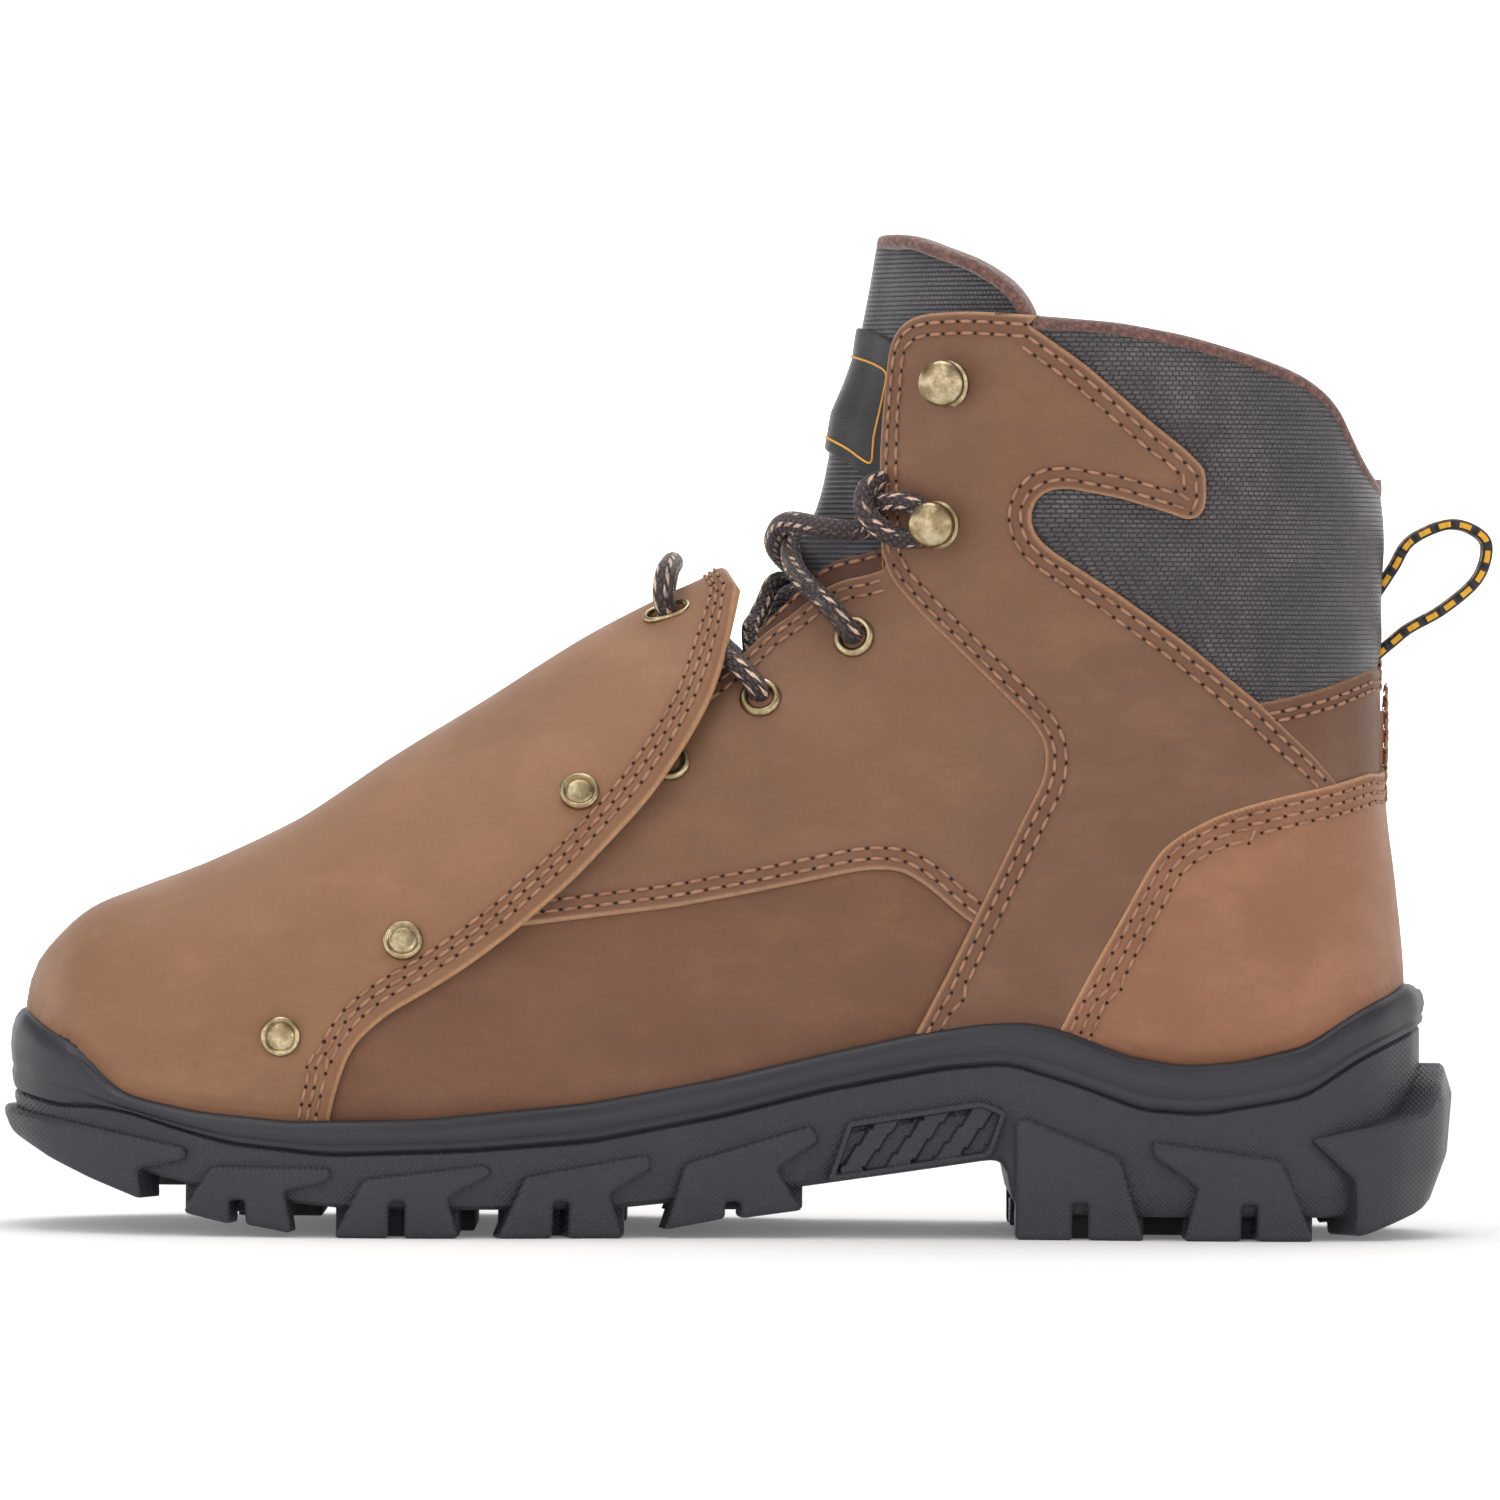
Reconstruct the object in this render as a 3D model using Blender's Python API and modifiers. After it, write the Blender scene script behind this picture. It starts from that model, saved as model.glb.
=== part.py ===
"""A right metatarsal guard boot: a laced leather work boot with a lugged rubber sole and a toe guard.

Metres, +Z up. The toe points to -X, the inner (medial) side of the foot is -Y and the outer (lateral) side
is +Y. The origin is on the floor, at the middle of the flat pad under the heel.
"""

from math import acos, copysign, cos, pi, sin

import bmesh
import bpy
import numpy as np
from mathutils import Matrix, Vector

# Driving sizes
BOOT_LENGTH = 0.315
BALL_WIDTH = 0.104
SHAFT_HEIGHT = 0.200
SOLE_WIDTH = 1.101 * BALL_WIDTH
SOLE_HEIGHT = 0.047

# Walls and clearances
CLEARANCE = 0.0003
UPPER_WALL = 0.0022
PANEL_WALL = 0.0020
COUNTER_WALL = 0.0025
COLLAR_WALL = 0.0030
GUARD_WALL = 0.0027
GUARD_RISE_START = 6
GUARD_RISE_PER_SECTION = 0.00090
GUARD_SIDE_RISE = 0.68
INSOLE_WALL = 0.0040
TONGUE_WALL = 0.0050
TONGUE_DEPTH = 0.0028
TONGUE_CROWN = 0.0018
TONGUE_CROWN_START = 10
TONGUE_CROWN_ANGLE = 0.10
TONGUE_CROWN_FADE = 0.20
OUTSOLE_RIM = 0.0030
LUG_STEP = 0.0022
HEEL_CUP_STEP = 0.0070
HEEL_CUP_START = 0.067
HEEL_CUP_RUN = 0.082
BLOCK_TOP_DROP = 0.0015
BLOCK_TOP_INSET = 0.0012
LUG_SLOT_WIDTH = 0.0034
LUG_SLOT_HEIGHT = 0.0080
LUG_SLOT_DEPTH = 0.0075

# Fittings
EYELET_RADIUS = 0.0046
EYELET_BORE = 0.0027
EYELET_HEIGHT = 0.0010
RIVET_RADIUS = 0.0043
RIVET_HEIGHT = 0.0016
HOOK_RADIUS = 0.0050
HOOK_NECK_RADIUS = 0.0021
HOOK_NECK_HEIGHT = 0.0052
HOOK_CAP_HEIGHT = 0.0022
HOOK_BASE_RADIUS = 0.0052
HOOK_BASE_HEIGHT = 0.0009
SLOT_LENGTH = 0.0125
SLOT_WIDTH = 0.0070
SLOT_RIM = 0.0011
SLOT_HEIGHT = 0.0010
SLOT_HOLE_DEPTH = 0.012
SLOT_HOLE_RISE = 0.004
SEAT_LIFT = 0.0004
LACE_DIAMETER = 0.0046
LOOP_WIDTH = 0.0120
LOOP_THICKNESS = 0.0024

# Mesh fineness
ANGLE_STEPS = 28
PLAN_STEPS = 2
TURN_STEPS = 10
LACE_STEPS = 2
BAR_END_STEPS = 4
CORD_RESOLUTION = 2
HALVINGS = 40
NORMAL_REACH = 0.12
NORMAL_TURN = 0.10
MERGE_DISTANCE = 0.00001

# Far enough out for a cutter to pass through the whole boot, or below the floor
REACH = 0.12
BELOW_FLOOR = 0.01

# Half the gap between the inner and the outer panels over the middle of the boot
MIDDLE_GAP = 0.0017

# Cross sections of the upper from the toe to above the tongue, each in a plane across the boot.
# Columns: name, place along the boot and height of its top and then of its bottom, as shares of BOOT_LENGTH
# and SHAFT_HEIGHT, inner and outer half width as shares of BALL_WIDTH, how far down from the top it is
# widest, and how square its upper and lower halves are, where 2 is an ellipse.
SECTIONS = (
    # name, top_x, top_z, low_x, low_z, medial, lateral, widest, upper_power, lower_power
    ("tip", -0.809, 0.230, -0.807, 0.125, 0.135, 0.010, 0.55, 2.40, 3.0),
    ("toe_front", -0.803, 0.273, -0.800, 0.115, 0.221, 0.106, 0.55, 2.40, 3.0),
    ("toe_round", -0.790, 0.302, -0.787, 0.105, 0.298, 0.192, 0.56, 2.40, 3.2),
    ("toe_side", -0.768, 0.333, -0.765, 0.092, 0.370, 0.274, 0.58, 2.40, 3.4),
    ("toe_box", -0.735, 0.355, -0.730, 0.077, 0.423, 0.346, 0.60, 2.40, 3.6),
    ("toe_cap", -0.686, 0.385, -0.679, 0.062, 0.462, 0.413, 0.62, 2.30, 3.8),
    ("vamp", -0.625, 0.432, -0.613, 0.055, 0.486, 0.462, 0.66, 2.15, 4.0),
    ("medial_ball", -0.559, 0.495, -0.540, 0.050, 0.500, 0.495, 0.68, 2.05, 4.0),
    ("lateral_ball", -0.492, 0.552, -0.460, 0.052, 0.476, 0.510, 0.69, 2.00, 4.0),
    ("waist", -0.425, 0.610, -0.368, 0.065, 0.428, 0.481, 0.70, 1.95, 3.8),
    ("instep", -0.371, 0.647, -0.273, 0.085, 0.375, 0.433, 0.71, 1.95, 3.4),
    ("arch", -0.332, 0.671, -0.171, 0.105, 0.346, 0.389, 0.72, 1.95, 3.0),
    ("throat", -0.300, 0.708, -0.063, 0.115, 0.337, 0.361, 0.73, 2.00, 2.8),
    ("seat", -0.284, 0.750, 0.044, 0.117, 0.341, 0.351, 0.74, 2.00, 2.6),
    ("heel_corner", -0.275, 0.780, 0.111, 0.135, 0.346, 0.351, 0.75, 2.05, 2.4),
    ("heel_low", -0.268, 0.807, 0.125, 0.205, 0.346, 0.351, 0.75, 2.05, 2.3),
    ("heel_mid", -0.263, 0.835, 0.125, 0.290, 0.346, 0.351, 0.74, 2.10, 2.2),
    ("heel_high", -0.259, 0.863, 0.119, 0.380, 0.351, 0.351, 0.72, 2.10, 2.2),
    ("ankle_low", -0.256, 0.890, 0.112, 0.470, 0.356, 0.356, 0.69, 2.10, 2.2),
    ("ankle", -0.252, 0.920, 0.112, 0.550, 0.365, 0.370, 0.65, 2.10, 2.2),
    ("shaft", -0.249, 0.950, 0.111, 0.625, 0.380, 0.385, 0.62, 2.10, 2.2),
    ("collar_low", -0.246, 0.985, 0.110, 0.690, 0.394, 0.399, 0.59, 2.10, 2.2),
    ("collar", -0.241, 1.030, 0.110, 0.760, 0.409, 0.413, 0.57, 2.10, 2.2),
    ("above_collar", -0.235, 1.090, 0.110, 0.850, 0.418, 0.423, 0.56, 2.10, 2.2),
    ("tongue_top", -0.227, 1.160, 0.108, 0.950, 0.423, 0.428, 0.55, 2.10, 2.2),
)

# The sole's outline from above.
# Columns: place as a share of BOOT_LENGTH, half widths as shares of SOLE_WIDTH.
PLAN = (
    # place, medial, lateral
    (-0.821, 0.201, 0.083),
    (-0.805, 0.288, 0.192),
    (-0.778, 0.362, 0.279),
    (-0.740, 0.424, 0.354),
    (-0.686, 0.472, 0.424),
    (-0.625, 0.498, 0.467),
    (-0.559, 0.502, 0.498),
    (-0.492, 0.480, 0.511),
    (-0.413, 0.432, 0.485),
    (-0.317, 0.384, 0.437),
    (-0.222, 0.358, 0.402),
    (-0.111, 0.354, 0.380),
    (0.000, 0.358, 0.367),
    (0.070, 0.336, 0.341),
    (0.095, 0.305, 0.310),
    (0.118, 0.254, 0.259),
    (0.141, 0.148, 0.153),
)
PLAN_TIP = (-0.826, -0.061)
PLAN_HEEL = (0.149, 0.0)

# Lines along the sole seen from the side.
# Columns: place as a share of BOOT_LENGTH, height as a share of SOLE_HEIGHT.
RIM = (
    (-0.826, 1.010), (-0.805, 0.926), (-0.784, 0.872), (-0.770, 0.798), (-0.761, 0.723), (-0.749, 0.651),
    (-0.735, 0.621), (-0.694, 0.566), (-0.629, 0.528), (-0.537, 0.543), (-0.425, 0.617), (-0.337, 0.728),
    (-0.263, 0.849), (-0.206, 0.936), (-0.159, 0.987), (-0.127, 0.996), (-0.102, 0.962), (-0.057, 0.843),
    (-0.019, 0.804), (0.019, 0.823), (0.063, 0.894), (0.102, 1.053), (0.144, 1.164),
)
GROOVE = (
    (-0.829, 0.638), (-0.790, 0.574), (-0.762, 0.579), (-0.738, 0.553), (-0.708, 0.489), (-0.670, 0.421),
    (-0.603, 0.374), (-0.508, 0.396), (-0.425, 0.438), (-0.337, 0.553), (-0.263, 0.677), (-0.184, 0.779),
    (-0.140, 0.804), (-0.092, 0.706), (-0.048, 0.596), (-0.006, 0.579), (0.063, 0.660), (0.102, 0.830),
    (0.149, 0.972),
)
FOOTBED = (
    (-0.813, 0.617), (-0.787, 0.564), (-0.730, 0.468), (-0.635, 0.372), (-0.540, 0.340), (-0.444, 0.351),
    (-0.349, 0.404), (-0.254, 0.489), (-0.159, 0.574), (-0.063, 0.617), (0.149, 0.628),
)
MIDSOLE_SEAT = (
    (-0.813, 0.560), (-0.778, 0.470), (-0.730, 0.372), (-0.635, 0.277), (-0.540, 0.245), (-0.444, 0.255),
    (-0.349, 0.309), (-0.254, 0.404), (-0.159, 0.500), (-0.063, 0.500), (0.149, 0.500),
)
BASE = (
    (-0.829, 0.570), (-0.810, 0.480), (-0.778, 0.380), (-0.737, 0.287), (-0.692, 0.223), (-0.635, 0.160),
    (-0.587, 0.128), (-0.413, 0.128), (-0.333, 0.183), (-0.279, 0.234), (-0.210, 0.302), (-0.142, 0.372),
    (-0.134, 0.106), (0.105, 0.106), (0.149, 0.191), (0.175, 0.270),
)
TREAD = (
    (-0.836, 0.540), (-0.819, 0.426), (-0.795, 0.336), (-0.767, 0.253), (-0.731, 0.162), (-0.701, 0.106),
    (-0.656, 0.047), (-0.629, 0.021), (-0.597, 0.000), (-0.403, 0.000), (-0.371, 0.043), (-0.330, 0.089),
    (-0.273, 0.136), (-0.190, 0.136), (-0.140, 0.000), (0.089, 0.000), (0.108, 0.034), (0.138, 0.113),
    (0.159, 0.194), (0.178, 0.280),
)

# How the sole's wall is shaped, from the groove up to the rim and from the groove down to the base.
# Columns: share of the way, distance out from the sole's outline in metres.
MIDSOLE_WALL = (
    (0.00, -0.0006), (0.15, 0.0004), (0.60, 0.0006), (0.90, -0.0006), (1.00, -0.0022),
)
OUTSOLE_WALL = (
    (0.00, -0.0004), (0.50, -0.0002), (0.92, -0.0010), (1.00, -0.0035),
)
# The outer face of the tread blocks, from the groove down to the tread.
# Columns: share of the way, share of the distance that the blocks stand out there.
TREAD_WALL = (
    (0.14, 0.50), (0.38, 1.00), (0.72, 0.85), (1.00, 0.30),
)
MIDSOLE_FOOT_SHARE = 0.01

# Edges of the panels seen from the side, as shares of BOOT_LENGTH along and SHAFT_HEIGHT up.
GUARD_EDGE = (
    (-0.604, 0.050), (-0.604, 0.126), (-0.597, 0.168), (-0.589, 0.204), (-0.566, 0.239), (-0.538, 0.264),
    (-0.511, 0.291), (-0.477, 0.332), (-0.438, 0.387), (-0.412, 0.431), (-0.385, 0.479), (-0.363, 0.532),
    (-0.345, 0.586), (-0.336, 0.636), (-0.332, 0.680), (-0.330, 0.706), (-0.335, 0.775),
)
QUARTER_LOW = (
    (-0.483, 0.335), (-0.464, 0.338), (-0.422, 0.346), (-0.371, 0.356), (-0.320, 0.371), (-0.269, 0.388),
    (-0.239, 0.398), (-0.214, 0.398), (-0.196, 0.380), (-0.172, 0.347), (-0.127, 0.300),
)
SHAFT_FRONT = (
    (-0.229, 0.738), (-0.225, 0.713), (-0.199, 0.668), (-0.158, 0.607), (-0.127, 0.559), (-0.118, 0.543),
    (-0.115, 0.525), (-0.117, 0.495), (-0.126, 0.470), (-0.146, 0.403), (-0.181, 0.288), (-0.200, 0.229),
    (-0.219, 0.170),
)
COLLAR_FRONT = (
    (-0.131, 0.985), (-0.092, 0.942), (-0.046, 0.880), (-0.023, 0.852), (-0.009, 0.831), (-0.008, 0.797),
    (-0.011, 0.781), (-0.020, 0.775), (-0.031, 0.782), (-0.068, 0.799), (-0.103, 0.809), (-0.117, 0.807),
    (-0.126, 0.795), (-0.129, 0.778), (-0.125, 0.758), (-0.114, 0.742), (-0.068, 0.696), (-0.022, 0.645),
    (0.030, 0.580),
)
SHAFT_BACK = ((0.030, 0.580), (0.050, 0.550), (0.069, 0.523), (0.085, 0.495))
COLLAR_LOW = ((0.030, 0.580), (0.050, 0.586), (0.077, 0.597), (0.096, 0.608), (0.119, 0.623), (0.159, 0.650))
COUNTER_EDGE = (
    (0.159, 0.525), (0.122, 0.509), (0.085, 0.493), (0.050, 0.481), (0.026, 0.471), (0.006, 0.461),
    (-0.007, 0.452), (-0.028, 0.433), (-0.039, 0.417), (-0.046, 0.398), (-0.064, 0.345), (-0.083, 0.292),
    (-0.103, 0.231), (-0.124, 0.160),
)
MOUTH = (
    (-0.476, 0.580), (-0.463, 0.562), (-0.375, 0.570), (-0.324, 0.630), (-0.310, 0.652), (-0.290, 0.674),
    (-0.272, 0.698), (-0.257, 0.710), (-0.240, 0.715), (-0.229, 0.721), (-0.231, 0.767), (-0.232, 0.847),
    (-0.230, 0.895), (-0.226, 0.966), (-0.220, 0.985), (-0.208, 0.997), (-0.173, 1.000), (-0.125, 0.995),
    (-0.069, 0.988), (-0.023, 0.975), (0.023, 0.954), (0.057, 0.934), (0.078, 0.907), (0.092, 0.858),
    (0.104, 0.825), (0.119, 0.803), (0.165, 0.785),
)
TONGUE_EDGE = (
    (-0.222, 1.084), (-0.209, 1.086), (-0.197, 1.077), (-0.165, 1.058), (-0.141, 1.033), (-0.127, 0.998),
    (-0.137, 0.950), (-0.165, 0.825), (-0.197, 0.715), (-0.254, 0.620), (-0.333, 0.550), (-0.429, 0.485),
)

# Tread blocks and side plates seen from the side, as shares of BOOT_LENGTH along and SOLE_HEIGHT up,
# with how far in from the side each reaches as a share of SOLE_WIDTH, and whether it has an upright slot.
BLOCKS = (
    # name, reach, slotted, outline
    ("toe", 0.26, False, (
        (-0.857, 0.574), (-0.832, 0.564), (-0.789, 0.521), (-0.699, 0.400), (-0.699, 0.351), (-0.732, 0.302),
        (-0.731, -0.106), (-0.857, -0.106))),
    ("fore_1", 0.24, True, (
        (-0.682, 0.319), (-0.601, 0.319), (-0.601, 0.260), (-0.632, 0.211), (-0.627, -0.106), (-0.701, -0.106),
        (-0.701, 0.117))),
    ("fore_2", 0.24, True, (
        (-0.579, 0.268), (-0.495, 0.338), (-0.491, 0.296), (-0.522, 0.187), (-0.514, -0.106), (-0.598, -0.106),
        (-0.598, 0.011))),
    ("fore_3", 0.24, True, (
        (-0.470, 0.281), (-0.385, 0.385), (-0.384, 0.317), (-0.412, 0.204), (-0.402, -0.106), (-0.488, -0.106),
        (-0.487, 0.006))),
    ("fore_4", 0.22, True, (
        (-0.361, 0.340), (-0.274, 0.519), (-0.269, 0.445), (-0.298, 0.319), (-0.280, -0.106), (-0.375, -0.106),
        (-0.373, 0.053))),
    ("arch", 0.30, False, (
        (-0.250, 0.538), (-0.158, 0.638), (-0.140, 0.589), (-0.151, 0.377), (-0.264, 0.257))),
    ("heel_1", 0.20, True, (
        (-0.135, 0.540), (-0.128, 0.560), (-0.063, 0.381), (-0.046, -0.106), (-0.134, -0.106))),
    ("heel_2", 0.20, True, (
        (-0.041, 0.460), (0.047, 0.374), (0.070, -0.106), (-0.019, -0.106), (-0.010, 0.245), (-0.041, 0.389))),
    ("heel_cup", 0.00, False, (
        (0.067, 0.468), (0.104, 0.526), (0.131, 0.585), (0.146, 0.766), (0.190, 0.979), (0.190, -0.106),
        (0.100, -0.106), (0.099, 0.032), (0.095, 0.285))),
)
# Tread blocks down the middle.
# Columns: front and back as shares of BOOT_LENGTH, half width as a share of SOLE_WIDTH.
MIDDLE_BLOCKS = (
    # front, back, half_width
    (-0.745, -0.700, 0.150),
    (-0.668, -0.610, 0.175),
    (-0.575, -0.505, 0.185),
    (-0.468, -0.408, 0.175),
    (-0.368, -0.312, 0.140),
    (-0.100, 0.065, 0.125),
)

# Places of the fittings on the side of the boot, as shares of BOOT_LENGTH along and SHAFT_HEIGHT up.
RIVETS = ((-0.637, 0.214), (-0.555, 0.317), (-0.436, 0.477))
EYELETS = ((-0.374, 0.511), (-0.311, 0.581), (-0.247, 0.648))
HOOKS = (("lower", -0.192, 0.770), ("upper", -0.186, 0.922))
SLOT_SECTION = 9.9
SLOT_ANGLE = 0.31
LOOP_ROUTE = (
    (0.1265, 0.728), (0.138, 0.757), (0.162, 0.775), (0.180, 0.771), (0.191, 0.753), (0.185, 0.717),
    (0.162, 0.684), (0.138, 0.662), (0.1262, 0.647),
)

# Lace crossings, each run from the inner side to the outer side.
# Columns: section of the upper by number, angle round it from the top in radians, height over the skin.
LACE_CROSSINGS = (
    # name, ((section, angle, height), ...)
    ("lower", (
        (10.95, -0.62, 0.0064), (11.2, -0.50, 0.0060), (11.45, -0.36, 0.0046), (11.9, 0.0, 0.0036),
        (12.2, 0.20, 0.0027), (12.35, 0.29, 0.0023))),
    ("upper", (
        (12.7, -0.60, 0.0065), (13.0, -0.49, 0.0063), (13.4, -0.34, 0.0053), (14.3, 0.0, 0.0046),
        (15.2, 0.30, 0.0049), (15.75, 0.49, 0.0061), (16.15, 0.58, 0.0060))),
)

# The lace over the guard, from slot to slot. Columns: share of SLOT_ANGLE, height over the guard in metres.
GUARD_BAR = (
    (-1.0, 0.0021), (-1.0, 0.0040), (-0.84, 0.0076), (-0.36, 0.0084), (0.36, 0.0084), (0.84, 0.0076),
    (1.0, 0.0040), (1.0, 0.0021),
)

SKINS = {"medial": -1, "lateral": 1}

for thing in list(bpy.data.objects):
    bpy.data.objects.remove(thing, do_unlink=True)

boot = bpy.data.collections.new("metatarsal_guard_boot")
cutters = bpy.data.collections.new("cutters")
for group in (boot, cutters):
    bpy.context.scene.collection.children.link(group)


def material(name, colour, roughness, metallic=0.0):
    """A plain Principled material."""
    made = bpy.data.materials.new(name)
    made.use_nodes = True
    shader = made.node_tree.nodes["Principled BSDF"]
    shader.inputs["Base Color"].default_value = (*colour, 1.0)
    shader.inputs["Roughness"].default_value = roughness
    shader.inputs["Metallic"].default_value = metallic
    return made


def leather(name):
    """Oiled brown leather."""
    return material(name, (0.20, 0.105, 0.05), 0.62)


def rubber(name):
    """Matte charcoal rubber."""
    return material(name, (0.035, 0.036, 0.038), 0.6)


def fabric(name):
    """Black cloth or webbing."""
    return material(name, (0.02, 0.02, 0.022), 0.85)


def brass(name):
    """Antique brass."""
    return material(name, (0.32, 0.22, 0.09), 0.38, 1.0)


def keep(mesh, name, look=None):
    """Puts a bmesh in the scene: as a part if it has a look, else as a cutter."""
    bmesh.ops.recalc_face_normals(mesh, faces=mesh.faces)
    data = bpy.data.meshes.new(name)
    mesh.to_mesh(data)
    mesh.free()
    made = bpy.data.objects.new(name, data)
    if look is None:
        made.hide_render = True
        made.display_type = "WIRE"
        cutters.objects.link(made)
    else:
        data.materials.append(look)
        boot.objects.link(made)
    return made


def cut(target, operation, *others):
    """Adds an exact Boolean to the target for each other object."""
    for other in others:
        modifier = target.modifiers.new(f"{operation.lower()}_{other.name}"[:60], "BOOLEAN")
        modifier.operation = operation
        modifier.solver = "EXACT"
        modifier.object = other
    return target


def spline_at(values, at):
    """The value of a Catmull-Rom curve through evenly spaced rows, at a row number."""
    last = len(values) - 1
    row = int(min(max(at, 0), last - 1e-9))
    step = at - row
    before, here, after, beyond = (values[min(max(row + k, 0), last)] for k in (-1, 0, 1, 2))
    return 0.5 * (
        2 * here
        + (after - before) * step
        + (2 * before - 5 * here + 4 * after - beyond) * step**2
        + (3 * here - before - 3 * after + beyond) * step**3
    )


def line_at(table, x, height):
    """The height of a side line at a place along the boot."""
    places = [row[0] * BOOT_LENGTH for row in table]
    return float(np.interp(x, places, [row[1] * height for row in table]))


# Upper

SECTION_SIZES = (
    BOOT_LENGTH, SHAFT_HEIGHT, BOOT_LENGTH, SHAFT_HEIGHT, BALL_WIDTH, BALL_WIDTH, 1.0, 1.0, 1.0,
)
SECTION_ROWS = np.array([row[1:] for row in SECTIONS]) * SECTION_SIZES
LAST_SECTION = len(SECTIONS) - 1


def skin_point(at, angle):
    """A point of the upper's skin, by section number and angle from the top, positive on the outer side."""
    row = spline_at(SECTION_ROWS, at)
    top_x, top_z, low_x, low_z, medial, lateral, widest, upper_power, lower_power = row
    up, side = cos(angle), sin(angle)
    power = 2 / (upper_power if up >= 0 else lower_power)
    if up >= 0:
        down = widest * (1 - abs(up) ** power)
    else:
        down = widest + (1 - widest) * abs(up) ** power
    return Vector((
        top_x + (low_x - top_x) * down,
        (lateral - medial) / 2 + (lateral + medial) / 2 * copysign(abs(side) ** power, side),
        top_z + (low_z - top_z) * down,
    ))


def skin_normal(at, angle):
    """The outward direction of the skin there."""
    low, high = max(at - NORMAL_REACH, 0), min(at + NORMAL_REACH, LAST_SECTION)
    along = skin_point(high, angle) - skin_point(low, angle)
    round_it = skin_point(at, angle + NORMAL_TURN) - skin_point(at, angle - NORMAL_TURN)
    return along.cross(round_it).normalized()


def upper_point(at, angle, offset):
    """A point at a distance out from the skin. The first section moves forward, so the toe stays round."""
    normal = skin_normal(at, angle)
    if at == 0:
        normal.x = -1
    return skin_point(at, angle) + normal * offset


def side_place(x, z):
    """The section number and angle at which the skin passes a point of the side view."""
    low, high = 0.0, float(LAST_SECTION)
    for _ in range(HALVINGS):
        middle = (low + high) / 2
        top_x, top_z, low_x, low_z = spline_at(SECTION_ROWS, middle)[:4]
        if (low_x - top_x) * (z - top_z) - (low_z - top_z) * (x - top_x) > 0:
            low = middle
        else:
            high = middle
    row = spline_at(SECTION_ROWS, middle)
    run = Vector((row[2] - row[0], row[3] - row[1]))
    down = min(max(Vector((x - row[0], z - row[1])).dot(run) / run.length_squared, 0), 1)
    widest, upper_power, lower_power = row[6:]
    if down <= widest:
        return middle, acos((1 - down / widest) ** (upper_power / 2))
    return middle, acos(-(((down - widest) / (1 - widest)) ** (lower_power / 2)))


def tube(name, offset, look=None):
    """A closed tube round the upper at a distance from its skin."""
    mesh = bmesh.new()
    rings = grid(mesh, lambda at, angle: offset)
    mesh.faces.new(rings[0])
    mesh.faces.new(list(reversed(rings[-1])))
    return keep(mesh, name, look)


def grid(mesh, offset):
    """Rings of the upper's form, one for each section, joined into a skin. The offset depends on place."""
    angles = [2 * pi * step / ANGLE_STEPS for step in range(ANGLE_STEPS)]
    rings = [
        [mesh.verts.new(upper_point(at, angle, offset(at, angle))) for angle in angles]
        for at in range(len(SECTIONS))
    ]
    for ring, following in zip(rings, rings[1:]):
        for i in range(ANGLE_STEPS):
            j = (i + 1) % ANGLE_STEPS
            mesh.faces.new((ring[i], ring[j], following[j], following[i]))
    return rings


def shell(name, inner, outer, look):
    """A sock-like wall between two distances from the skin, closed at the toe and open at the top."""
    mesh = bmesh.new()
    inside = grid(mesh, inner if callable(inner) else lambda at, angle: inner)
    outside = grid(mesh, outer if callable(outer) else lambda at, angle: outer)
    mesh.faces.new(inside[0])
    mesh.faces.new(outside[0])
    for i in range(ANGLE_STEPS):
        j = (i + 1) % ANGLE_STEPS
        mesh.faces.new((inside[-1][i], inside[-1][j], outside[-1][j], outside[-1][i]))
    return keep(mesh, name, look)


def scaled(outline, height=SHAFT_HEIGHT):
    """A side outline from shares to metres."""
    return [(x * BOOT_LENGTH, z * height) for x, z in outline]


def slab(name, outline, low_y=-REACH, high_y=REACH):
    """A cutter: a side outline carried across the boot."""
    mesh = bmesh.new()
    face = mesh.faces.new([mesh.verts.new((x, low_y, z)) for x, z in outline])
    made = bmesh.ops.extrude_face_region(mesh, geom=[face])["geom"]
    moved = [element for element in made if isinstance(element, bmesh.types.BMVert)]
    bmesh.ops.translate(mesh, vec=(0, high_y - low_y, 0), verts=moved)
    return keep(mesh, name)


def band(name, table, rise, far_z):
    """A cutter between a side line of the sole, raised by a distance, and a level far above or below it."""
    line = [(x, z + rise) for x, z in scaled(table, SOLE_HEIGHT)]
    line = [(FAR_LEFT, line[0][1]), *line, (FAR_RIGHT, line[-1][1])]
    return slab(name, [*line, (FAR_RIGHT, far_z), (FAR_LEFT, far_z)])


def grown(outline, by):
    """An outline moved outward by a distance, or inward by a negative one."""
    area = sum(a[0] * b[1] - b[0] * a[1] for a, b in zip(outline, outline[1:] + outline[:1]))
    outward = copysign(1, area)
    moved = []
    for before, here, after in zip(outline[-1:] + outline[:-1], outline, outline[1:] + outline[:1]):
        first = Vector((here[1] - before[1], before[0] - here[0])).normalized() * outward
        second = Vector((after[1] - here[1], here[0] - after[0])).normalized() * outward
        corner = first + second
        moved.append(tuple(Vector(here) + corner * (by / max(1 + first.dot(second), 0.5))))
    return moved


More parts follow.
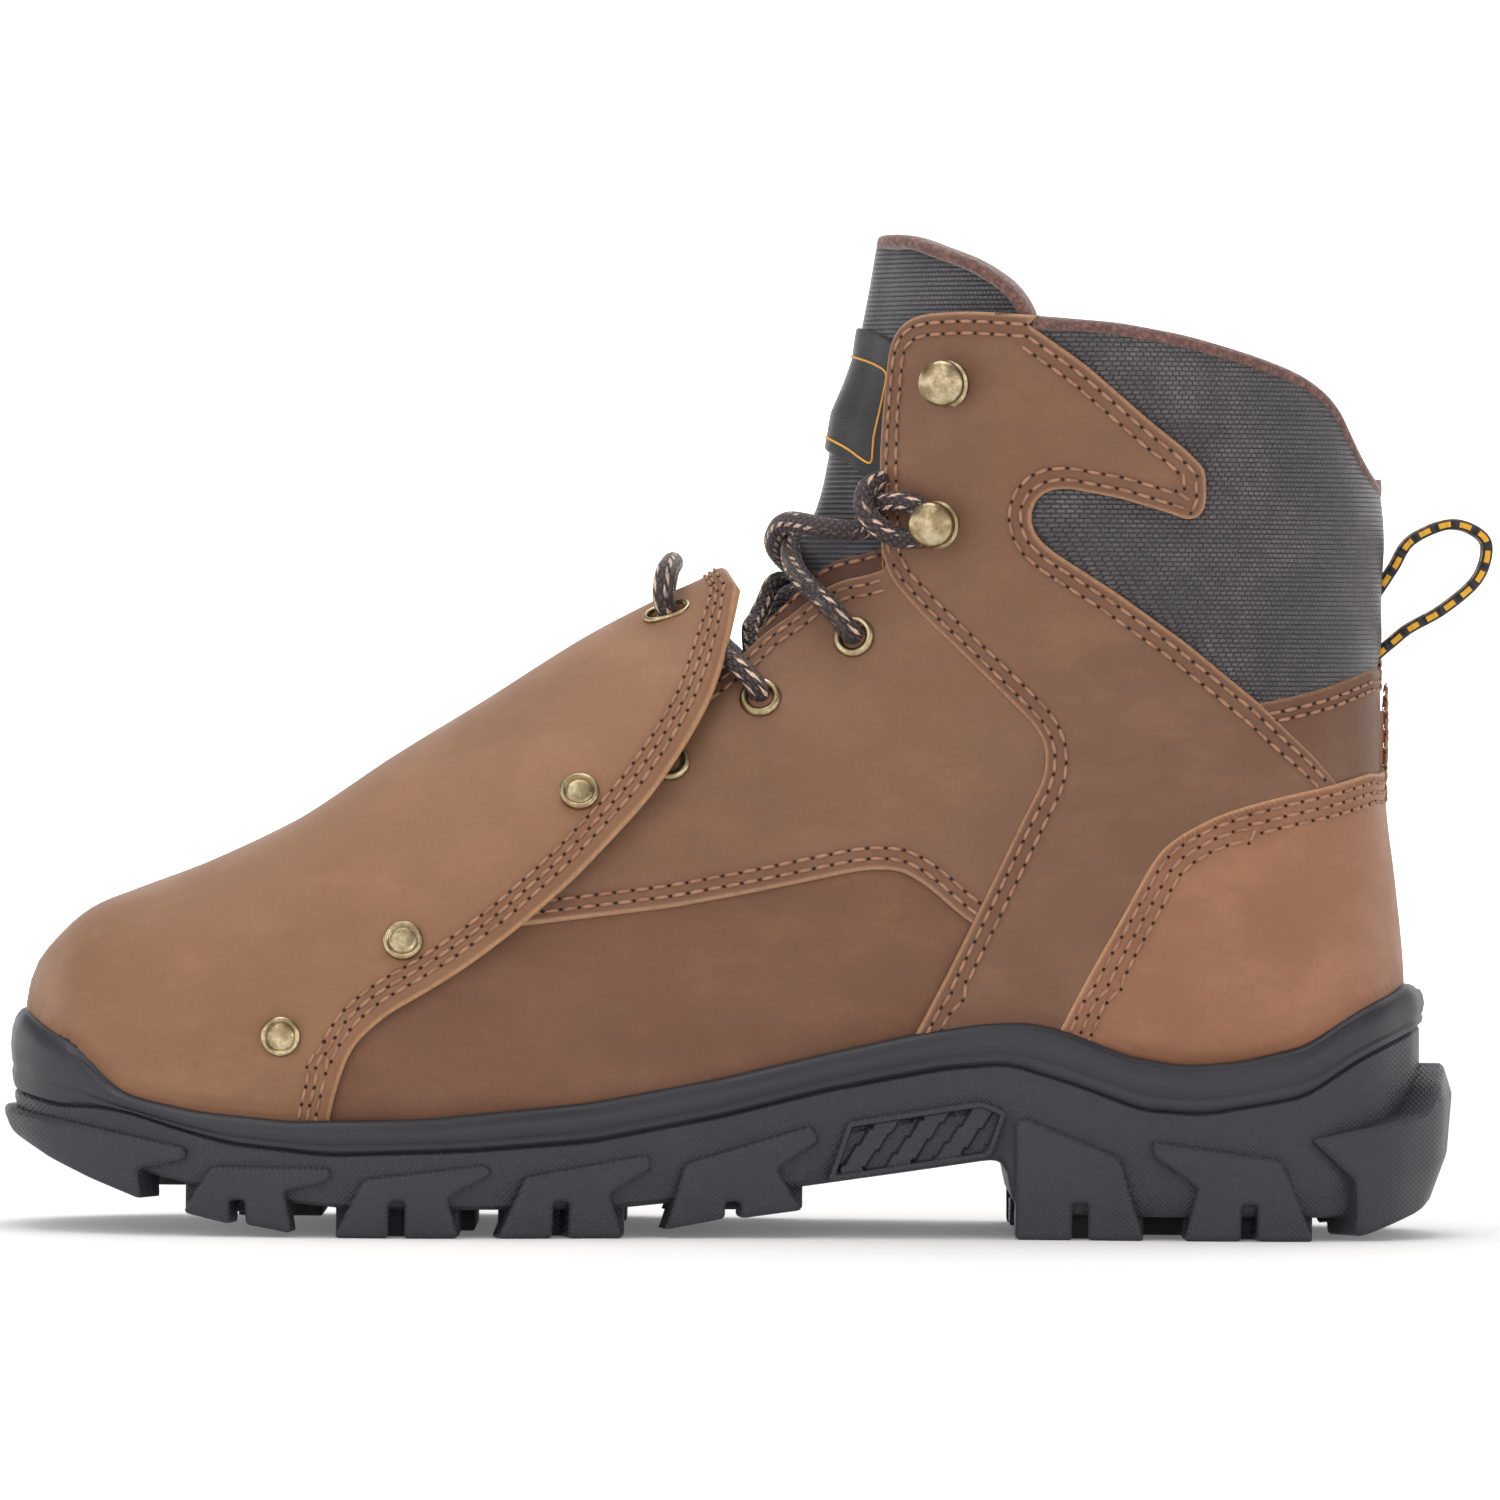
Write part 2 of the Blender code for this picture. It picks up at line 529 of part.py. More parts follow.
FAR_LEFT, FAR_RIGHT = -BOOT_LENGTH, 0.3 * BOOT_LENGTH
FAR_UP, FAR_DOWN = 1.3 * SHAFT_HEIGHT, -0.1 * SHAFT_HEIGHT
GUARD_OUTLINE = [*scaled(GUARD_EDGE), (FAR_LEFT, 0.775 * SHAFT_HEIGHT), (FAR_LEFT, 0.05 * SHAFT_HEIGHT)]
MOUTH_OUTLINE = [*scaled(MOUTH), (FAR_RIGHT, FAR_UP), (-0.476 * BOOT_LENGTH, FAR_UP)]
COUNTER_OUTLINE = [*scaled(COUNTER_EDGE), (-0.124 * BOOT_LENGTH, FAR_DOWN), (FAR_RIGHT, FAR_DOWN)]
SHAFT_OUTLINE = [
    *scaled(reversed(SHAFT_FRONT)),
    (-0.236 * BOOT_LENGTH, 0.8 * SHAFT_HEIGHT),
    (-0.236 * BOOT_LENGTH, FAR_UP),
    (-0.131 * BOOT_LENGTH, FAR_UP),
    *scaled(COLLAR_FRONT),
    *scaled(SHAFT_BACK[1:]),
    (0.085 * BOOT_LENGTH, FAR_DOWN),
    (-0.219 * BOOT_LENGTH, FAR_DOWN),
]
QUARTER_OUTLINE = [
    *scaled(QUARTER_LOW),
    (-0.100 * BOOT_LENGTH, 0.450 * SHAFT_HEIGHT),
    (-0.100 * BOOT_LENGTH, 0.560 * SHAFT_HEIGHT),
    (-0.190 * BOOT_LENGTH, 0.720 * SHAFT_HEIGHT),
    (-0.220 * BOOT_LENGTH, 0.800 * SHAFT_HEIGHT),
    (-0.380 * BOOT_LENGTH, 0.800 * SHAFT_HEIGHT),
    (-0.405 * BOOT_LENGTH, 0.545 * SHAFT_HEIGHT),
    (-0.455 * BOOT_LENGTH, 0.470 * SHAFT_HEIGHT),
]
COLLAR_OUTLINE = [
    *scaled(COLLAR_FRONT),
    *scaled(COLLAR_LOW[1:]),
    (FAR_RIGHT, 0.65 * SHAFT_HEIGHT),
    (FAR_RIGHT, FAR_UP),
    (-0.131 * BOOT_LENGTH, FAR_UP),
]
BACKSTAY_OUTLINE = [
    (0.022 * BOOT_LENGTH, 0.440 * SHAFT_HEIGHT),
    (FAR_RIGHT, 0.440 * SHAFT_HEIGHT),
    (FAR_RIGHT, 0.663 * SHAFT_HEIGHT),
    (0.022 * BOOT_LENGTH, 0.663 * SHAFT_HEIGHT),
]
TONGUE_OUTLINE = [
    (-0.500 * BOOT_LENGTH, 1.084 * SHAFT_HEIGHT),
    *scaled(TONGUE_EDGE),
    (-0.500 * BOOT_LENGTH, 0.440 * SHAFT_HEIGHT),
]

mouth = slab("mouth_cutter", MOUTH_OUTLINE)
under_rim = band("under_rim_cutter", RIM, 2 * CLEARANCE, -REACH)
under_footbed = band("under_footbed_cutter", FOOTBED, CLEARANCE, -REACH)
below_seat = band("below_midsole_seat_cutter", FOOTBED, 0.0, -REACH)

upper = shell("upper", -UPPER_WALL, 0.0, leather("vamp_leather"))
cut(upper, "DIFFERENCE", under_footbed, mouth)


def overlay(name, look, wall, outline, away=(), side=None):
    """A panel lying on the upper inside a side outline, less the panels that cover it."""
    low_y = {None: -REACH, "medial": -REACH, "lateral": MIDDLE_GAP}[side]
    high_y = {None: REACH, "medial": -MIDDLE_GAP, "lateral": REACH}[side]
    panel = shell(name, CLEARANCE, wall + CLEARANCE, look)
    cut(panel, "INTERSECT", slab(f"{name}_outline", outline, low_y, high_y))
    cut(panel, "DIFFERENCE", under_rim, mouth, *away)
    return panel


counter_gap = slab("counter_gap", grown(COUNTER_OUTLINE, CLEARANCE))
shaft_gap = slab("shaft_gap", grown(SHAFT_OUTLINE, CLEARANCE))
collar_gap = slab("collar_gap", grown(COLLAR_OUTLINE, CLEARANCE))

for side in SKINS:
    overlay(
        f"quarter_{side}", leather(f"quarter_leather_{side}"), PANEL_WALL, QUARTER_OUTLINE, (shaft_gap,), side,
    )
    overlay(
        f"shaft_panel_{side}", leather(f"shaft_leather_{side}"), PANEL_WALL, SHAFT_OUTLINE,
        (counter_gap, collar_gap), side,
    )
overlay(
    "backstay", leather("backstay_leather"), PANEL_WALL, BACKSTAY_OUTLINE,
    (counter_gap, shaft_gap, collar_gap),
)
overlay("heel_counter", leather("counter_leather"), COUNTER_WALL, COUNTER_OUTLINE)
overlay("padded_collar", fabric("collar_fabric"), COLLAR_WALL, COLLAR_OUTLINE)


def guard_rise(at, angle):
    """The guard's inner face lifts off the upper behind the toe, to clear the quarters and the tongue."""
    behind = max(at - GUARD_RISE_START, 0)
    return CLEARANCE + GUARD_RISE_PER_SECTION * behind * (1 + GUARD_SIDE_RISE * sin(angle) ** 2)


def guard_outside(at, angle):
    """The guard's outer face."""
    return guard_rise(at, angle) + GUARD_WALL


guard = shell("metatarsal_guard", guard_rise, guard_outside, leather("guard_leather"))
cut(guard, "INTERSECT", slab("guard_outline", GUARD_OUTLINE))
cut(guard, "DIFFERENCE", under_rim)

# Tongue


def eased(share):
    """A share from nothing to one that starts and ends gently."""
    share = min(max(share, 0.0), 1.0)
    return share * share * (3 - 2 * share)


def tongue_face(at, angle):
    """The tongue swells forward between the throat's edges and tucks behind them."""
    off_middle = abs((angle + pi) % (2 * pi) - pi)
    beside = eased((off_middle - TONGUE_CROWN_ANGLE) / TONGUE_CROWN_FADE)
    return -TONGUE_DEPTH + TONGUE_CROWN * eased(at - TONGUE_CROWN_START) * (1 - beside)


tongue = shell(
    "tongue", lambda at, angle: tongue_face(at, angle) - TONGUE_WALL, tongue_face, fabric("tongue_fabric")
)
cut(tongue, "INTERSECT", slab("tongue_outline", TONGUE_OUTLINE))

# Sole


def plan_loop(swell):
    """The sole's outline moved out by a distance that depends on the place along the boot."""
    rows = [(PLAN_TIP[0] * BOOT_LENGTH, PLAN_TIP[1] * SOLE_WIDTH)]
    table = np.array(PLAN) * (BOOT_LENGTH, SOLE_WIDTH, SOLE_WIDTH)
    places = [spline_at(table, step / PLAN_STEPS) for step in range((len(PLAN) - 1) * PLAN_STEPS + 1)]
    rows += [(x, lateral) for x, _, lateral in places]
    rows.append((PLAN_HEEL[0] * BOOT_LENGTH, PLAN_HEEL[1] * SOLE_WIDTH))
    rows += [(x, -medial) for x, medial, _ in reversed(places)]
    moved = []
    for before, here, after in zip(rows[-1:] + rows[:-1], rows, rows[1:] + rows[:1]):
        across = Vector((before[1] - after[1], after[0] - before[0])).normalized()
        moved.append(tuple(Vector(here) + across * swell(here[0])))
    return moved


def close_ring(mesh, ring):
    """Fills a ring of the sole with strips from the inner side to the outer side."""
    half = len(ring) // 2
    outer, inner = ring[1:half], ring[:half:-1]
    mesh.faces.new((ring[0], outer[0], inner[0]))
    mesh.faces.new((ring[half], outer[-1], inner[-1]))
    for a, b, c, d in zip(outer, outer[1:], inner[1:], inner):
        mesh.faces.new((a, b, c, d))


def ring_stack(name, rows, look=None):
    """A solid through rings of the sole's outline. Each row gives a height and a distance out, by place."""
    mesh = bmesh.new()
    rings = [[mesh.verts.new((x, y, height(x))) for x, y in plan_loop(swell)] for height, swell in rows]
    for ring, following in zip(rings, rings[1:]):
        for i in range(len(ring)):
            j = (i + 1) % len(ring)
            mesh.faces.new((ring[i], ring[j], following[j], following[i]))
    close_ring(mesh, rings[0])
    close_ring(mesh, rings[-1])
    bmesh.ops.triangulate(mesh, faces=mesh.faces)
    return keep(mesh, name, look)


def height_of(table, rise=0.0):
    """A side line of the sole as a function of the place along the boot."""
    return lambda x: line_at(table, x, SOLE_HEIGHT) + rise


def between(low, high, share):
    """A line some way from one line to another."""
    return lambda x: low(x) * (1 - share) + high(x) * share


def level(distance):
    """The same distance at every place."""
    return lambda x: distance


def block_swell(x):
    """How far the blocks and plates stand out of the side wall: the heel cup bulges to the back."""
    back = eased((x / BOOT_LENGTH - HEEL_CUP_START) / HEEL_CUP_RUN)
    return LUG_STEP + (HEEL_CUP_STEP - LUG_STEP) * back


def share_of(swell, share):
    """Part of a distance that depends on the place."""
    return lambda x: swell(x) * share


groove_low, groove_high = height_of(GROOVE, -CLEARANCE / 2), height_of(GROOVE, CLEARANCE / 2)
seat_low, seat_high = height_of(MIDSOLE_SEAT), height_of(MIDSOLE_SEAT, CLEARANCE)
rim, base, tread = height_of(RIM, -CLEARANCE), height_of(BASE), height_of(TREAD)

midsole = ring_stack("midsole", (
    (seat_high, level(-OUTSOLE_RIM - CLEARANCE)),
    (between(groove_high, rim, MIDSOLE_FOOT_SHARE), level(-OUTSOLE_RIM - CLEARANCE)),
    *((between(groove_high, rim, share), level(out)) for share, out in MIDSOLE_WALL),
), rubber("midsole_rubber"))
foot_room = tube("foot_room_cutter", CLEARANCE)
cut(foot_room, "DIFFERENCE", below_seat)
cut(midsole, "DIFFERENCE", foot_room)

outsole_rows = [(between(groove_low, base, share), level(out)) for share, out in OUTSOLE_WALL]
outsole = ring_stack("outsole", outsole_rows, rubber("outsole_rubber"))
midsole_room = ring_stack("midsole_room_cutter", (
    (seat_low, level(-OUTSOLE_RIM)),
    (height_of(GROOVE, SOLE_HEIGHT), level(-OUTSOLE_RIM)),
))

treads = ring_stack("tread_blocks", (
    (height_of(GROOVE, -BLOCK_TOP_DROP), level(-BLOCK_TOP_INSET)),
    *((between(groove_low, tread, share), share_of(block_swell, out)) for share, out in TREAD_WALL),
))
cut(treads, "DIFFERENCE", midsole_room)


def box_mesh(mesh, low, high):
    """Adds a box between two corners."""
    made = bmesh.ops.create_cube(mesh, size=1.0)["verts"]
    bmesh.ops.scale(mesh, vec=[b - a for a, b in zip(low, high)], verts=made)
    bmesh.ops.translate(mesh, vec=[(a + b) / 2 for a, b in zip(low, high)], verts=made)


def block_cutter():
    """All side blocks and middle blocks as one cutter of separate prisms."""
    mesh = bmesh.new()
    for _, reach, _, outline in BLOCKS:
        for sign in SKINS.values():
            near = sign * reach * SOLE_WIDTH
            if not reach:
                if sign < 0:
                    continue
                near = -REACH
            face = mesh.faces.new([mesh.verts.new((x, near, z)) for x, z in scaled(outline, SOLE_HEIGHT)])
            made = bmesh.ops.extrude_face_region(mesh, geom=[face])["geom"]
            moved = [element for element in made if isinstance(element, bmesh.types.BMVert)]
            bmesh.ops.translate(mesh, vec=(0, sign * REACH - near, 0), verts=moved)
    for front, back, half in MIDDLE_BLOCKS:
        top = line_at(BASE, back * BOOT_LENGTH, SOLE_HEIGHT) + BLOCK_TOP_DROP
        low = (front * BOOT_LENGTH, -half * SOLE_WIDTH, -BELOW_FLOOR)
        high = (back * BOOT_LENGTH, half * SOLE_WIDTH, top)
        box_mesh(mesh, low, high)
    return keep(mesh, "block_outlines")


def slot_cutter():
    """The upright slots in the middle of the side blocks."""
    mesh = bmesh.new()
    for _, _, slotted, outline in BLOCKS:
        if not slotted:
            continue
        floor = [x for x, z in outline if z < 0]
        middle = sum(floor) / len(floor) * BOOT_LENGTH
        for sign in SKINS.values():
            nearest = min(PLAN, key=lambda row: abs(row[0] * BOOT_LENGTH - middle))
            wall = (nearest[1] if sign < 0 else nearest[2]) * SOLE_WIDTH
            sides = sorted((sign * (wall - LUG_SLOT_DEPTH), sign * (wall + 3 * LUG_STEP)))
            box_mesh(
                mesh,
                (middle - LUG_SLOT_WIDTH / 2, sides[0], -BELOW_FLOOR),
                (middle + LUG_SLOT_WIDTH / 2, sides[1], LUG_SLOT_HEIGHT),
            )
    return keep(mesh, "slot_cutters")


cut(treads, "INTERSECT", block_cutter())
cut(outsole, "DIFFERENCE", midsole_room)
cut(outsole, "UNION", treads)
cut(outsole, "DIFFERENCE", slot_cutter())

insole = tube("insole", -UPPER_WALL - CLEARANCE, fabric("insole_foam"))
cut(insole, "DIFFERENCE", band("under_insole_cutter", FOOTBED, CLEARANCE, -REACH))
cut(insole, "DIFFERENCE", band("over_insole_cutter", FOOTBED, CLEARANCE + INSOLE_WALL, FAR_UP))

# Fittings


def seat_frame(x, z, side, offset):
    """Where a fitting sits on the side of the boot, and which way it faces."""
    at, angle = side_place(x * BOOT_LENGTH, z * SHAFT_HEIGHT)
    angle *= SKINS[side]
    return upper_point(at, angle, offset), skin_normal(at, angle)


def turned(name, profile, look, seat):
    """A turned piece. The profile runs down its outer side, from top to bottom."""
    data = bpy.data.meshes.new(name)
    loop = profile[0][0] > 0
    edges = [(i, i + 1) for i in range(len(profile) - 1)]
    if loop:
        edges.append((len(profile) - 1, 0))
    data.from_pydata([(r, 0, z) for r, z in profile], edges, [])
    data.materials.append(look)
    made = bpy.data.objects.new(name, data)
    boot.objects.link(made)
    made.location = seat[0]
    made.rotation_euler = seat[1].to_track_quat("Z", "Y").to_euler()
    screw = made.modifiers.new("turn", "SCREW")
    screw.steps = screw.render_steps = TURN_STEPS
    screw.use_merge_vertices = True
    screw.merge_threshold = MERGE_DISTANCE
    return made


PANEL_FACE = CLEARANCE + PANEL_WALL
EYELET_PROFILE = (
    (EYELET_RADIUS * 0.70, EYELET_HEIGHT), (EYELET_RADIUS, EYELET_HEIGHT * 0.35), (EYELET_RADIUS, 0.0),
    (EYELET_BORE, 0.0), (EYELET_BORE, EYELET_HEIGHT * 0.8),
)
RIVET_PROFILE = (
    (0.0, RIVET_HEIGHT), (RIVET_RADIUS * 0.55, RIVET_HEIGHT * 0.86), (RIVET_RADIUS, RIVET_HEIGHT * 0.25),
    (RIVET_RADIUS, 0.0), (0.0, 0.0),
)
HOOK_TOP = HOOK_BASE_HEIGHT + HOOK_NECK_HEIGHT
HOOK_PROFILE = (
    (0.0, HOOK_TOP + HOOK_CAP_HEIGHT), (HOOK_RADIUS * 0.6, HOOK_TOP + HOOK_CAP_HEIGHT * 0.85),
    (HOOK_RADIUS, HOOK_TOP + HOOK_CAP_HEIGHT * 0.3), (HOOK_RADIUS, HOOK_TOP),
    (HOOK_NECK_RADIUS, HOOK_TOP), (HOOK_NECK_RADIUS, HOOK_BASE_HEIGHT),
    (HOOK_BASE_RADIUS, HOOK_BASE_HEIGHT), (HOOK_BASE_RADIUS, 0.0), (0.0, 0.0),
)

for side in SKINS:
    for number, (x, z) in enumerate(EYELETS, 1):
        seat = seat_frame(x, z, side, PANEL_FACE + SEAT_LIFT)
        turned(f"eyelet_{side}_{number}", EYELET_PROFILE, brass(f"eyelet_brass_{side}_{number}"), seat)
    for place, x, z in HOOKS:
        seat = seat_frame(x, z, side, PANEL_FACE + SEAT_LIFT)
        turned(f"hook_{side}_{place}", HOOK_PROFILE, brass(f"hook_brass_{side}_{place}"), seat)
    for number, (x, z) in enumerate(RIVETS, 1):
        face = guard_outside(*side_place(x * BOOT_LENGTH, z * SHAFT_HEIGHT))
        seat = seat_frame(x, z, side, face + SEAT_LIFT)
        turned(f"guard_rivet_{side}_{number}", RIVET_PROFILE, brass(f"rivet_brass_{side}_{number}"), seat)


def slot_bar(mesh, length, width, low, high):
    """A flat bar with round ends, lying along X."""
    outline = []
    for end, start in ((1, pi / 2), (-1, -pi / 2)):
        for step in range(BAR_END_STEPS + 1):
            angle = start - pi * step / BAR_END_STEPS
            outline.append((
                end * (length - width) / 2 + width / 2 * cos(angle),
                width / 2 * sin(angle),
            ))
    face = mesh.faces.new([mesh.verts.new((x, y, low)) for x, y in outline])
    made = bmesh.ops.extrude_face_region(mesh, geom=[face])["geom"]
    moved = [element for element in made if isinstance(element, bmesh.types.BMVert)]
    bmesh.ops.translate(mesh, vec=(0, 0, high - low), verts=moved)


def placed_bar(name, seat, length, width, low, high, look=None):
    """A round-ended bar set on the guard, along the boot."""
    mesh = bmesh.new()
    slot_bar(mesh, length, width, low, high)
    made = keep(mesh, name, look)
    point, normal = seat
    along = Vector((1, 0, 0))
    along = (along - normal * along.dot(normal)).normalized()
    across = normal.cross(along)
    turn = Matrix((along, across, normal)).transposed()
    made.matrix_world = Matrix.Translation(point) @ turn.to_4x4()
    return made


guard_face = guard_outside(SLOT_SECTION, 0)
for side, sign in SKINS.items():
    angle = sign * SLOT_ANGLE
    seat = (upper_point(SLOT_SECTION, angle, guard_face + SEAT_LIFT), skin_normal(SLOT_SECTION, angle))
    rim_piece = placed_bar(
        f"guard_slot_{side}", seat, SLOT_LENGTH, SLOT_WIDTH, 0.0, SLOT_HEIGHT, brass(f"slot_brass_{side}")
    )
    hole = placed_bar(
        f"guard_slot_hole_{side}", seat, SLOT_LENGTH - 2 * SLOT_RIM, SLOT_WIDTH - 2 * SLOT_RIM,
        -SLOT_HOLE_DEPTH, SLOT_HOLE_RISE,
    )
    cut(rim_piece, "DIFFERENCE", hole)
    cut(guard, "DIFFERENCE", hole)

# Laces and pull loop


def smooth_route(points, steps):
    """Points read evenly off a smooth curve through the route's own points."""
    rows = np.array(points)
    count = (len(points) - 1) * steps
    return [spline_at(rows, i / steps) for i in range(count + 1)]


def cord_mesh(name, route, look=None):
    """A round cord along a route, with filled ends."""
    curve = bpy.data.curves.new(name, "CURVE")
    curve.dimensions = "3D"
    curve.bevel_depth = LACE_DIAMETER / 2
    curve.bevel_resolution = CORD_RESOLUTION
    curve.use_fill_caps = True
    path = curve.splines.new("POLY")
    path.points.add(len(route) - 1)
    for point, place in zip(path.points, route):
        point.co = (*place, 1.0)
    guide = bpy.data.objects.new(name + "_guide", curve)
    cutters.objects.link(guide)
    bpy.context.view_layer.update()
    data = bpy.data.meshes.new_from_object(guide.evaluated_get(bpy.context.evaluated_depsgraph_get()))
    bpy.data.objects.remove(guide)
    mesh = bmesh.new()
    mesh.from_mesh(data)
    bmesh.ops.remove_doubles(mesh, verts=mesh.verts, dist=MERGE_DISTANCE)
    bpy.data.meshes.remove(data)
    return keep(mesh, name, look)


def lace_cloth(name):
    """Dark brown cord."""
    return material(name, (0.06, 0.038, 0.024), 0.8)


for name, rows in LACE_CROSSINGS:
    first = smooth_route([upper_point(at, angle, height) for at, angle, height in rows], LACE_STEPS)
    second = smooth_route([upper_point(at, -angle, height) for at, angle, height in rows], LACE_STEPS)
    crossing = cord_mesh(f"lace_crossing_{name}", first, lace_cloth(f"lace_{name}"))
    cut(crossing, "UNION", cord_mesh(f"lace_crossing_{name}_return", second))

bar_points = [
    upper_point(SLOT_SECTION, share * SLOT_ANGLE, guard_face + height) for share, height in GUARD_BAR
]
cord_mesh("lace_guard_bar", smooth_route(bar_points, LACE_STEPS), lace_cloth("lace_guard"))


def strap(name, route, width, thickness, look):
    """A flat strap of webbing along a route in the boot's middle plane."""
    mesh = bmesh.new()
    rings = []
    for i, here in enumerate(route):
        before, after = route[max(i - 1, 0)], route[min(i + 1, len(route) - 1)]
        out = Vector((before[1] - after[1], after[0] - before[0])).normalized() * (thickness / 2)
        corners = [Vector(here) + out, Vector(here) - out]
        rings.append([
            mesh.verts.new((corners[k].x, y, corners[k].y))
            for k, y in ((0, -width / 2), (0, width / 2), (1, width / 2), (1, -width / 2))
        ])
    for ring, following in zip(rings, rings[1:]):
        for i in range(4):
            j = (i + 1) % 4
            mesh.faces.new((ring[i], ring[j], following[j], following[i]))
    mesh.faces.new(rings[0])
    mesh.faces.new(rings[-1])
    return keep(mesh, name, look)


strap("pull_loop", smooth_route(scaled(LOOP_ROUTE), 2), LOOP_WIDTH, LOOP_THICKNESS, fabric("loop_webbing"))
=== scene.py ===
"""The looks of a right metatarsal guard boot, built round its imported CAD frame.

Metres, +Z up. The toe points to -X. The inner (medial) side of the foot is -Y and the outer (lateral) side is +Y.
Leather panels, padding, stitches, lace, fittings and sole are modelled on the same last shape as the CAD's.
"""

from math import cos, pi, radians, sin

import bmesh
import bpy
import numpy as np
from mathutils import Matrix, Vector
from mathutils.geometry import delaunay_2d_cdt
from mathutils.kdtree import KDTree


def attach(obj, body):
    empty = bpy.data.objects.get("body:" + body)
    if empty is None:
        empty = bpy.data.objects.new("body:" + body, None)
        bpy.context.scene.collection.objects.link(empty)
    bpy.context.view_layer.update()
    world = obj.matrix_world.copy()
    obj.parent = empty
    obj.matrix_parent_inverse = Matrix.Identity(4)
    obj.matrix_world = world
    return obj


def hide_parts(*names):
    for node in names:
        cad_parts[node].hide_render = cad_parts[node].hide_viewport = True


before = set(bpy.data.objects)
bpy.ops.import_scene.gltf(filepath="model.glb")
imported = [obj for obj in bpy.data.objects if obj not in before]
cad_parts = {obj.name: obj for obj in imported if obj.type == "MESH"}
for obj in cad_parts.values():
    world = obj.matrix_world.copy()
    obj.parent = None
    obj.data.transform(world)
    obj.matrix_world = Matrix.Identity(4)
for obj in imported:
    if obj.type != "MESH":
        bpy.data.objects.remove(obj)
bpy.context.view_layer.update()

# Driving sizes
BOOT_LENGTH = 0.315
BALL_WIDTH = 0.104
SHAFT_HEIGHT = 0.200
SOLE_WIDTH = 1.101 * BALL_WIDTH
SOLE_HEIGHT = 0.047

# Walls and clearances
CLEARANCE = 0.0003
UPPER_WALL = 0.0022
GUARD_WALL = 0.0027
GUARD_RISE_PER_SECTION = 0.00090
GUARD_SIDE_RISE = 0.68
GUARD_LIFT = 0.0027
# The sections between which the guard's lift grows
GUARD_LIFT_START = 6
GUARD_LIFT_RUN = 5
TONGUE_WALL = 0.0050
TONGUE_DEPTH = 0.0028
TONGUE_CROWN = 0.0018
TONGUE_ROUND = 0.0035
TONGUE_DROP = 0.0018
LUG_STEP = 0.0022
HEEL_CUP_STEP = 0.0070
LUG_SLOT_WIDTH = 0.0034
LUG_SLOT_HEIGHT = 0.0080
LUG_SLOT_DEPTH = 0.0075
END_BLOCK_DEPTH = 0.0100
ARCH_PLATE_DEPTH = 0.0060
BLOCK_OVERLAP = 0.001

# Fittings
EYELET_RADIUS = 0.0046
EYELET_BORE = 0.0027
EYELET_HEIGHT = 0.0010
RIVET_RADIUS = 0.0043
RIVET_HEIGHT = 0.0016
HOOK_RADIUS = 0.0050
HOOK_NECK_RADIUS = 0.0021
HOOK_NECK_HEIGHT = 0.0052
HOOK_CAP_HEIGHT = 0.0022
HOOK_BASE_RADIUS = 0.0052
HOOK_BASE_HEIGHT = 0.0009
SLOT_LENGTH = 0.0108
SLOT_WIDTH = 0.0064
SLOT_RIM = 0.0011
SLOT_HEIGHT = 0.0010
# How far under and over the guard's face its slots are cut
SLOT_CUT = (-0.008, 0.004)
LACE_DIAMETER = 0.0046
LOOP_WIDTH = 0.0120
LOOP_THICKNESS = 0.0024

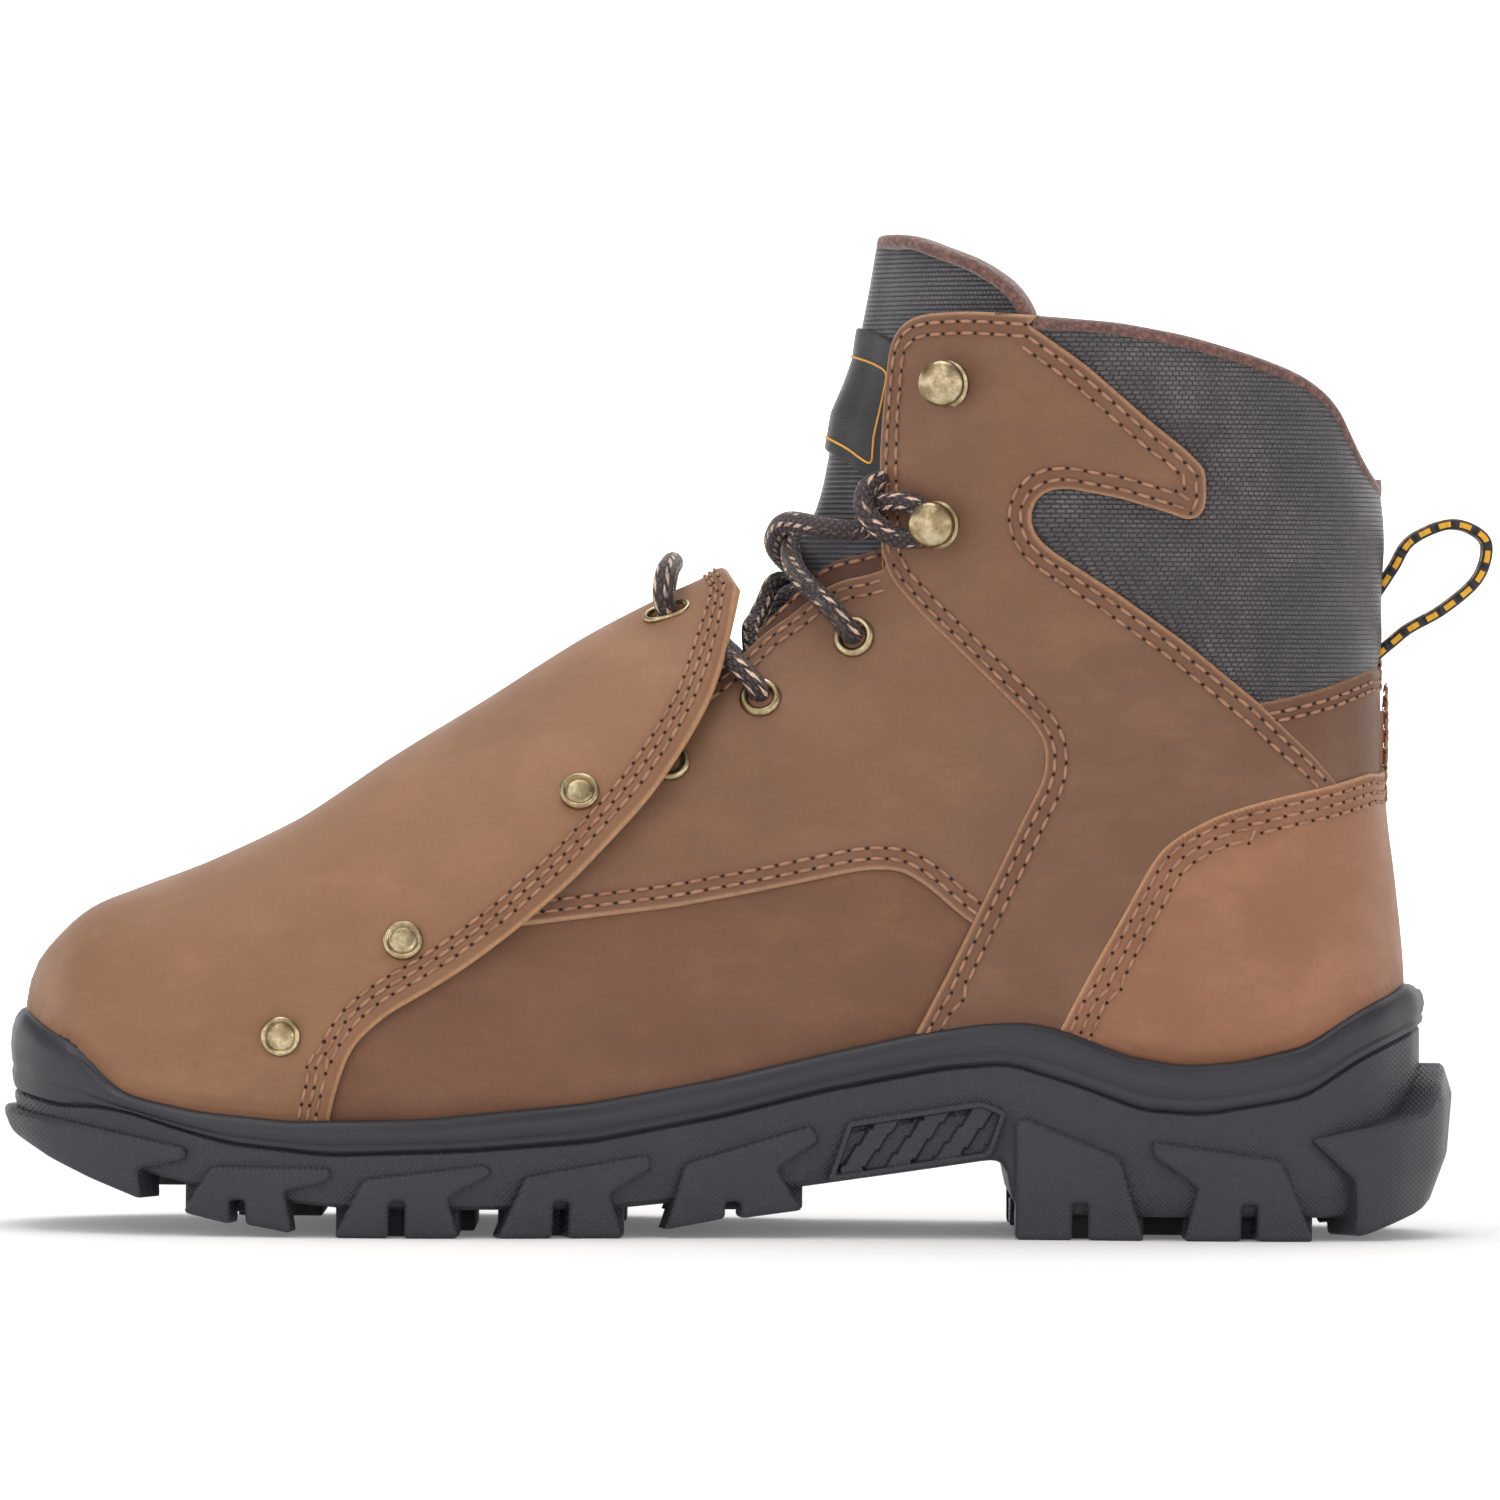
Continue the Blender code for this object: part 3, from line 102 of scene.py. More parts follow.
# Cross sections of the upper from the toe to above the tongue, each in a plane across the boot.
# Columns: name, top and bottom place along the boot as shares of BOOT_LENGTH, with their heights as shares of
# SHAFT_HEIGHT, inner and outer half width as shares of BALL_WIDTH, how far down from the top it is widest,
# and how square its upper and lower halves are, where 2 is an ellipse.
SECTIONS = (
    # name, top_x, top_z, low_x, low_z, medial, lateral, widest, upper_power, lower_power
    ("tip", -0.809, 0.230, -0.807, 0.125, 0.135, 0.010, 0.55, 2.40, 3.0),
    ("toe_front", -0.803, 0.273, -0.800, 0.115, 0.221, 0.106, 0.55, 2.40, 3.0),
    ("toe_round", -0.790, 0.302, -0.787, 0.105, 0.298, 0.192, 0.56, 2.40, 3.2),
    ("toe_side", -0.768, 0.333, -0.765, 0.092, 0.370, 0.274, 0.58, 2.40, 3.4),
    ("toe_box", -0.735, 0.355, -0.730, 0.077, 0.423, 0.346, 0.60, 2.40, 3.6),
    ("toe_cap", -0.686, 0.385, -0.679, 0.062, 0.462, 0.413, 0.62, 2.30, 3.8),
    ("vamp", -0.625, 0.432, -0.613, 0.055, 0.486, 0.462, 0.66, 2.15, 4.0),
    ("medial_ball", -0.559, 0.495, -0.540, 0.050, 0.500, 0.495, 0.68, 2.05, 4.0),
    ("lateral_ball", -0.492, 0.552, -0.460, 0.052, 0.476, 0.510, 0.69, 2.00, 4.0),
    ("waist", -0.425, 0.610, -0.368, 0.065, 0.428, 0.481, 0.70, 1.95, 3.8),
    ("instep", -0.371, 0.647, -0.273, 0.085, 0.375, 0.433, 0.71, 1.95, 3.4),
    ("arch", -0.332, 0.671, -0.171, 0.105, 0.346, 0.389, 0.72, 1.95, 3.0),
    ("throat", -0.300, 0.708, -0.063, 0.115, 0.337, 0.361, 0.73, 2.00, 2.8),
    ("seat", -0.284, 0.750, 0.044, 0.117, 0.341, 0.351, 0.74, 2.00, 2.6),
    ("heel_corner", -0.275, 0.780, 0.111, 0.135, 0.346, 0.351, 0.75, 2.05, 2.4),
    ("heel_low", -0.268, 0.807, 0.125, 0.205, 0.346, 0.351, 0.75, 2.05, 2.3),
    ("heel_mid", -0.263, 0.835, 0.125, 0.290, 0.346, 0.351, 0.74, 2.10, 2.2),
    ("heel_high", -0.259, 0.863, 0.119, 0.380, 0.351, 0.351, 0.72, 2.10, 2.2),
    ("ankle_low", -0.256, 0.890, 0.112, 0.470, 0.356, 0.356, 0.69, 2.10, 2.2),
    ("ankle", -0.252, 0.920, 0.112, 0.550, 0.365, 0.370, 0.65, 2.10, 2.2),
    ("shaft", -0.249, 0.950, 0.111, 0.625, 0.380, 0.385, 0.62, 2.10, 2.2),
    ("collar_low", -0.246, 0.985, 0.110, 0.690, 0.394, 0.399, 0.59, 2.10, 2.2),
    ("collar", -0.241, 1.030, 0.110, 0.760, 0.409, 0.413, 0.57, 2.10, 2.2),
    ("above_collar", -0.235, 1.090, 0.110, 0.850, 0.418, 0.423, 0.56, 2.10, 2.2),
    ("tongue_top", -0.227, 1.160, 0.108, 0.950, 0.423, 0.428, 0.55, 2.10, 2.2),
)

# The sole's outline from above. Columns: place as a share of BOOT_LENGTH, half widths as shares of SOLE_WIDTH
PLAN = (
    # place, medial, lateral
    (-0.821, 0.201, 0.083),
    (-0.805, 0.288, 0.192),
    (-0.778, 0.362, 0.279),
    (-0.740, 0.424, 0.354),
    (-0.686, 0.472, 0.424),
    (-0.625, 0.498, 0.467),
    (-0.559, 0.502, 0.498),
    (-0.492, 0.480, 0.511),
    (-0.413, 0.432, 0.485),
    (-0.317, 0.384, 0.437),
    (-0.222, 0.358, 0.402),
    (-0.111, 0.354, 0.380),
    (0.000, 0.358, 0.367),
    (0.070, 0.336, 0.341),
    (0.095, 0.305, 0.310),
    (0.118, 0.254, 0.259),
    (0.141, 0.148, 0.153),
)
PLAN_TIP = (-0.826, -0.061)
PLAN_HEEL = (0.149, 0.0)

# Lines along the sole seen from the side.
# Columns: place as a share of BOOT_LENGTH, height as a share of SOLE_HEIGHT.
RIM = (
    (-0.826, 1.010), (-0.805, 0.926), (-0.784, 0.872), (-0.770, 0.798), (-0.761, 0.723), (-0.749, 0.651),
    (-0.735, 0.621), (-0.694, 0.566), (-0.629, 0.528), (-0.537, 0.543), (-0.425, 0.617), (-0.337, 0.728),
    (-0.263, 0.849), (-0.206, 0.936), (-0.159, 0.987), (-0.127, 0.996), (-0.102, 0.962), (-0.057, 0.843),
    (-0.019, 0.804), (0.019, 0.823), (0.063, 0.894), (0.102, 1.053), (0.144, 1.164),
)
GROOVE = (
    (-0.829, 0.638), (-0.790, 0.574), (-0.762, 0.579), (-0.738, 0.553), (-0.708, 0.489), (-0.670, 0.421),
    (-0.603, 0.374), (-0.508, 0.396), (-0.425, 0.438), (-0.337, 0.553), (-0.263, 0.677), (-0.184, 0.779),
    (-0.140, 0.804), (-0.092, 0.706), (-0.048, 0.596), (-0.006, 0.579), (0.063, 0.660), (0.102, 0.830),
    (0.149, 0.972),
)
BASE = (
    (-0.829, 0.570), (-0.810, 0.480), (-0.778, 0.380), (-0.737, 0.287), (-0.692, 0.223), (-0.635, 0.160),
    (-0.587, 0.128), (-0.413, 0.128), (-0.333, 0.183), (-0.279, 0.234), (-0.210, 0.302), (-0.142, 0.372),
    (-0.134, 0.106), (0.105, 0.106), (0.149, 0.191), (0.175, 0.270),
)
TREAD = (
    (-0.836, 0.540), (-0.819, 0.426), (-0.795, 0.336), (-0.767, 0.253), (-0.731, 0.162), (-0.701, 0.106),
    (-0.656, 0.047), (-0.629, 0.021), (-0.597, 0.000), (-0.403, 0.000), (-0.371, 0.043), (-0.330, 0.089),
    (-0.273, 0.136), (-0.190, 0.136), (-0.140, 0.000), (0.089, 0.000), (0.108, 0.034), (0.138, 0.113),
    (0.159, 0.194), (0.178, 0.280),
)

# Edges of the panels seen from the side, as shares of BOOT_LENGTH along and SHAFT_HEIGHT up.
GUARD_EDGE = (
    (-0.604, 0.050), (-0.604, 0.126), (-0.597, 0.168), (-0.589, 0.204), (-0.566, 0.239), (-0.538, 0.264),
    (-0.511, 0.291), (-0.477, 0.332), (-0.438, 0.387), (-0.412, 0.431), (-0.385, 0.479), (-0.363, 0.532),
    (-0.345, 0.586), (-0.336, 0.636), (-0.332, 0.680), (-0.330, 0.706),
)
QUARTER_LOW = (
    (-0.483, 0.335), (-0.464, 0.338), (-0.422, 0.346), (-0.371, 0.356), (-0.320, 0.371), (-0.269, 0.388),
    (-0.239, 0.398), (-0.214, 0.398), (-0.196, 0.380), (-0.172, 0.347), (-0.127, 0.300),
)
SHAFT_FRONT = (
    (-0.229, 0.738), (-0.225, 0.713), (-0.199, 0.668), (-0.158, 0.607), (-0.127, 0.559), (-0.118, 0.543),
    (-0.115, 0.525), (-0.117, 0.495), (-0.126, 0.470), (-0.146, 0.403), (-0.181, 0.288), (-0.200, 0.229),
    (-0.219, 0.170),
)
COLLAR_FRONT = (
    (-0.131, 0.985), (-0.092, 0.942), (-0.046, 0.880), (-0.023, 0.852), (-0.009, 0.831), (-0.008, 0.797),
    (-0.011, 0.781), (-0.020, 0.775), (-0.031, 0.782), (-0.068, 0.799), (-0.103, 0.809), (-0.117, 0.807),
    (-0.126, 0.795), (-0.129, 0.778), (-0.125, 0.758), (-0.114, 0.742), (-0.068, 0.696), (-0.022, 0.645),
    (0.030, 0.580),
)
SHAFT_BACK = ((0.030, 0.580), (0.050, 0.550), (0.069, 0.523), (0.085, 0.495))
COLLAR_LOW = ((0.030, 0.580), (0.050, 0.586), (0.077, 0.597), (0.096, 0.608), (0.119, 0.623), (0.159, 0.650))
COUNTER_EDGE = (
    (0.159, 0.525), (0.122, 0.509), (0.085, 0.493), (0.050, 0.481), (0.026, 0.471), (0.006, 0.461),
    (-0.007, 0.452), (-0.028, 0.433), (-0.039, 0.417), (-0.046, 0.398), (-0.064, 0.345), (-0.083, 0.292),
    (-0.103, 0.231), (-0.124, 0.160),
)
MOUTH = (
    (-0.476, 0.580), (-0.463, 0.562), (-0.375, 0.570), (-0.324, 0.630), (-0.310, 0.652), (-0.290, 0.674),
    (-0.272, 0.698), (-0.257, 0.710), (-0.240, 0.715), (-0.229, 0.721), (-0.231, 0.767), (-0.232, 0.847),
    (-0.230, 0.895), (-0.226, 0.966), (-0.220, 0.985), (-0.208, 0.997), (-0.173, 1.000), (-0.125, 0.995),
    (-0.069, 0.988), (-0.023, 0.975), (0.023, 0.954), (0.057, 0.934), (0.078, 0.907), (0.092, 0.858),
    (0.104, 0.825), (0.119, 0.803), (0.165, 0.785),
)
TONGUE_EDGE = (
    (-0.222, 1.084), (-0.209, 1.086), (-0.197, 1.077), (-0.165, 1.058), (-0.141, 1.033), (-0.127, 0.998),
    (-0.137, 0.950), (-0.165, 0.825), (-0.197, 0.715), (-0.254, 0.620), (-0.333, 0.550), (-0.429, 0.485),
)

# Side blocks of the tread seen from the side, as shares of BOOT_LENGTH along and SOLE_HEIGHT up, with how far in
# from the side each reaches as a share of SOLE_WIDTH.
BLOCKS = (
    # name, reach, outline
    ("fore_1", 0.24, (
        (-0.682, 0.319), (-0.601, 0.319), (-0.601, 0.260), (-0.632, 0.211), (-0.627, -0.106),
        (-0.701, -0.106), (-0.701, 0.117))),
    ("fore_2", 0.24, (
        (-0.579, 0.268), (-0.495, 0.338), (-0.491, 0.296), (-0.522, 0.187), (-0.514, -0.106),
        (-0.598, -0.106), (-0.598, 0.011))),
    ("fore_3", 0.24, (
        (-0.470, 0.281), (-0.385, 0.385), (-0.384, 0.317), (-0.412, 0.204), (-0.402, -0.106),
        (-0.488, -0.106), (-0.487, 0.006))),
    ("fore_4", 0.22, (
        (-0.361, 0.340), (-0.274, 0.519), (-0.269, 0.445), (-0.298, 0.319), (-0.280, -0.106),
        (-0.375, -0.106), (-0.373, 0.053))),
    ("heel_1", 0.20, (
        (-0.135, 0.540), (-0.128, 0.560), (-0.063, 0.381), (-0.046, -0.106), (-0.134, -0.106))),
    ("heel_2", 0.20, (
        (-0.041, 0.460), (0.047, 0.374), (0.070, -0.106), (-0.019, -0.106), (-0.010, 0.245),
        (-0.041, 0.389))),
)
ARCH_PLATE = ((-0.250, 0.538), (-0.158, 0.638), (-0.140, 0.589), (-0.151, 0.377), (-0.264, 0.257))
# The blocks that run round an end of the sole: the top edge from the end, and the edge down the side.
END_BLOCKS = {
    "toe": (
        ((-0.826, 0.560), (-0.789, 0.521)),
        ((-0.789, 0.521), (-0.699, 0.400), (-0.699, 0.351), (-0.732, 0.302), (-0.731, 0.16))),
    "heel_cup": (
        ((0.149, 0.800), (0.146, 0.766), (0.131, 0.585), (0.104, 0.526)),
        ((0.104, 0.526), (0.067, 0.468), (0.095, 0.285), (0.099, 0.032), (0.100, 0.02))),
}
# Tread blocks down the middle.
# Columns: front and back as shares of BOOT_LENGTH, half width as a share of SOLE_WIDTH.
MIDDLE_BLOCKS = (
    # front, back, half_width
    (-0.745, -0.700, 0.150),
    (-0.668, -0.610, 0.175),
    (-0.575, -0.505, 0.185),
    (-0.468, -0.408, 0.175),
    (-0.368, -0.312, 0.140),
    (-0.100, 0.065, 0.125),
)

# Places of the fittings on the side of the boot, as shares of BOOT_LENGTH along and SHAFT_HEIGHT up.
RIVETS = ((-0.637, 0.214), (-0.555, 0.317), (-0.436, 0.477))
EYELETS = ((-0.374, 0.511), (-0.311, 0.581), (-0.247, 0.648))
HOOKS = (("lower", -0.192, 0.770), ("upper", -0.186, 0.922))
SLOT_SECTION = 10.02
SLOT_ANGLE = 0.245
LOOP_ROUTE = (
    (0.1265, 0.728), (0.138, 0.757), (0.162, 0.775), (0.180, 0.771), (0.191, 0.753), (0.185, 0.717),
    (0.162, 0.684), (0.138, 0.662), (0.1262, 0.647),
)

# The lace over the guard, from slot to slot.
# Columns: share of SLOT_ANGLE, height over the guard in metres, how far back it bows, in sections.
GUARD_BAR = (
    (-1.02, -0.0040, 0.0), (-1.0, 0.0010, 0.0), (-0.96, 0.0040, 0.03), (-0.72, 0.0066, 0.16),
    (-0.26, 0.0060, 0.28), (0.26, 0.0060, 0.28), (0.72, 0.0066, 0.16), (0.96, 0.0040, 0.03),
    (1.0, 0.0010, 0.0), (1.02, -0.0040, 0.0),
)

# Lines that only the looks need, as shares of BOOT_LENGTH along and SHAFT_HEIGHT up
QUARTER_UNDER_SHAFT = (
    (-0.127, 0.300), (-0.100, 0.450), (-0.098, 0.560), (-0.190, 0.700), (-0.222, 0.742), (-0.229, 0.721),
)
QUARTER_UNDER_GUARD = ((-0.476, 0.580), (-0.455, 0.470), (-0.483, 0.335))
BACKSTAY_TOP = (
    (0.022, 0.577), (0.030, 0.580), (0.050, 0.586), (0.077, 0.597), (0.096, 0.608), (0.119, 0.623), (0.127, 0.628),
)
BACKSTAY_LOW = ((0.022, 0.440), (0.140, 0.440))
COLLAR_UNDER = ((-0.150, 0.998), (-0.152, 0.800), (-0.142, 0.740), (-0.030, 0.610), (0.020, 0.550))
COLLAR_UNDER_LOW = ((0.020, 0.550), (0.140, 0.600))
BELOW_COLLAR = ((0.170, 0.650), (0.170, 0.440), (0.030, 0.440))
GUSSET_START = -0.315
GUSSET_WIDTH = 0.0046
GUSSET_OUT = 0.0004
GUSSET_WALL = 0.0016
LINING_LOW = ((-0.223, 0.760), (-0.150, 0.620), (0.000, 0.560), (0.140, 0.600))

# Flex creases shared by the whole upper. Ends are (section, angle), width and depth in metres.
CREASES = (
    # side, start, end, width, depth
    (-1, (9.6, 1.55), (11.2, 1.95), 0.0060, 0.00045),
    (-1, (12.9, 1.15), (14.6, 1.45), 0.0070, 0.00040),
    (-1, (17.6, 1.30), (18.6, 1.95), 0.0080, 0.00050),
    (1, (9.4, 1.50), (11.0, 1.90), 0.0060, 0.00045),
    (1, (12.8, 1.10), (14.5, 1.50), 0.0070, 0.00040),
    (1, (17.5, 1.30), (18.5, 1.90), 0.0080, 0.00050),
)

# The lace from the second eyelet across to the third, and across again to the hook on its own side.
# Columns: section, angle, height over the skin in metres.
LACE_RUN = (
    (10.91, -0.66, -0.0060), (11.00, -0.45, -0.0065), (11.15, -0.15, -0.0060), (11.3, 0.0, -0.0052),
    (11.6, 0.10, -0.0026), (11.95, 0.15, 0.0), (12.2, 0.26, -0.0004), (12.45, 0.42, -0.0030),
    (12.60, 0.55, -0.0055), (12.63, 0.63, -0.0050), (12.63, 0.63, 0.0),
    (12.64, 0.62, 0.0048), (12.66, 0.55, 0.0068), (12.58, 0.38, 0.0058), (12.62, 0.17, 0.0050),
    (12.95, 0.0, 0.0046), (13.5, -0.13, 0.0044), (14.2, -0.34, 0.0044), (15.1, -0.47, 0.0042),
)
# Round the lower hook, seen from the side. Columns: x, z, height over the skin, all in metres.
HOOK_WRAP = (
    (-0.0752, 0.1566, 0.0042), (-0.0717, 0.1584, 0.0058), (-0.0678, 0.1589, 0.0064),
    (-0.0645, 0.1578, 0.0062), (-0.0612, 0.1560, 0.0058), (-0.0594, 0.1550, 0.0058),
    (-0.0591, 0.1538, 0.0058), (-0.0597, 0.1526, 0.0058), (-0.0617, 0.1516, 0.0060),
    (-0.0655, 0.1509, 0.0066), (-0.0699, 0.1515, 0.0080), (-0.0742, 0.1545, 0.0096),
    (-0.0761, 0.1582, 0.0096), (-0.0754, 0.1616, 0.0074), (-0.0730, 0.1632, 0.0036),
    (-0.0702, 0.1640, -0.0008),
)
HOOK_SHIFT = 0.0004
HOOK_LEAN = 0.22
# Where the two runs cross, one is lifted and the other lowered, up to an angle off the middle.
LACE_OVER = 0.0012
LACE_UNDER = 0.0030
LACE_CROSSING_ANGLE = 0.36
LACE_STEP = 0.0006
BRAID_PITCH = 0.0012

# Where the pull loop's ends go on down inside the collar
LOOP_INSIDE = ((0.1150, 0.700), (0.1150, 0.632))

# The lace between the second eyelets, under the guard's back edge.
# Columns: section, angle, height over the skin in metres.
LACE_LOW = (
    (10.91, -0.66, -0.0050), (10.91, -0.66, 0.0005), (10.88, -0.64, 0.0046), (10.74, -0.56, 0.0060),
    (10.58, -0.45, 0.0052), (10.46, -0.28, 0.0042), (10.42, 0.0, 0.0040), (10.46, 0.28, 0.0042),
    (10.58, 0.45, 0.0052), (10.74, 0.56, 0.0060), (10.88, 0.64, 0.0046), (10.91, 0.66, 0.0005),
    (10.91, 0.66, -0.0050),
)

# Padding, label and ribs
COLLAR_LOW_HEIGHT = 0.0012
COLLAR_PUFF = 0.0021
COLLAR_SOFTNESS = 0.0050
LINING_PUFF = 0.0032
LINING_START = 60
BINDING_HEIGHT = 0.0031
# Columns: low section, high section, half its width as an angle
LABEL = (16.5, 21.0, 0.50)
LABEL_HEIGHT = 0.0012
LABEL_ROUND = 6.0
LABEL_POINTS = 42
LABEL_SINK = 0.0004
LABEL_BORDER = (17.0, 20.1, 0.43)
# How much further the tongue stands forward behind the laces. Columns: section, distance in metres.
TONGUE_SWELL = (
    (10.3, 0.0), (10.8, -0.0070), (11.4, -0.0066), (12.0, -0.0030), (12.5, 0.0012), (13, 0.0020), (14, 0.0012),
    (15.6, 0.0020), (17, 0.0025), (18, 0.0025), (19, 0.0013), (20, 0.0002), (25, 0.0),
)
RIB_PITCH = 0.0075

# Stitch rows of the panels, as distances from their edges
STITCH_SINK = 0.00016
GUARD_ROWS = (0.0028, 0.0046, 0.0064)
QUARTER_ROWS = (0.0022, 0.0045)
SHAFT_ROWS = (0.0021, 0.0046)
COUNTER_ROWS = (0.0020, 0.0042, 0.0064)
BACKSTAY_ROWS = (0.0026, 0.0044)
GUSSET_ROW = 0.0014

# A tread block's outer face: shares of the way down it, and how far out it stands there as shares of its step
LUG_DOWN = (0.0, 0.10, 0.16, 0.38, 0.72, 1.0)
LUG_OUT = (-0.5, 0.35, 0.62, 1.0, 0.86, 0.30)
# The heel cup's bulge begins at a place along the boot and is full after a run, as shares of BOOT_LENGTH.
CUP_START = 0.067
CUP_RUN = 0.082

# The sole's walls, row by row. Columns: share of the way from the groove to the rim, or to the base for the
# outsole, then rise and distance out in metres.
MIDSOLE_ROWS = (
    (0, 0.0008, -0.0085), (0, 0.0003, -0.0032), (0, 0.0002, -0.0009), (0, 0.0007, -0.0001), (0.12, 0.0, 0.0003),
    (0.22, 0.0, 0.0005), (0.30, 0.0, 0.0002), (0.36, 0.0, 0.0005), (0.55, 0.0, 0.0008), (0.75, 0.0, 0.0005),
    (0.88, 0.0, -0.0002), (1, -0.0012, -0.0008), (1, -0.0005, -0.0014), (1, -0.0001, -0.0022),
    (1, 0.0, -0.0032), (1, -0.0004, -0.0048), (1, -0.0018, -0.0085),
)
OUTSOLE_ROWS = (
    (1, 0.0020, -0.0100), (0, 0.0001, -0.0090), (0, 0.0001, -0.0009), (0, -0.0004, -0.0003), (0.2, 0.0, -0.0002),
    (0.5, 0.0, -0.0002), (0.75, 0.0, -0.0005), (0.92, 0.0, -0.0010), (0.98, 0.0, -0.0020), (1, 0.0, -0.0040),
)

# The photograph's frame: its middle at (x, z), its width on the boot's middle plane, and its slight roll
FRAME_CENTRE = (-0.1003, 0.1046)
FRAME_WIDTH = 0.32775
CAMERA_ROLL = 0.00838
# Degrees
CAMERA_ELEVATION = 0.6
LENS = 300.0
SENSOR_WIDTH = 36.0
LIGHTS = (
    # name, place, aim, size, power
    ("key", (-0.9, -1.5, 1.5), (-0.10, 0.0, 0.09), (1.4, 1.4), 9.0),
    ("fill", (1.1, -1.6, 0.9), (-0.10, 0.0, 0.09), (1.2, 1.2), 3.4),
    ("top", (-0.2, 0.1, 1.9), (-0.10, 0.0, 0.09), (1.6, 1.2), 21.0),
    ("back", (0.2, 1.2, 1.3), (-0.10, 0.0, 0.09), (2.0, 1.0), 8.0),
)
WORLD_STRENGTH = 0.27
FLOOR_COLOUR = (0.88, 0.88, 0.88, 1.0)
# The floor is a wide bowl, whose glow rises between two distances from the boot.
BOWL_RADIUS = 7.0
BOWL_HEIGHT = 2.6
BOWL_BEND = 1.0
BOWL_SEGMENTS = 96
FLOOR_GLOW = 0.12
WALL_GLOW = 0.8
GLOW_REACH = (0.8, 2.4)

SIDES = {"medial": -1, "lateral": 1}

# How fine the meshes are, and how near their points may come to each other
EDGE_STEP = 0.0012
NEAREST_SHARE = 0.35
FURTHEST_SHARE = 1.5
INSET_STEP = 0.0008
SKIN_STEP = 0.0022
FINE_STEP = 0.0005
END_STEP = 0.0008
RING_STEP = 0.00025
MERGE_DISTANCE = 0.000004
# The distance between rows of an even grid of triangles, as a share of its step
ROW_SHARE = 0.87
ROUND_ANGLES = 1441
# How often a search over the skin is repeated, and how much of what is left each step of the second one takes
HALVINGS = 36
SEAT_STEPS = 8
SEAT_SHARE = 0.8

# How far the panels go down inside the sole's rim
SINK = 0.0035

# Stitches, and the heights of the panels' outer faces over the upper
STITCH_PITCH = 0.0040
STITCH_LENGTH = 0.0031
STITCH_RADIUS = 0.00036
STITCH_BOW = 0.00030
STITCH_GROOVE = 0.00055
ROW_HALF_WIDTH = 0.0006
# Flat dark dots at the needle holes, which stand for the shade in them: painted shade
HOLE_LENGTH = 0.00080
HOLE_RADIUS = 0.00032
HOLE_FLATNESS = 0.45
STITCH_AHEAD = 0.0006
QUARTER_OUT = 0.0019
BACKSTAY_OUT = 0.0021
SHAFT_OUT = 0.0027
COUNTER_OUT = 0.0034


# Last shape


def lengths_along(points):
    """The distance along a line at each of its points."""
    return np.concatenate(([0], np.cumsum(np.linalg.norm(np.diff(points, axis=0), axis=1))))


def spline(rows, at):
    """Values of a Catmull-Rom curve through evenly spaced rows, at an array of row numbers."""
    rows = np.asarray(rows, float)
    last = len(rows) - 1
    at = np.clip(at, 0, last - 1e-9)
    row = at.astype(int)
    step = (at - row)[:, None]
    before, here, after, beyond = (rows[np.clip(row + k, 0, last)] for k in (-1, 0, 1, 2))
    return 0.5 * (
        2 * here
        + (after - before) * step
        + (2 * before - 5 * here + 4 * after - beyond) * step**2
        + (3 * here - before - 3 * after + beyond) * step**3
    )


SECTION_SIZES = (
    BOOT_LENGTH, SHAFT_HEIGHT, BOOT_LENGTH, SHAFT_HEIGHT, BALL_WIDTH, BALL_WIDTH, 1.0, 1.0, 1.0,
)
SECTION_ROWS = np.array([row[1:] for row in SECTIONS]) * SECTION_SIZES
LAST_SECTION = len(SECTIONS) - 1


def skin(at, angle):
    """Points of the upper's outer skin, by section number and angle from the top, positive to the outer side."""
    at, angle = np.atleast_1d(at).astype(float), np.atleast_1d(angle).astype(float)
    top_x, top_z, low_x, low_z, medial, lateral, widest, upper_power, lower_power = spline(SECTION_ROWS, at).T
    up, side = np.cos(angle), np.sin(angle)
    power = 2 / np.where(up >= 0, upper_power, lower_power)
    lift = np.abs(up) ** power
    down = np.where(up >= 0, widest * (1 - lift), widest + (1 - widest) * lift)
    x = top_x + (low_x - top_x) * down
    y = (lateral - medial) / 2 + (lateral + medial) / 2 * np.sign(side) * np.abs(side) ** power
    z = top_z + (low_z - top_z) * down
    return np.stack((x, y, z), 1)


def unit(vectors):
    """Rows of vectors brought to length one."""
    return vectors / np.maximum(np.linalg.norm(vectors, axis=1, keepdims=True), 1e-12)


def skin_slopes(at, angle):
    """How the skin's points move with section number and with angle."""
    reach, turn = 0.12, 0.10
    low, high = np.maximum(at - reach, 0), np.minimum(at + reach, LAST_SECTION)
    along = (skin(high, angle) - skin(low, angle)) / (high - low)[:, None]
    round_it = (skin(at, angle + turn) - skin(at, angle - turn)) / (2 * turn)
    return along, round_it


def skin_normals(at, angle):
    """Which way the skin faces."""
    return unit(np.cross(*skin_slopes(at, angle)))


def relief(at, angle):
    """The soft flex creases that the whole upper shares, as a distance out of the skin."""
    out = np.zeros(len(at))
    points = skin(at, angle)
    for side, start, end, width, depth in CREASES:
        ends = [skin(place[0], place[1] * side)[0] for place in (start, end)]
        line = ends[1] - ends[0]
        share = np.clip((points - ends[0]) @ line / (line @ line), 0, 1)
        gap = np.linalg.norm(points - ends[0] - share[:, None] * line, axis=1)
        fade = np.sin(pi * np.clip(share * 0.9 + 0.05, 0, 1))
        across = gap / width
        out += depth * fade * (0.45 * np.exp(-((across - 1.6) ** 2)) - np.exp(-(across**2)))
    return out


def placed(at, angle, offset):
    """Points at a distance out from the skin."""
    at, angle = np.atleast_1d(at).astype(float), np.atleast_1d(angle).astype(float)
    return skin(at, angle) + skin_normals(at, angle) * (offset + relief(at, angle))[:, None]


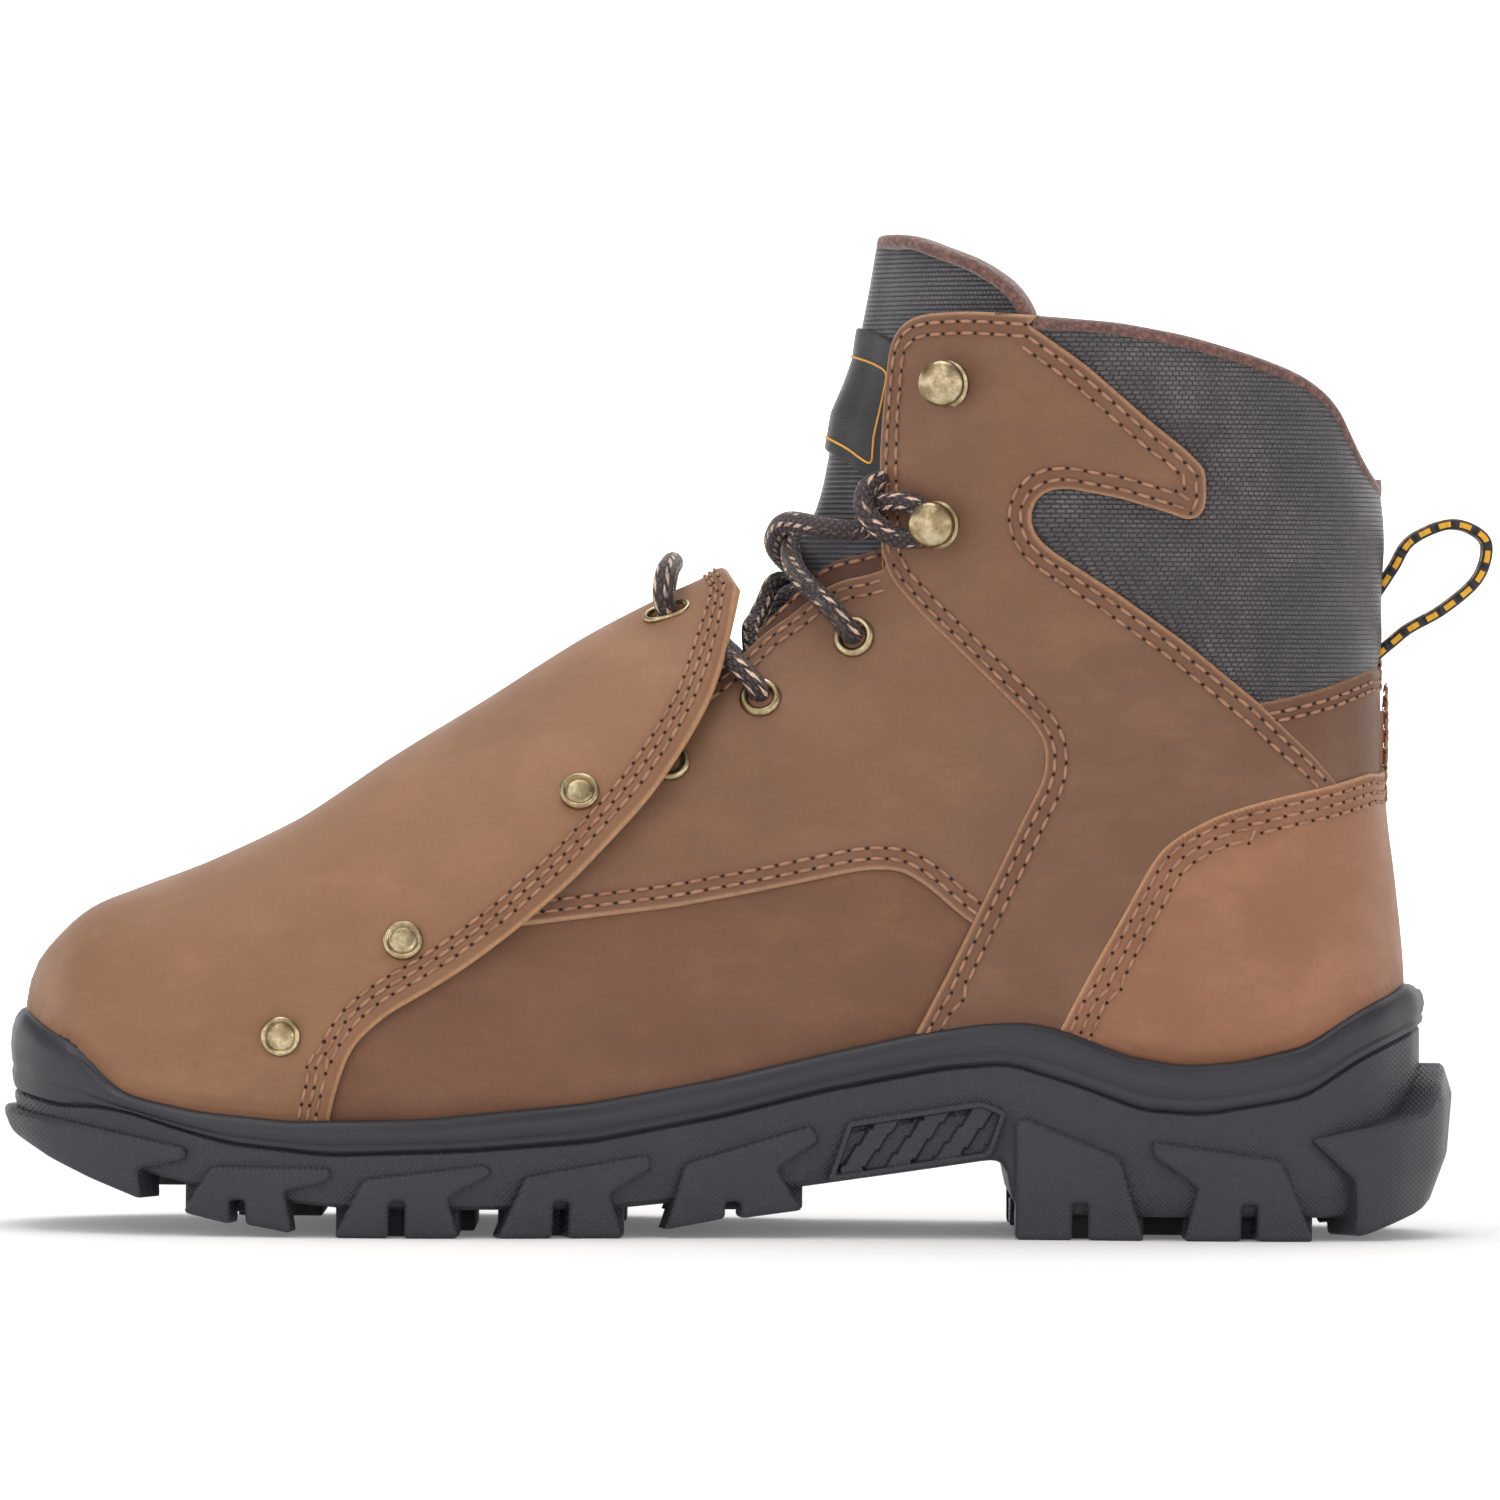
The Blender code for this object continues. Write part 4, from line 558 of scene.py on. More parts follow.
def side_place(line):
    """The section numbers and angles at which the skin passes points of the side view."""
    line = np.asarray(line, float)
    low, high = np.zeros(len(line)), np.full(len(line), float(LAST_SECTION))
    for _ in range(HALVINGS):
        middle = (low + high) / 2
        rows = spline(SECTION_ROWS, middle)
        run = rows[:, 2:4] - rows[:, :2]
        gap = line - rows[:, :2]
        ahead = run[:, 0] * gap[:, 1] - run[:, 1] * gap[:, 0] > 0
        low, high = np.where(ahead, middle, low), np.where(ahead, high, middle)
    rows = spline(SECTION_ROWS, middle)
    run = rows[:, 2:4] - rows[:, :2]
    down = np.clip(((line - rows[:, :2]) * run).sum(1) / (run**2).sum(1), 0, 1)
    widest, upper_power, lower_power = rows[:, 6:].T
    above = np.clip(1 - down / widest, 0, 1) ** (upper_power / 2)
    below = np.clip((down - widest) / (1 - widest), 0, 1) ** (lower_power / 2)
    return middle, np.where(down <= widest, np.arccos(above), np.arccos(-below))


# A flat map of the skin, in metres: distance along the boot's middle line, and distance round from the top

MAP_SECTIONS = np.linspace(0, LAST_SECTION, 24 * LAST_SECTION + 1)
MAP_ANGLES = np.linspace(-pi, pi, 721)
MAP_LINE = spline(SECTION_ROWS, MAP_SECTIONS)
MAP_ALONG = lengths_along(MAP_LINE[:, :2] * 0.45 + MAP_LINE[:, 2:4] * 0.55)


def round_lengths():
    """The distance round the skin from its top to each angle, for each section of the map."""
    rows = []
    for at in MAP_SECTIONS:
        points = skin(np.full(len(MAP_ANGLES), at), MAP_ANGLES)
        lengths = lengths_along(points)
        rows.append(lengths - lengths[len(lengths) // 2])
    return np.array(rows)


MAP_ROUND = round_lengths()


def map_point(at, angle):
    """Section numbers and angles as metres on the flat map. Angles past pi go on round the back."""
    along = np.interp(at, MAP_SECTIONS, MAP_ALONG)
    row = np.clip(at / LAST_SECTION * (len(MAP_SECTIONS) - 1), 0, len(MAP_SECTIONS) - 1.001)
    column = (np.where(angle > pi, angle - 2 * pi, angle) + pi) / (2 * pi) * (len(MAP_ANGLES) - 1)
    column = np.clip(column, 0, len(MAP_ANGLES) - 1.001)
    i, j = row.astype(int), column.astype(int)
    a, b = row - i, column - j
    round_it = (
        MAP_ROUND[i, j] * (1 - a) * (1 - b) + MAP_ROUND[i + 1, j] * a * (1 - b)
        + MAP_ROUND[i, j + 1] * (1 - a) * b + MAP_ROUND[i + 1, j + 1] * a * b
    )
    whole = MAP_ROUND[:, -1] - MAP_ROUND[:, 0]
    once_round = whole[i] * (1 - a) + whole[i + 1] * a
    return np.stack((along, round_it + np.where(angle > pi, once_round, 0)), 1)


# Lines on the boot


def resampled(points, step):
    """A line's points read again at even distances."""
    points = np.asarray(points, float)
    length = lengths_along(points)
    count = max(int(round(length[-1] / step)), 1)
    wanted = np.linspace(0, length[-1], count + 1)
    return np.stack([np.interp(wanted, length, column) for column in points.T], 1)


def rounded_line(points, radius):
    """An open line with its corners softened over a radius. Its ends stay."""
    dense = resampled(points, FINE_STEP)
    half = int(radius / FINE_STEP)
    if half < 1 or len(dense) < 2 * half + 2:
        return dense
    padded = np.concatenate((2 * dense[0] - dense[half:0:-1], dense, 2 * dense[-1] - dense[-2:-half - 2:-1]))
    weights = np.hanning(2 * half + 3)[1:-1]
    weights /= weights.sum()
    return np.stack([np.convolve(column, weights, "valid") for column in padded.T], 1)


def side_line(table, radius=0.0035):
    """A line of the side view from its table of shares, in metres, with soft corners."""
    points = np.array(table) * (BOOT_LENGTH, SHAFT_HEIGHT)
    return resampled(rounded_line(points, radius), EDGE_STEP)


def on_skin(line, side, height=None):
    """A line of the side view laid on one side of the boot, on its skin or at a height over it."""
    line = np.asarray(line, float)
    at, angle = side_place(line)
    if height is not None:
        aim = line.copy()
        for _ in range(SEAT_STEPS):
            rise = height(at, angle * side) if callable(height) else np.broadcast_to(height, len(at))
            points = placed(at, angle * side, rise)
            aim += SEAT_SHARE * (line - points[:, (0, 2)]) * (angle < pi - 0.05)[:, None]
            at, angle = side_place(aim)
    return np.stack((at, angle * side), 1)


def round_back(line):
    """The inner side's line counted on round the back, past pi."""
    return np.stack((line[:, 0], np.where(line[:, 1] < 0, line[:, 1] + 2 * pi, line[:, 1])), 1)


def round_heel(line, height=None):
    """A line of the side view from the outer side round the back to the inner side, as its two stretches."""
    return on_skin(line, 1, height), round_back(on_skin(line[::-1], -1, height))


def closed_loop(*stretches):
    """Stretches joined end to end into one loop on the skin, without points that nearly meet."""
    loop = np.concatenate(stretches)
    flat = map_point(*loop.T)
    dense = [0]
    for i in range(1, len(loop)):
        if np.linalg.norm(flat[i] - flat[dense[-1]]) > NEAREST_SHARE * EDGE_STEP:
            dense.append(i)
    while np.linalg.norm(flat[dense[-1]] - flat[dense[0]]) < NEAREST_SHARE * EDGE_STEP:
        dense.pop()
    loop, flat = loop[dense], flat[dense]
    filled = []
    for i in range(len(loop)):
        j = (i + 1) % len(loop)
        count = max(int(np.linalg.norm(flat[j] - flat[i]) / (FURTHEST_SHARE * EDGE_STEP)), 1)
        filled += [loop[i] + (loop[j] - loop[i]) * k / count for k in range(count)]
    return np.array(filled)


def inside(points, loop):
    """Which points of the plane lie inside a closed loop."""
    found = np.zeros(len(points), bool)
    for a, b in zip(loop, np.roll(loop, -1, axis=0)):
        if a[1] == b[1]:
            continue
        crosses = (a[1] > points[:, 1]) != (b[1] > points[:, 1])
        at = a[0] + (points[:, 1] - a[1]) * (b[0] - a[0]) / (b[1] - a[1])
        found ^= crosses & (points[:, 0] < at)
    return found


def turning(loop):
    """1 for a flat loop that turns to the left and -1 for one that turns to the right."""
    after = np.roll(loop, -1, axis=0)
    return np.sign((loop[:, 0] * after[:, 1] - after[:, 0] * loop[:, 1]).sum())


def softened(ring, times):
    """A closed ring of points, each moved towards its neighbours a number of times."""
    for _ in range(times):
        ring = (np.roll(ring, 1, axis=0) + 2 * ring + np.roll(ring, -1, axis=0)) / 4
    return ring


def clear_of_last(line, gap=0.0003):
    """Which points of a line stand clear of the one before."""
    return np.concatenate(([True], np.linalg.norm(np.diff(line, axis=0), axis=1) > gap))


def tree_of(points):
    """Points made ready for finding the nearest one."""
    tree = KDTree(len(points))
    for i, point in enumerate(points):
        tree.insert(Vector(point), i)
    tree.balance()
    return tree


def distances(tree, points):
    """How far each point is from the nearest one in a tree."""
    return np.array([tree.find(Vector(point))[2] for point in points])


def inset(line, distance, inward=1, closed=False):
    """A line on the skin moved sideways over it by a distance, to its left for a positive one."""
    moved = line.copy()
    steps = max(int(abs(distance) / INSET_STEP), 1)
    for _ in range(steps):
        points = skin(*moved.T)
        if closed:
            tangents = np.roll(points, -1, axis=0) - np.roll(points, 1, axis=0)
        else:
            tangents = np.gradient(points, axis=0)
        along, round_it = skin_slopes(*moved.T)
        across = unit(np.cross(unit(np.cross(along, round_it)), unit(tangents))) * inward * distance / steps
        aa, ab, bb = (along * along).sum(1), (along * round_it).sum(1), (round_it * round_it).sum(1)
        ra, rb = (along * across).sum(1), (round_it * across).sum(1)
        scale = np.maximum(aa * bb - ab * ab, 1e-14)
        change = np.stack(((ra * bb - rb * ab) / scale, (rb * aa - ra * ab) / scale), 1)
        moved = moved + np.clip(change, -0.4, 0.4)
    return moved


# Meshes


def linked(name, data):
    """A new object in the scene."""
    made = bpy.data.objects.new(name, data)
    bpy.context.scene.collection.objects.link(made)
    return made


def write_values(data, values):
    """Keeps numbers for each point of a mesh, by attribute name, for its material."""
    for title, numbers in values.items():
        data.attributes.new(title, "FLOAT", "POINT").data.foreach_set("value", np.asarray(numbers, np.float32))


def read_points(made):
    """A piece's points as rows of x, y and z."""
    points = np.zeros(len(made.data.vertices) * 3)
    made.data.vertices.foreach_get("co", points)
    return points.reshape(-1, 3)


def mesh_object(name, vertices, faces, look, smooth_angle=38, attributes=None, second=None, marks=None):
    """A mesh in the scene that rides on the boot's one body. marks gives each face its material number."""
    data = bpy.data.meshes.new(name)
    data.from_pydata([tuple(v) for v in vertices], [], faces)
    data.materials.append(look)
    if second is not None:
        data.materials.append(second)
        data.polygons.foreach_set("material_index", marks)
    write_values(data, attributes or {})
    data.validate()
    mesh = bmesh.new()
    mesh.from_mesh(data)
    bmesh.ops.remove_doubles(mesh, verts=mesh.verts, dist=MERGE_DISTANCE)
    bmesh.ops.recalc_face_normals(mesh, faces=mesh.faces)
    mesh.to_mesh(data)
    mesh.free()
    data.shade_smooth()
    data.set_sharp_from_angle(angle=radians(smooth_angle))
    made = linked(name, data)
    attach(made, "root")
    return made


def grid_points(loop_flat, step):
    """An even grid of map points inside a loop, with their section numbers and angles."""
    low, high = loop_flat.min(0), loop_flat.max(0)
    places, flats = [], []
    turns = np.linspace(-pi, 3 * pi - 0.001, ROUND_ANGLES)
    for k in range(int((high[0] - low[0]) / (step * ROW_SHARE)) + 1):
        along = low[0] + (k + 0.5) * step * ROW_SHARE
        at = np.interp(along, MAP_ALONG, MAP_SECTIONS)
        rounds = np.arange(low[1] + (k % 2) * step / 2, high[1], step)
        here = map_point(np.full(ROUND_ANGLES, at), turns)[:, 1]
        angles = np.interp(rounds, here, turns)
        places.append(np.stack((np.full(len(rounds), at), angles), 1))
        flats.append(np.stack((np.full(len(rounds), along), rounds), 1))
    return np.concatenate(places)[inside(np.concatenate(flats), loop_flat)]


def dense_loop(loop):
    """Points close together along a closed loop on the skin, to measure distances from."""
    parts = [loop + (np.roll(loop, -1, axis=0) - loop) * share for share in (0, 0.25, 0.5, 0.75)]
    return skin(*np.concatenate(parts).T)


def triangles(flat, edge):
    """Triangles between points of a plane, of which the first, edge of them, are the closed outline."""
    made = delaunay_2d_cdt([Vector(point) for point in flat], [], [list(range(edge))], 1, 1e-7)
    source = [ids[0] if ids else -1 for ids in made[3]]
    return [tuple(source[v] for v in face) for face in made[2] if all(source[v] >= 0 for v in face)]


def shell(faces, edge, count):
    """A sheet's faces, the faces of its underside, and those of the rim between the two."""
    under = [tuple(v + count for v in reversed(face)) for face in faces]
    rim = [(i, (i + 1) % edge, (i + 1) % edge + count, i + count) for i in range(edge)]
    return faces, under, rim


def panel(
    name, loop, outer, inner, look, rings=(), step=SKIN_STEP, lining=None, smooth_angle=38, shown_edge=None,
):
    """A closed sheet on the skin inside a loop.

    outer and inner give its faces' heights by place and edge distance, or distance from a tree's shown edge.
    """
    flat_loop = map_point(*loop.T)
    left = turning(flat_loop)
    edge_tree = tree_of(dense_loop(loop))
    places = [loop]
    last_ring = 0.0
    for ring in rings:
        moved = inset(loop, ring, inward=left, closed=True)
        gaps = distances(edge_tree, skin(*moved.T))
        kept = (np.abs(gaps - ring) < 0.15 * ring + 0.00004) & inside(map_point(*moved.T), flat_loop)
        places.append(moved[kept])
        last_ring = ring
    field = grid_points(flat_loop, step)
    gaps = distances(edge_tree, skin(*field.T))
    places.append(field[gaps > last_ring + 0.5 * step])
    places = np.concatenate(places)
    faces, under, rim = shell(triangles(map_point(*places.T), len(loop)), len(loop), len(places))
    edge_gap = distances(edge_tree, skin(*places.T))
    edge_gap[: len(loop)] = 0.0
    shown = edge_gap if shown_edge is None else distances(shown_edge, skin(*places.T))
    top = placed(*places.T, outer(*places.T, shown))
    bottom = placed(*places.T, inner(*places.T, shown))
    marks = [0] * len(faces) + [1] * len(under) + [0] * len(rim)
    values = {
        "edge": np.concatenate((edge_gap, edge_gap * 0)),
        "cut": np.concatenate((edge_gap * 0, edge_gap * 0 + 1)),
    }
    return mesh_object(
        name, np.concatenate((top, bottom)), faces + under + rim, look, smooth_angle, values, lining or look, marks,
    )


def eased(share):
    """A share from nothing to one that starts and ends gently."""
    share = np.clip(share, 0, 1)
    return share * share * (3 - 2 * share)


def edge_round(gap, reach, drop):
    """How far a cut edge drops near its rim, as it is rounded over."""
    return -drop * (1 - np.clip(gap / reach, 0, 1)) ** 2


def rows_sink(gap, rows):
    """How far the leather sinks along its stitch rows."""
    return -sum(STITCH_SINK * np.exp(-(((gap - row) / STITCH_GROOVE) ** 2)) for row in rows) if rows else 0 * gap


def leather_face(height, rows=(), reach=0.0009, drop=0.0006):
    """The outer face of a leather panel: level, rounded at its edge and sunk along its stitches."""
    def face(at, angle, gap):
        return height + edge_round(gap, reach, drop) + rows_sink(gap, rows)
    return face


def level(height):
    """A face at one height."""
    return lambda at, angle, gap: np.full(len(at), height)


def ring_distances(rows):
    """Where a panel's mesh has lines beside its edge: round the edge and on both sides of each stitch row."""
    rings = [0.0002, 0.0005, 0.0009]
    for row in rows:
        rings += [row - ROW_HALF_WIDTH, row, row + ROW_HALF_WIDTH]
    return [ring for ring in sorted(set(rings)) if ring > 0]


def leather_panel(name, node, loop, out, rows, look):
    """A stitched leather panel that stands out over the upper, in place of its CAD node."""
    made = panel(name, loop, leather_face(out, rows), level(CLEARANCE), LEATHERS[look], ring_distances(rows))
    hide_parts(node)


# Stitches: every row of a panel is joined into one piece


def capsule(length, radius, height, around=8, along=7):
    """A thread's stitch along X: a bowed bead with round ends, as vertices and faces."""
    vertices, faces = [], []
    for k in range(along):
        share = k / (along - 1) * 2 - 1
        thick = radius * max(1 - abs(share) ** 3.2, 0.02) ** 0.5
        for j in range(around):
            turn = 2 * pi * j / around
            vertices.append((
                share * length / 2, thick * 1.15 * cos(turn),
                thick * sin(turn) + height * (1 - share**2) - height * 0.55,
            ))
    for k in range(along - 1):
        for j in range(around):
            i = (j + 1) % around
            faces.append((k * around + j, k * around + i, (k + 1) * around + i, (k + 1) * around + j))
    faces.append(tuple(range(around))[::-1])
    faces.append(tuple(range((along - 1) * around, along * around)))
    return np.array(vertices), faces


def copies(name, shape, places, frames, look):
    """One piece made of a shape repeated at each place, turned to each frame of along, across and out."""
    vertices, faces = shape
    points = np.einsum("mk,nkj->nmj", vertices, frames) + places[:, None, :]
    count = len(vertices)
    every = [tuple(v + n * count for v in face) for n in range(len(places)) for face in faces]
    return mesh_object(name, points.reshape(-1, 3), every, look, 60)


def side_within(line, loop):
    """The sign that moves a line of the skin into a panel's loop."""
    flat = map_point(*loop.T)
    counts = [inside(map_point(*inset(line, 0.0015, inward=sign).T), flat).sum() for sign in (1, -1)]
    return 1 if counts[0] >= counts[1] else -1


def stitch_places(line, distance, face, loop, trim=(0.0, 0.0)):
    """Even places along a line at a distance from it inside a loop, on a panel's face, with their frames."""
    moved = inset(line, distance, inward=side_within(line, loop))
    edge = tree_of(skin(*np.concatenate([line[:-1] + (line[1:] - line[:-1]) * s for s in (0, 0.5)]).T))
    gaps = distances(edge, skin(*moved.T))
    moved = moved[np.abs(gaps - distance) < 0.12 * distance + 0.00005]
    heights = face(moved[:, 0], moved[:, 1], np.full(len(moved), distance))
    points = placed(*moved.T, heights)
    length = lengths_along(points)
    wanted = np.arange(trim[0] + STITCH_PITCH / 2, length[-1] - trim[1], STITCH_PITCH)
    at = np.interp(wanted, length, moved[:, 0])
    angle = np.interp(wanted, length, moved[:, 1])
    here = placed(at, angle, face(at, angle, np.full(len(at), distance)))
    ahead_at, ahead_angle = (np.interp(wanted + STITCH_AHEAD, length, moved[:, k]) for k in (0, 1))
    ahead = placed(ahead_at, ahead_angle, face(ahead_at, ahead_angle, np.full(len(at), distance)))
    out = skin_normals(at, angle)
    along = unit(ahead - here)
    across = unit(np.cross(out, along))
    return here, np.stack((along, across, unit(np.cross(along, across))), 1)


def stitches(name, rows):
    """All the stitches of one panel, and small dark dots between them: painted shade in the needle holes."""
    found = [stitch_places(*row) for row in rows]
    places = np.concatenate([f[0] for f in found])
    frames = np.concatenate([f[1] for f in found])
    copies(f"{name}_thread", capsule(STITCH_LENGTH, STITCH_RADIUS, STITCH_BOW), places, frames, THREAD)
    # A flat dark dot at each needle hole: painted shade
    hole = capsule(HOLE_LENGTH, HOLE_RADIUS, 0.0, along=5)
    hole[0][:, 2] *= HOLE_FLATNESS
    ends = places + frames[:, 0] * STITCH_PITCH / 2 + frames[:, 2] * 0.00001
    copies(f"{name}_hole_shade", hole, ends, frames, HOLE_SHADE)


# Swept pieces


def sweep_frames(points, closed=False):
    """Frames along a line that turn as little as they can: along, across and out."""
    tangents = np.gradient(points, axis=0)
    if closed:
        tangents = np.roll(points, -1, axis=0) - np.roll(points, 1, axis=0)
    tangents = unit(tangents)
    start = np.array((0.0, 0.0, 1.0)) if abs(tangents[0][2]) < 0.9 else np.array((0.0, 1.0, 0.0))
    outs = [start - tangents[0] * (start @ tangents[0])]
    for tangent in tangents[1:]:
        outs.append(outs[-1] - tangent * (outs[-1] @ tangent))
    outs = unit(np.array(outs))
    return tangents, np.cross(outs, tangents), outs


def swept(name, points, profile, look, outs=None, closed=False, smooth_angle=50):
    """A profile of across and out distances carried along a line, or a function that gives it by the length."""
    tangents, across, out = sweep_frames(points, closed)
    if outs is not None:
        out = unit(outs - tangents * (outs * tangents).sum(1, keepdims=True))
        across = np.cross(out, tangents)
    length = lengths_along(points)
    vertices, along_values, round_values = [], [], []
    for i, point in enumerate(points):
        shape = np.array(profile(length[i]) if callable(profile) else profile)
        vertices.append(point + shape[:, :1] * across[i] + shape[:, 1:] * out[i])
        along_values += [length[i]] * len(shape)
        round_values += list(np.arange(len(shape)) / len(shape))
    around = len(shape)
    faces = []
    for k in range(len(points) if closed else len(points) - 1):
        m = (k + 1) % len(points)
        for j in range(around):
            i = (j + 1) % around
            faces.append((k * around + j, k * around + i, m * around + i, m * around + j))
    if not closed:
        faces.append(tuple(range(around))[::-1])
        faces.append(tuple(range((len(points) - 1) * around, len(points) * around)))
    values = {"along": along_values, "round": round_values}
    return mesh_object(name, np.concatenate(vertices), faces, look, smooth_angle, values)


def oval(width, height, count=16, power=2.0):
    """A closed profile, an ellipse or a squarer oval."""
    turns = 2 * pi * np.arange(count) / count
    x, y = np.cos(turns), np.sin(turns)
    return np.stack((
        width / 2 * np.sign(x) * np.abs(x) ** (2 / power), height / 2 * np.sign(y) * np.abs(y) ** (2 / power),
    ), 1)


def smooth_route(points, step=0.0007):
    """A smooth line through given points, read at even distances."""
    points = np.array(points, float)
    dense = spline(points, np.linspace(0, len(points) - 1, 24 * len(points)))
    return resampled(dense, step)


def turned(name, profile, place, look, lean=None, segments=40, smooth_angle=30):
    """A turned piece from a profile of radius and height, set on a place with its normal.

    A lean (foot, top, direction) turns the piece from its normal at one height to another direction at a higher one.
    """
    point, normal = place
    foot, top, toward = lean or (1.0, 2.0, normal)
    vertices, faces = [], []
    for radius, height in profile:
        share = min(max((height - foot) / (top - foot), 0.0), 1.0)
        axis = Vector(normal * (1 - share) + toward * share).normalized()
        turn = np.array(axis.to_track_quat("Z", "Y").to_matrix())
        centre = point + normal * min(height, foot) + toward * max(height - foot, 0.0)
        for k in range(segments):
            angle = 2 * pi * k / segments
            vertices.append(centre + turn @ np.array((radius * cos(angle), radius * sin(angle), 0.0)))
    rows = len(profile)
    for i in range(rows - 1):
        for k in range(segments):
            m = (k + 1) % segments
            faces.append((i * segments + k, i * segments + m, (i + 1) * segments + m, (i + 1) * segments + k))
    if profile[0][0] > 0.00001:
        faces += [
            ((rows - 1) * segments + k, (rows - 1) * segments + (k + 1) % segments, (k + 1) % segments, k)
            for k in range(segments)
        ]
    return mesh_object(name, vertices, faces, look, smooth_angle)


def arc(centre, radius, start, end, count=6):
    """Points of a profile's arc, with angles in degrees."""
    return [
        (centre[0] + radius * cos(radians(start + (end - start) * k / count)),
         centre[1] + radius * sin(radians(start + (end - start) * k / count)))
        for k in range(count + 1)
    ]


# Materials


def srgb(red, green, blue):
    """A colour written as a screen shows it, from 0 to 255, as linear values."""
    shares = [value / 255 for value in (red, green, blue)]
    return tuple(c / 12.92 if c <= 0.04045 else ((c + 0.055) / 1.055) ** 2.4 for c in shares)


def shader_of(name, roughness, **settings):
    """A new material, its node tree and its Principled shader with plain values set on it."""
    made = bpy.data.materials.new(name)
    made.use_nodes = True
    shader = made.node_tree.nodes["Principled BSDF"]
    shader.inputs["Roughness"].default_value = roughness
    for title, value in settings.items():
        shader.inputs[title.replace("_", " ").title().replace("Ior", "IOR")].default_value = value
    return made, made.node_tree, shader


def add(tree, kind, inputs=None, **settings):
    """A node with its settings, its inputs set to values or linked to sockets."""
    made = tree.nodes.new(kind)
    for title, value in settings.items():
        setattr(made, title, value)
    for key, value in (inputs or {}).items():
        if isinstance(value, bpy.types.NodeSocket):
            tree.links.new(value, made.inputs[key])
        else:
            made.inputs[key].default_value = value
    return made


def place_of(tree, scale=(1, 1, 1), turn=(0, 0, 0)):
    """The boot's own coordinates in metres, stretched and turned."""
    coordinates = add(tree, "ShaderNodeTexCoord").outputs["Object"]
    inputs = {"Vector": coordinates, "Scale": scale, "Rotation": turn}
    return add(tree, "ShaderNodeMapping", inputs).outputs[0]


def noise(tree, place, scale, detail=3.0, roughness=0.55):
    """Soft noise, from 0 to 1."""
    inputs = {"Vector": place, "Scale": scale, "Detail": detail, "Roughness": roughness}
    return add(tree, "ShaderNodeTexNoise", inputs).outputs["Fac"]


def stepped(tree, value, low, high, out_low=0.0, out_high=1.0):
    """A value carried smoothly from one range to another."""
    inputs = {"Value": value, "From Min": low, "From Max": high, "To Min": out_low, "To Max": out_high}
    return add(tree, "ShaderNodeMapRange", inputs, interpolation_type="SMOOTHSTEP").outputs[0]


def waves(tree, scale, turn):
    """Even waves across one direction, from 0 to 1."""
    return add(tree, "ShaderNodeTexWave", {"Vector": place_of(tree, turn=turn), "Scale": scale}).outputs["Fac"]


def maths(tree, operation, first, second=0.0):
    """A sum, product or other working of two values."""
    return add(tree, "ShaderNodeMath", {0: first, 1: second}, operation=operation).outputs[0]


def blend(tree, factor, first, second, how="MIX"):
    """Two colours mixed by a factor."""
    def colour(value):
        return value if isinstance(value, bpy.types.NodeSocket) else (*value, 1.0)
    made = add(tree, "ShaderNodeMix", {0: factor}, data_type="RGBA", blend_type=how)
    for key, value in ((6, colour(first)), (7, colour(second))):
        if isinstance(value, bpy.types.NodeSocket):
            tree.links.new(value, made.inputs[key])
        else:
            made.inputs[key].default_value = value
    return made.outputs[2]


def bumped(tree, shader, layers):
    """Bump layers of (height, strength, distance), each over the last."""
    normal = None
    for height, strength, distance in layers:
        inputs = {"Height": height, "Strength": strength, "Distance": distance}
        if normal is not None:
            inputs["Normal"] = normal
        normal = add(tree, "ShaderNodeBump", inputs).outputs[0]
    tree.links.new(normal, shader.inputs["Normal"])


def attribute(tree, title):
    """The numbers kept for a mesh's points under a name."""
    return add(tree, "ShaderNodeAttribute", attribute_name=title).outputs["Fac"]


def leather(name, colour, raw, seam=(0.0030, 0.0060)):
    """Oiled nubuck: softly cloudy colour, a fine nap, darker stitched bands and paler raw edges."""
    made, tree, shader = shader_of(name, 0.6, specular_ior_level=0.30, sheen_weight=0.06, sheen_roughness=0.5)
    light, dark = (tuple(c * k for c in colour) for k in (1.24, 0.74))
    place = place_of(tree)
    clouds = noise(tree, place, 13, 3, 0.5)
    patches = noise(tree, place_of(tree, (1, 1, 1.5), (0.3, 0.4, 0.2)), 48, 4, 0.55)
    streaks = noise(tree, place_of(tree, (18, 40, 60), (0.2, 0.5, 0.1)), 4, 3, 0.6)
    nap = noise(tree, place, 900, 4, 0.7)
    grain = noise(tree, place, 3200, 2, 0.6)
    base = blend(tree, stepped(tree, clouds, 0.30, 0.62, 0.62, 0), colour, dark)
    base = blend(tree, stepped(tree, patches, 0.45, 0.72, 0, 0.55), base, light)
    base = blend(tree, stepped(tree, streaks, 0.52, 0.76, 0, 0.34), base, light)
    base = blend(tree, stepped(tree, nap, 0.30, 0.70, 0, 0.34), base, dark)
    edge = attribute(tree, "edge")
    uneven = stepped(tree, patches, 0.2, 0.7, 0.55, 0.30)
    band = maths(tree, "MULTIPLY", stepped(tree, edge, *seam, 1, 0), uneven)
    base = blend(tree, band, base, tuple(c * k for c, k in zip(colour, (0.74, 0.64, 0.62))))
    rubbed = stepped(tree, nap, 0.35, 0.6, 0.6, 1)
    edge_wear_and_yarn_highlight = maths(tree, "MULTIPLY", stepped(tree, edge, 0.0002, 0.0010, 0.9, 0), rubbed)
    base = blend(tree, edge_wear_and_yarn_highlight, base, raw)
    base = blend(tree, stepped(tree, attribute(tree, "cut"), 0.02, 0.3), base, raw)
    tree.links.new(base, shader.inputs["Base Color"])
    tree.links.new(stepped(tree, patches, 0.3, 0.7, 0.66, 0.52), shader.inputs["Roughness"])
    bumped(tree, shader, (
        (clouds, 0.30, 0.0020), (patches, 0.30, 0.0008), (nap, 0.35, 0.00014), (grain, 0.3, 0.00006),
    ))
    return made


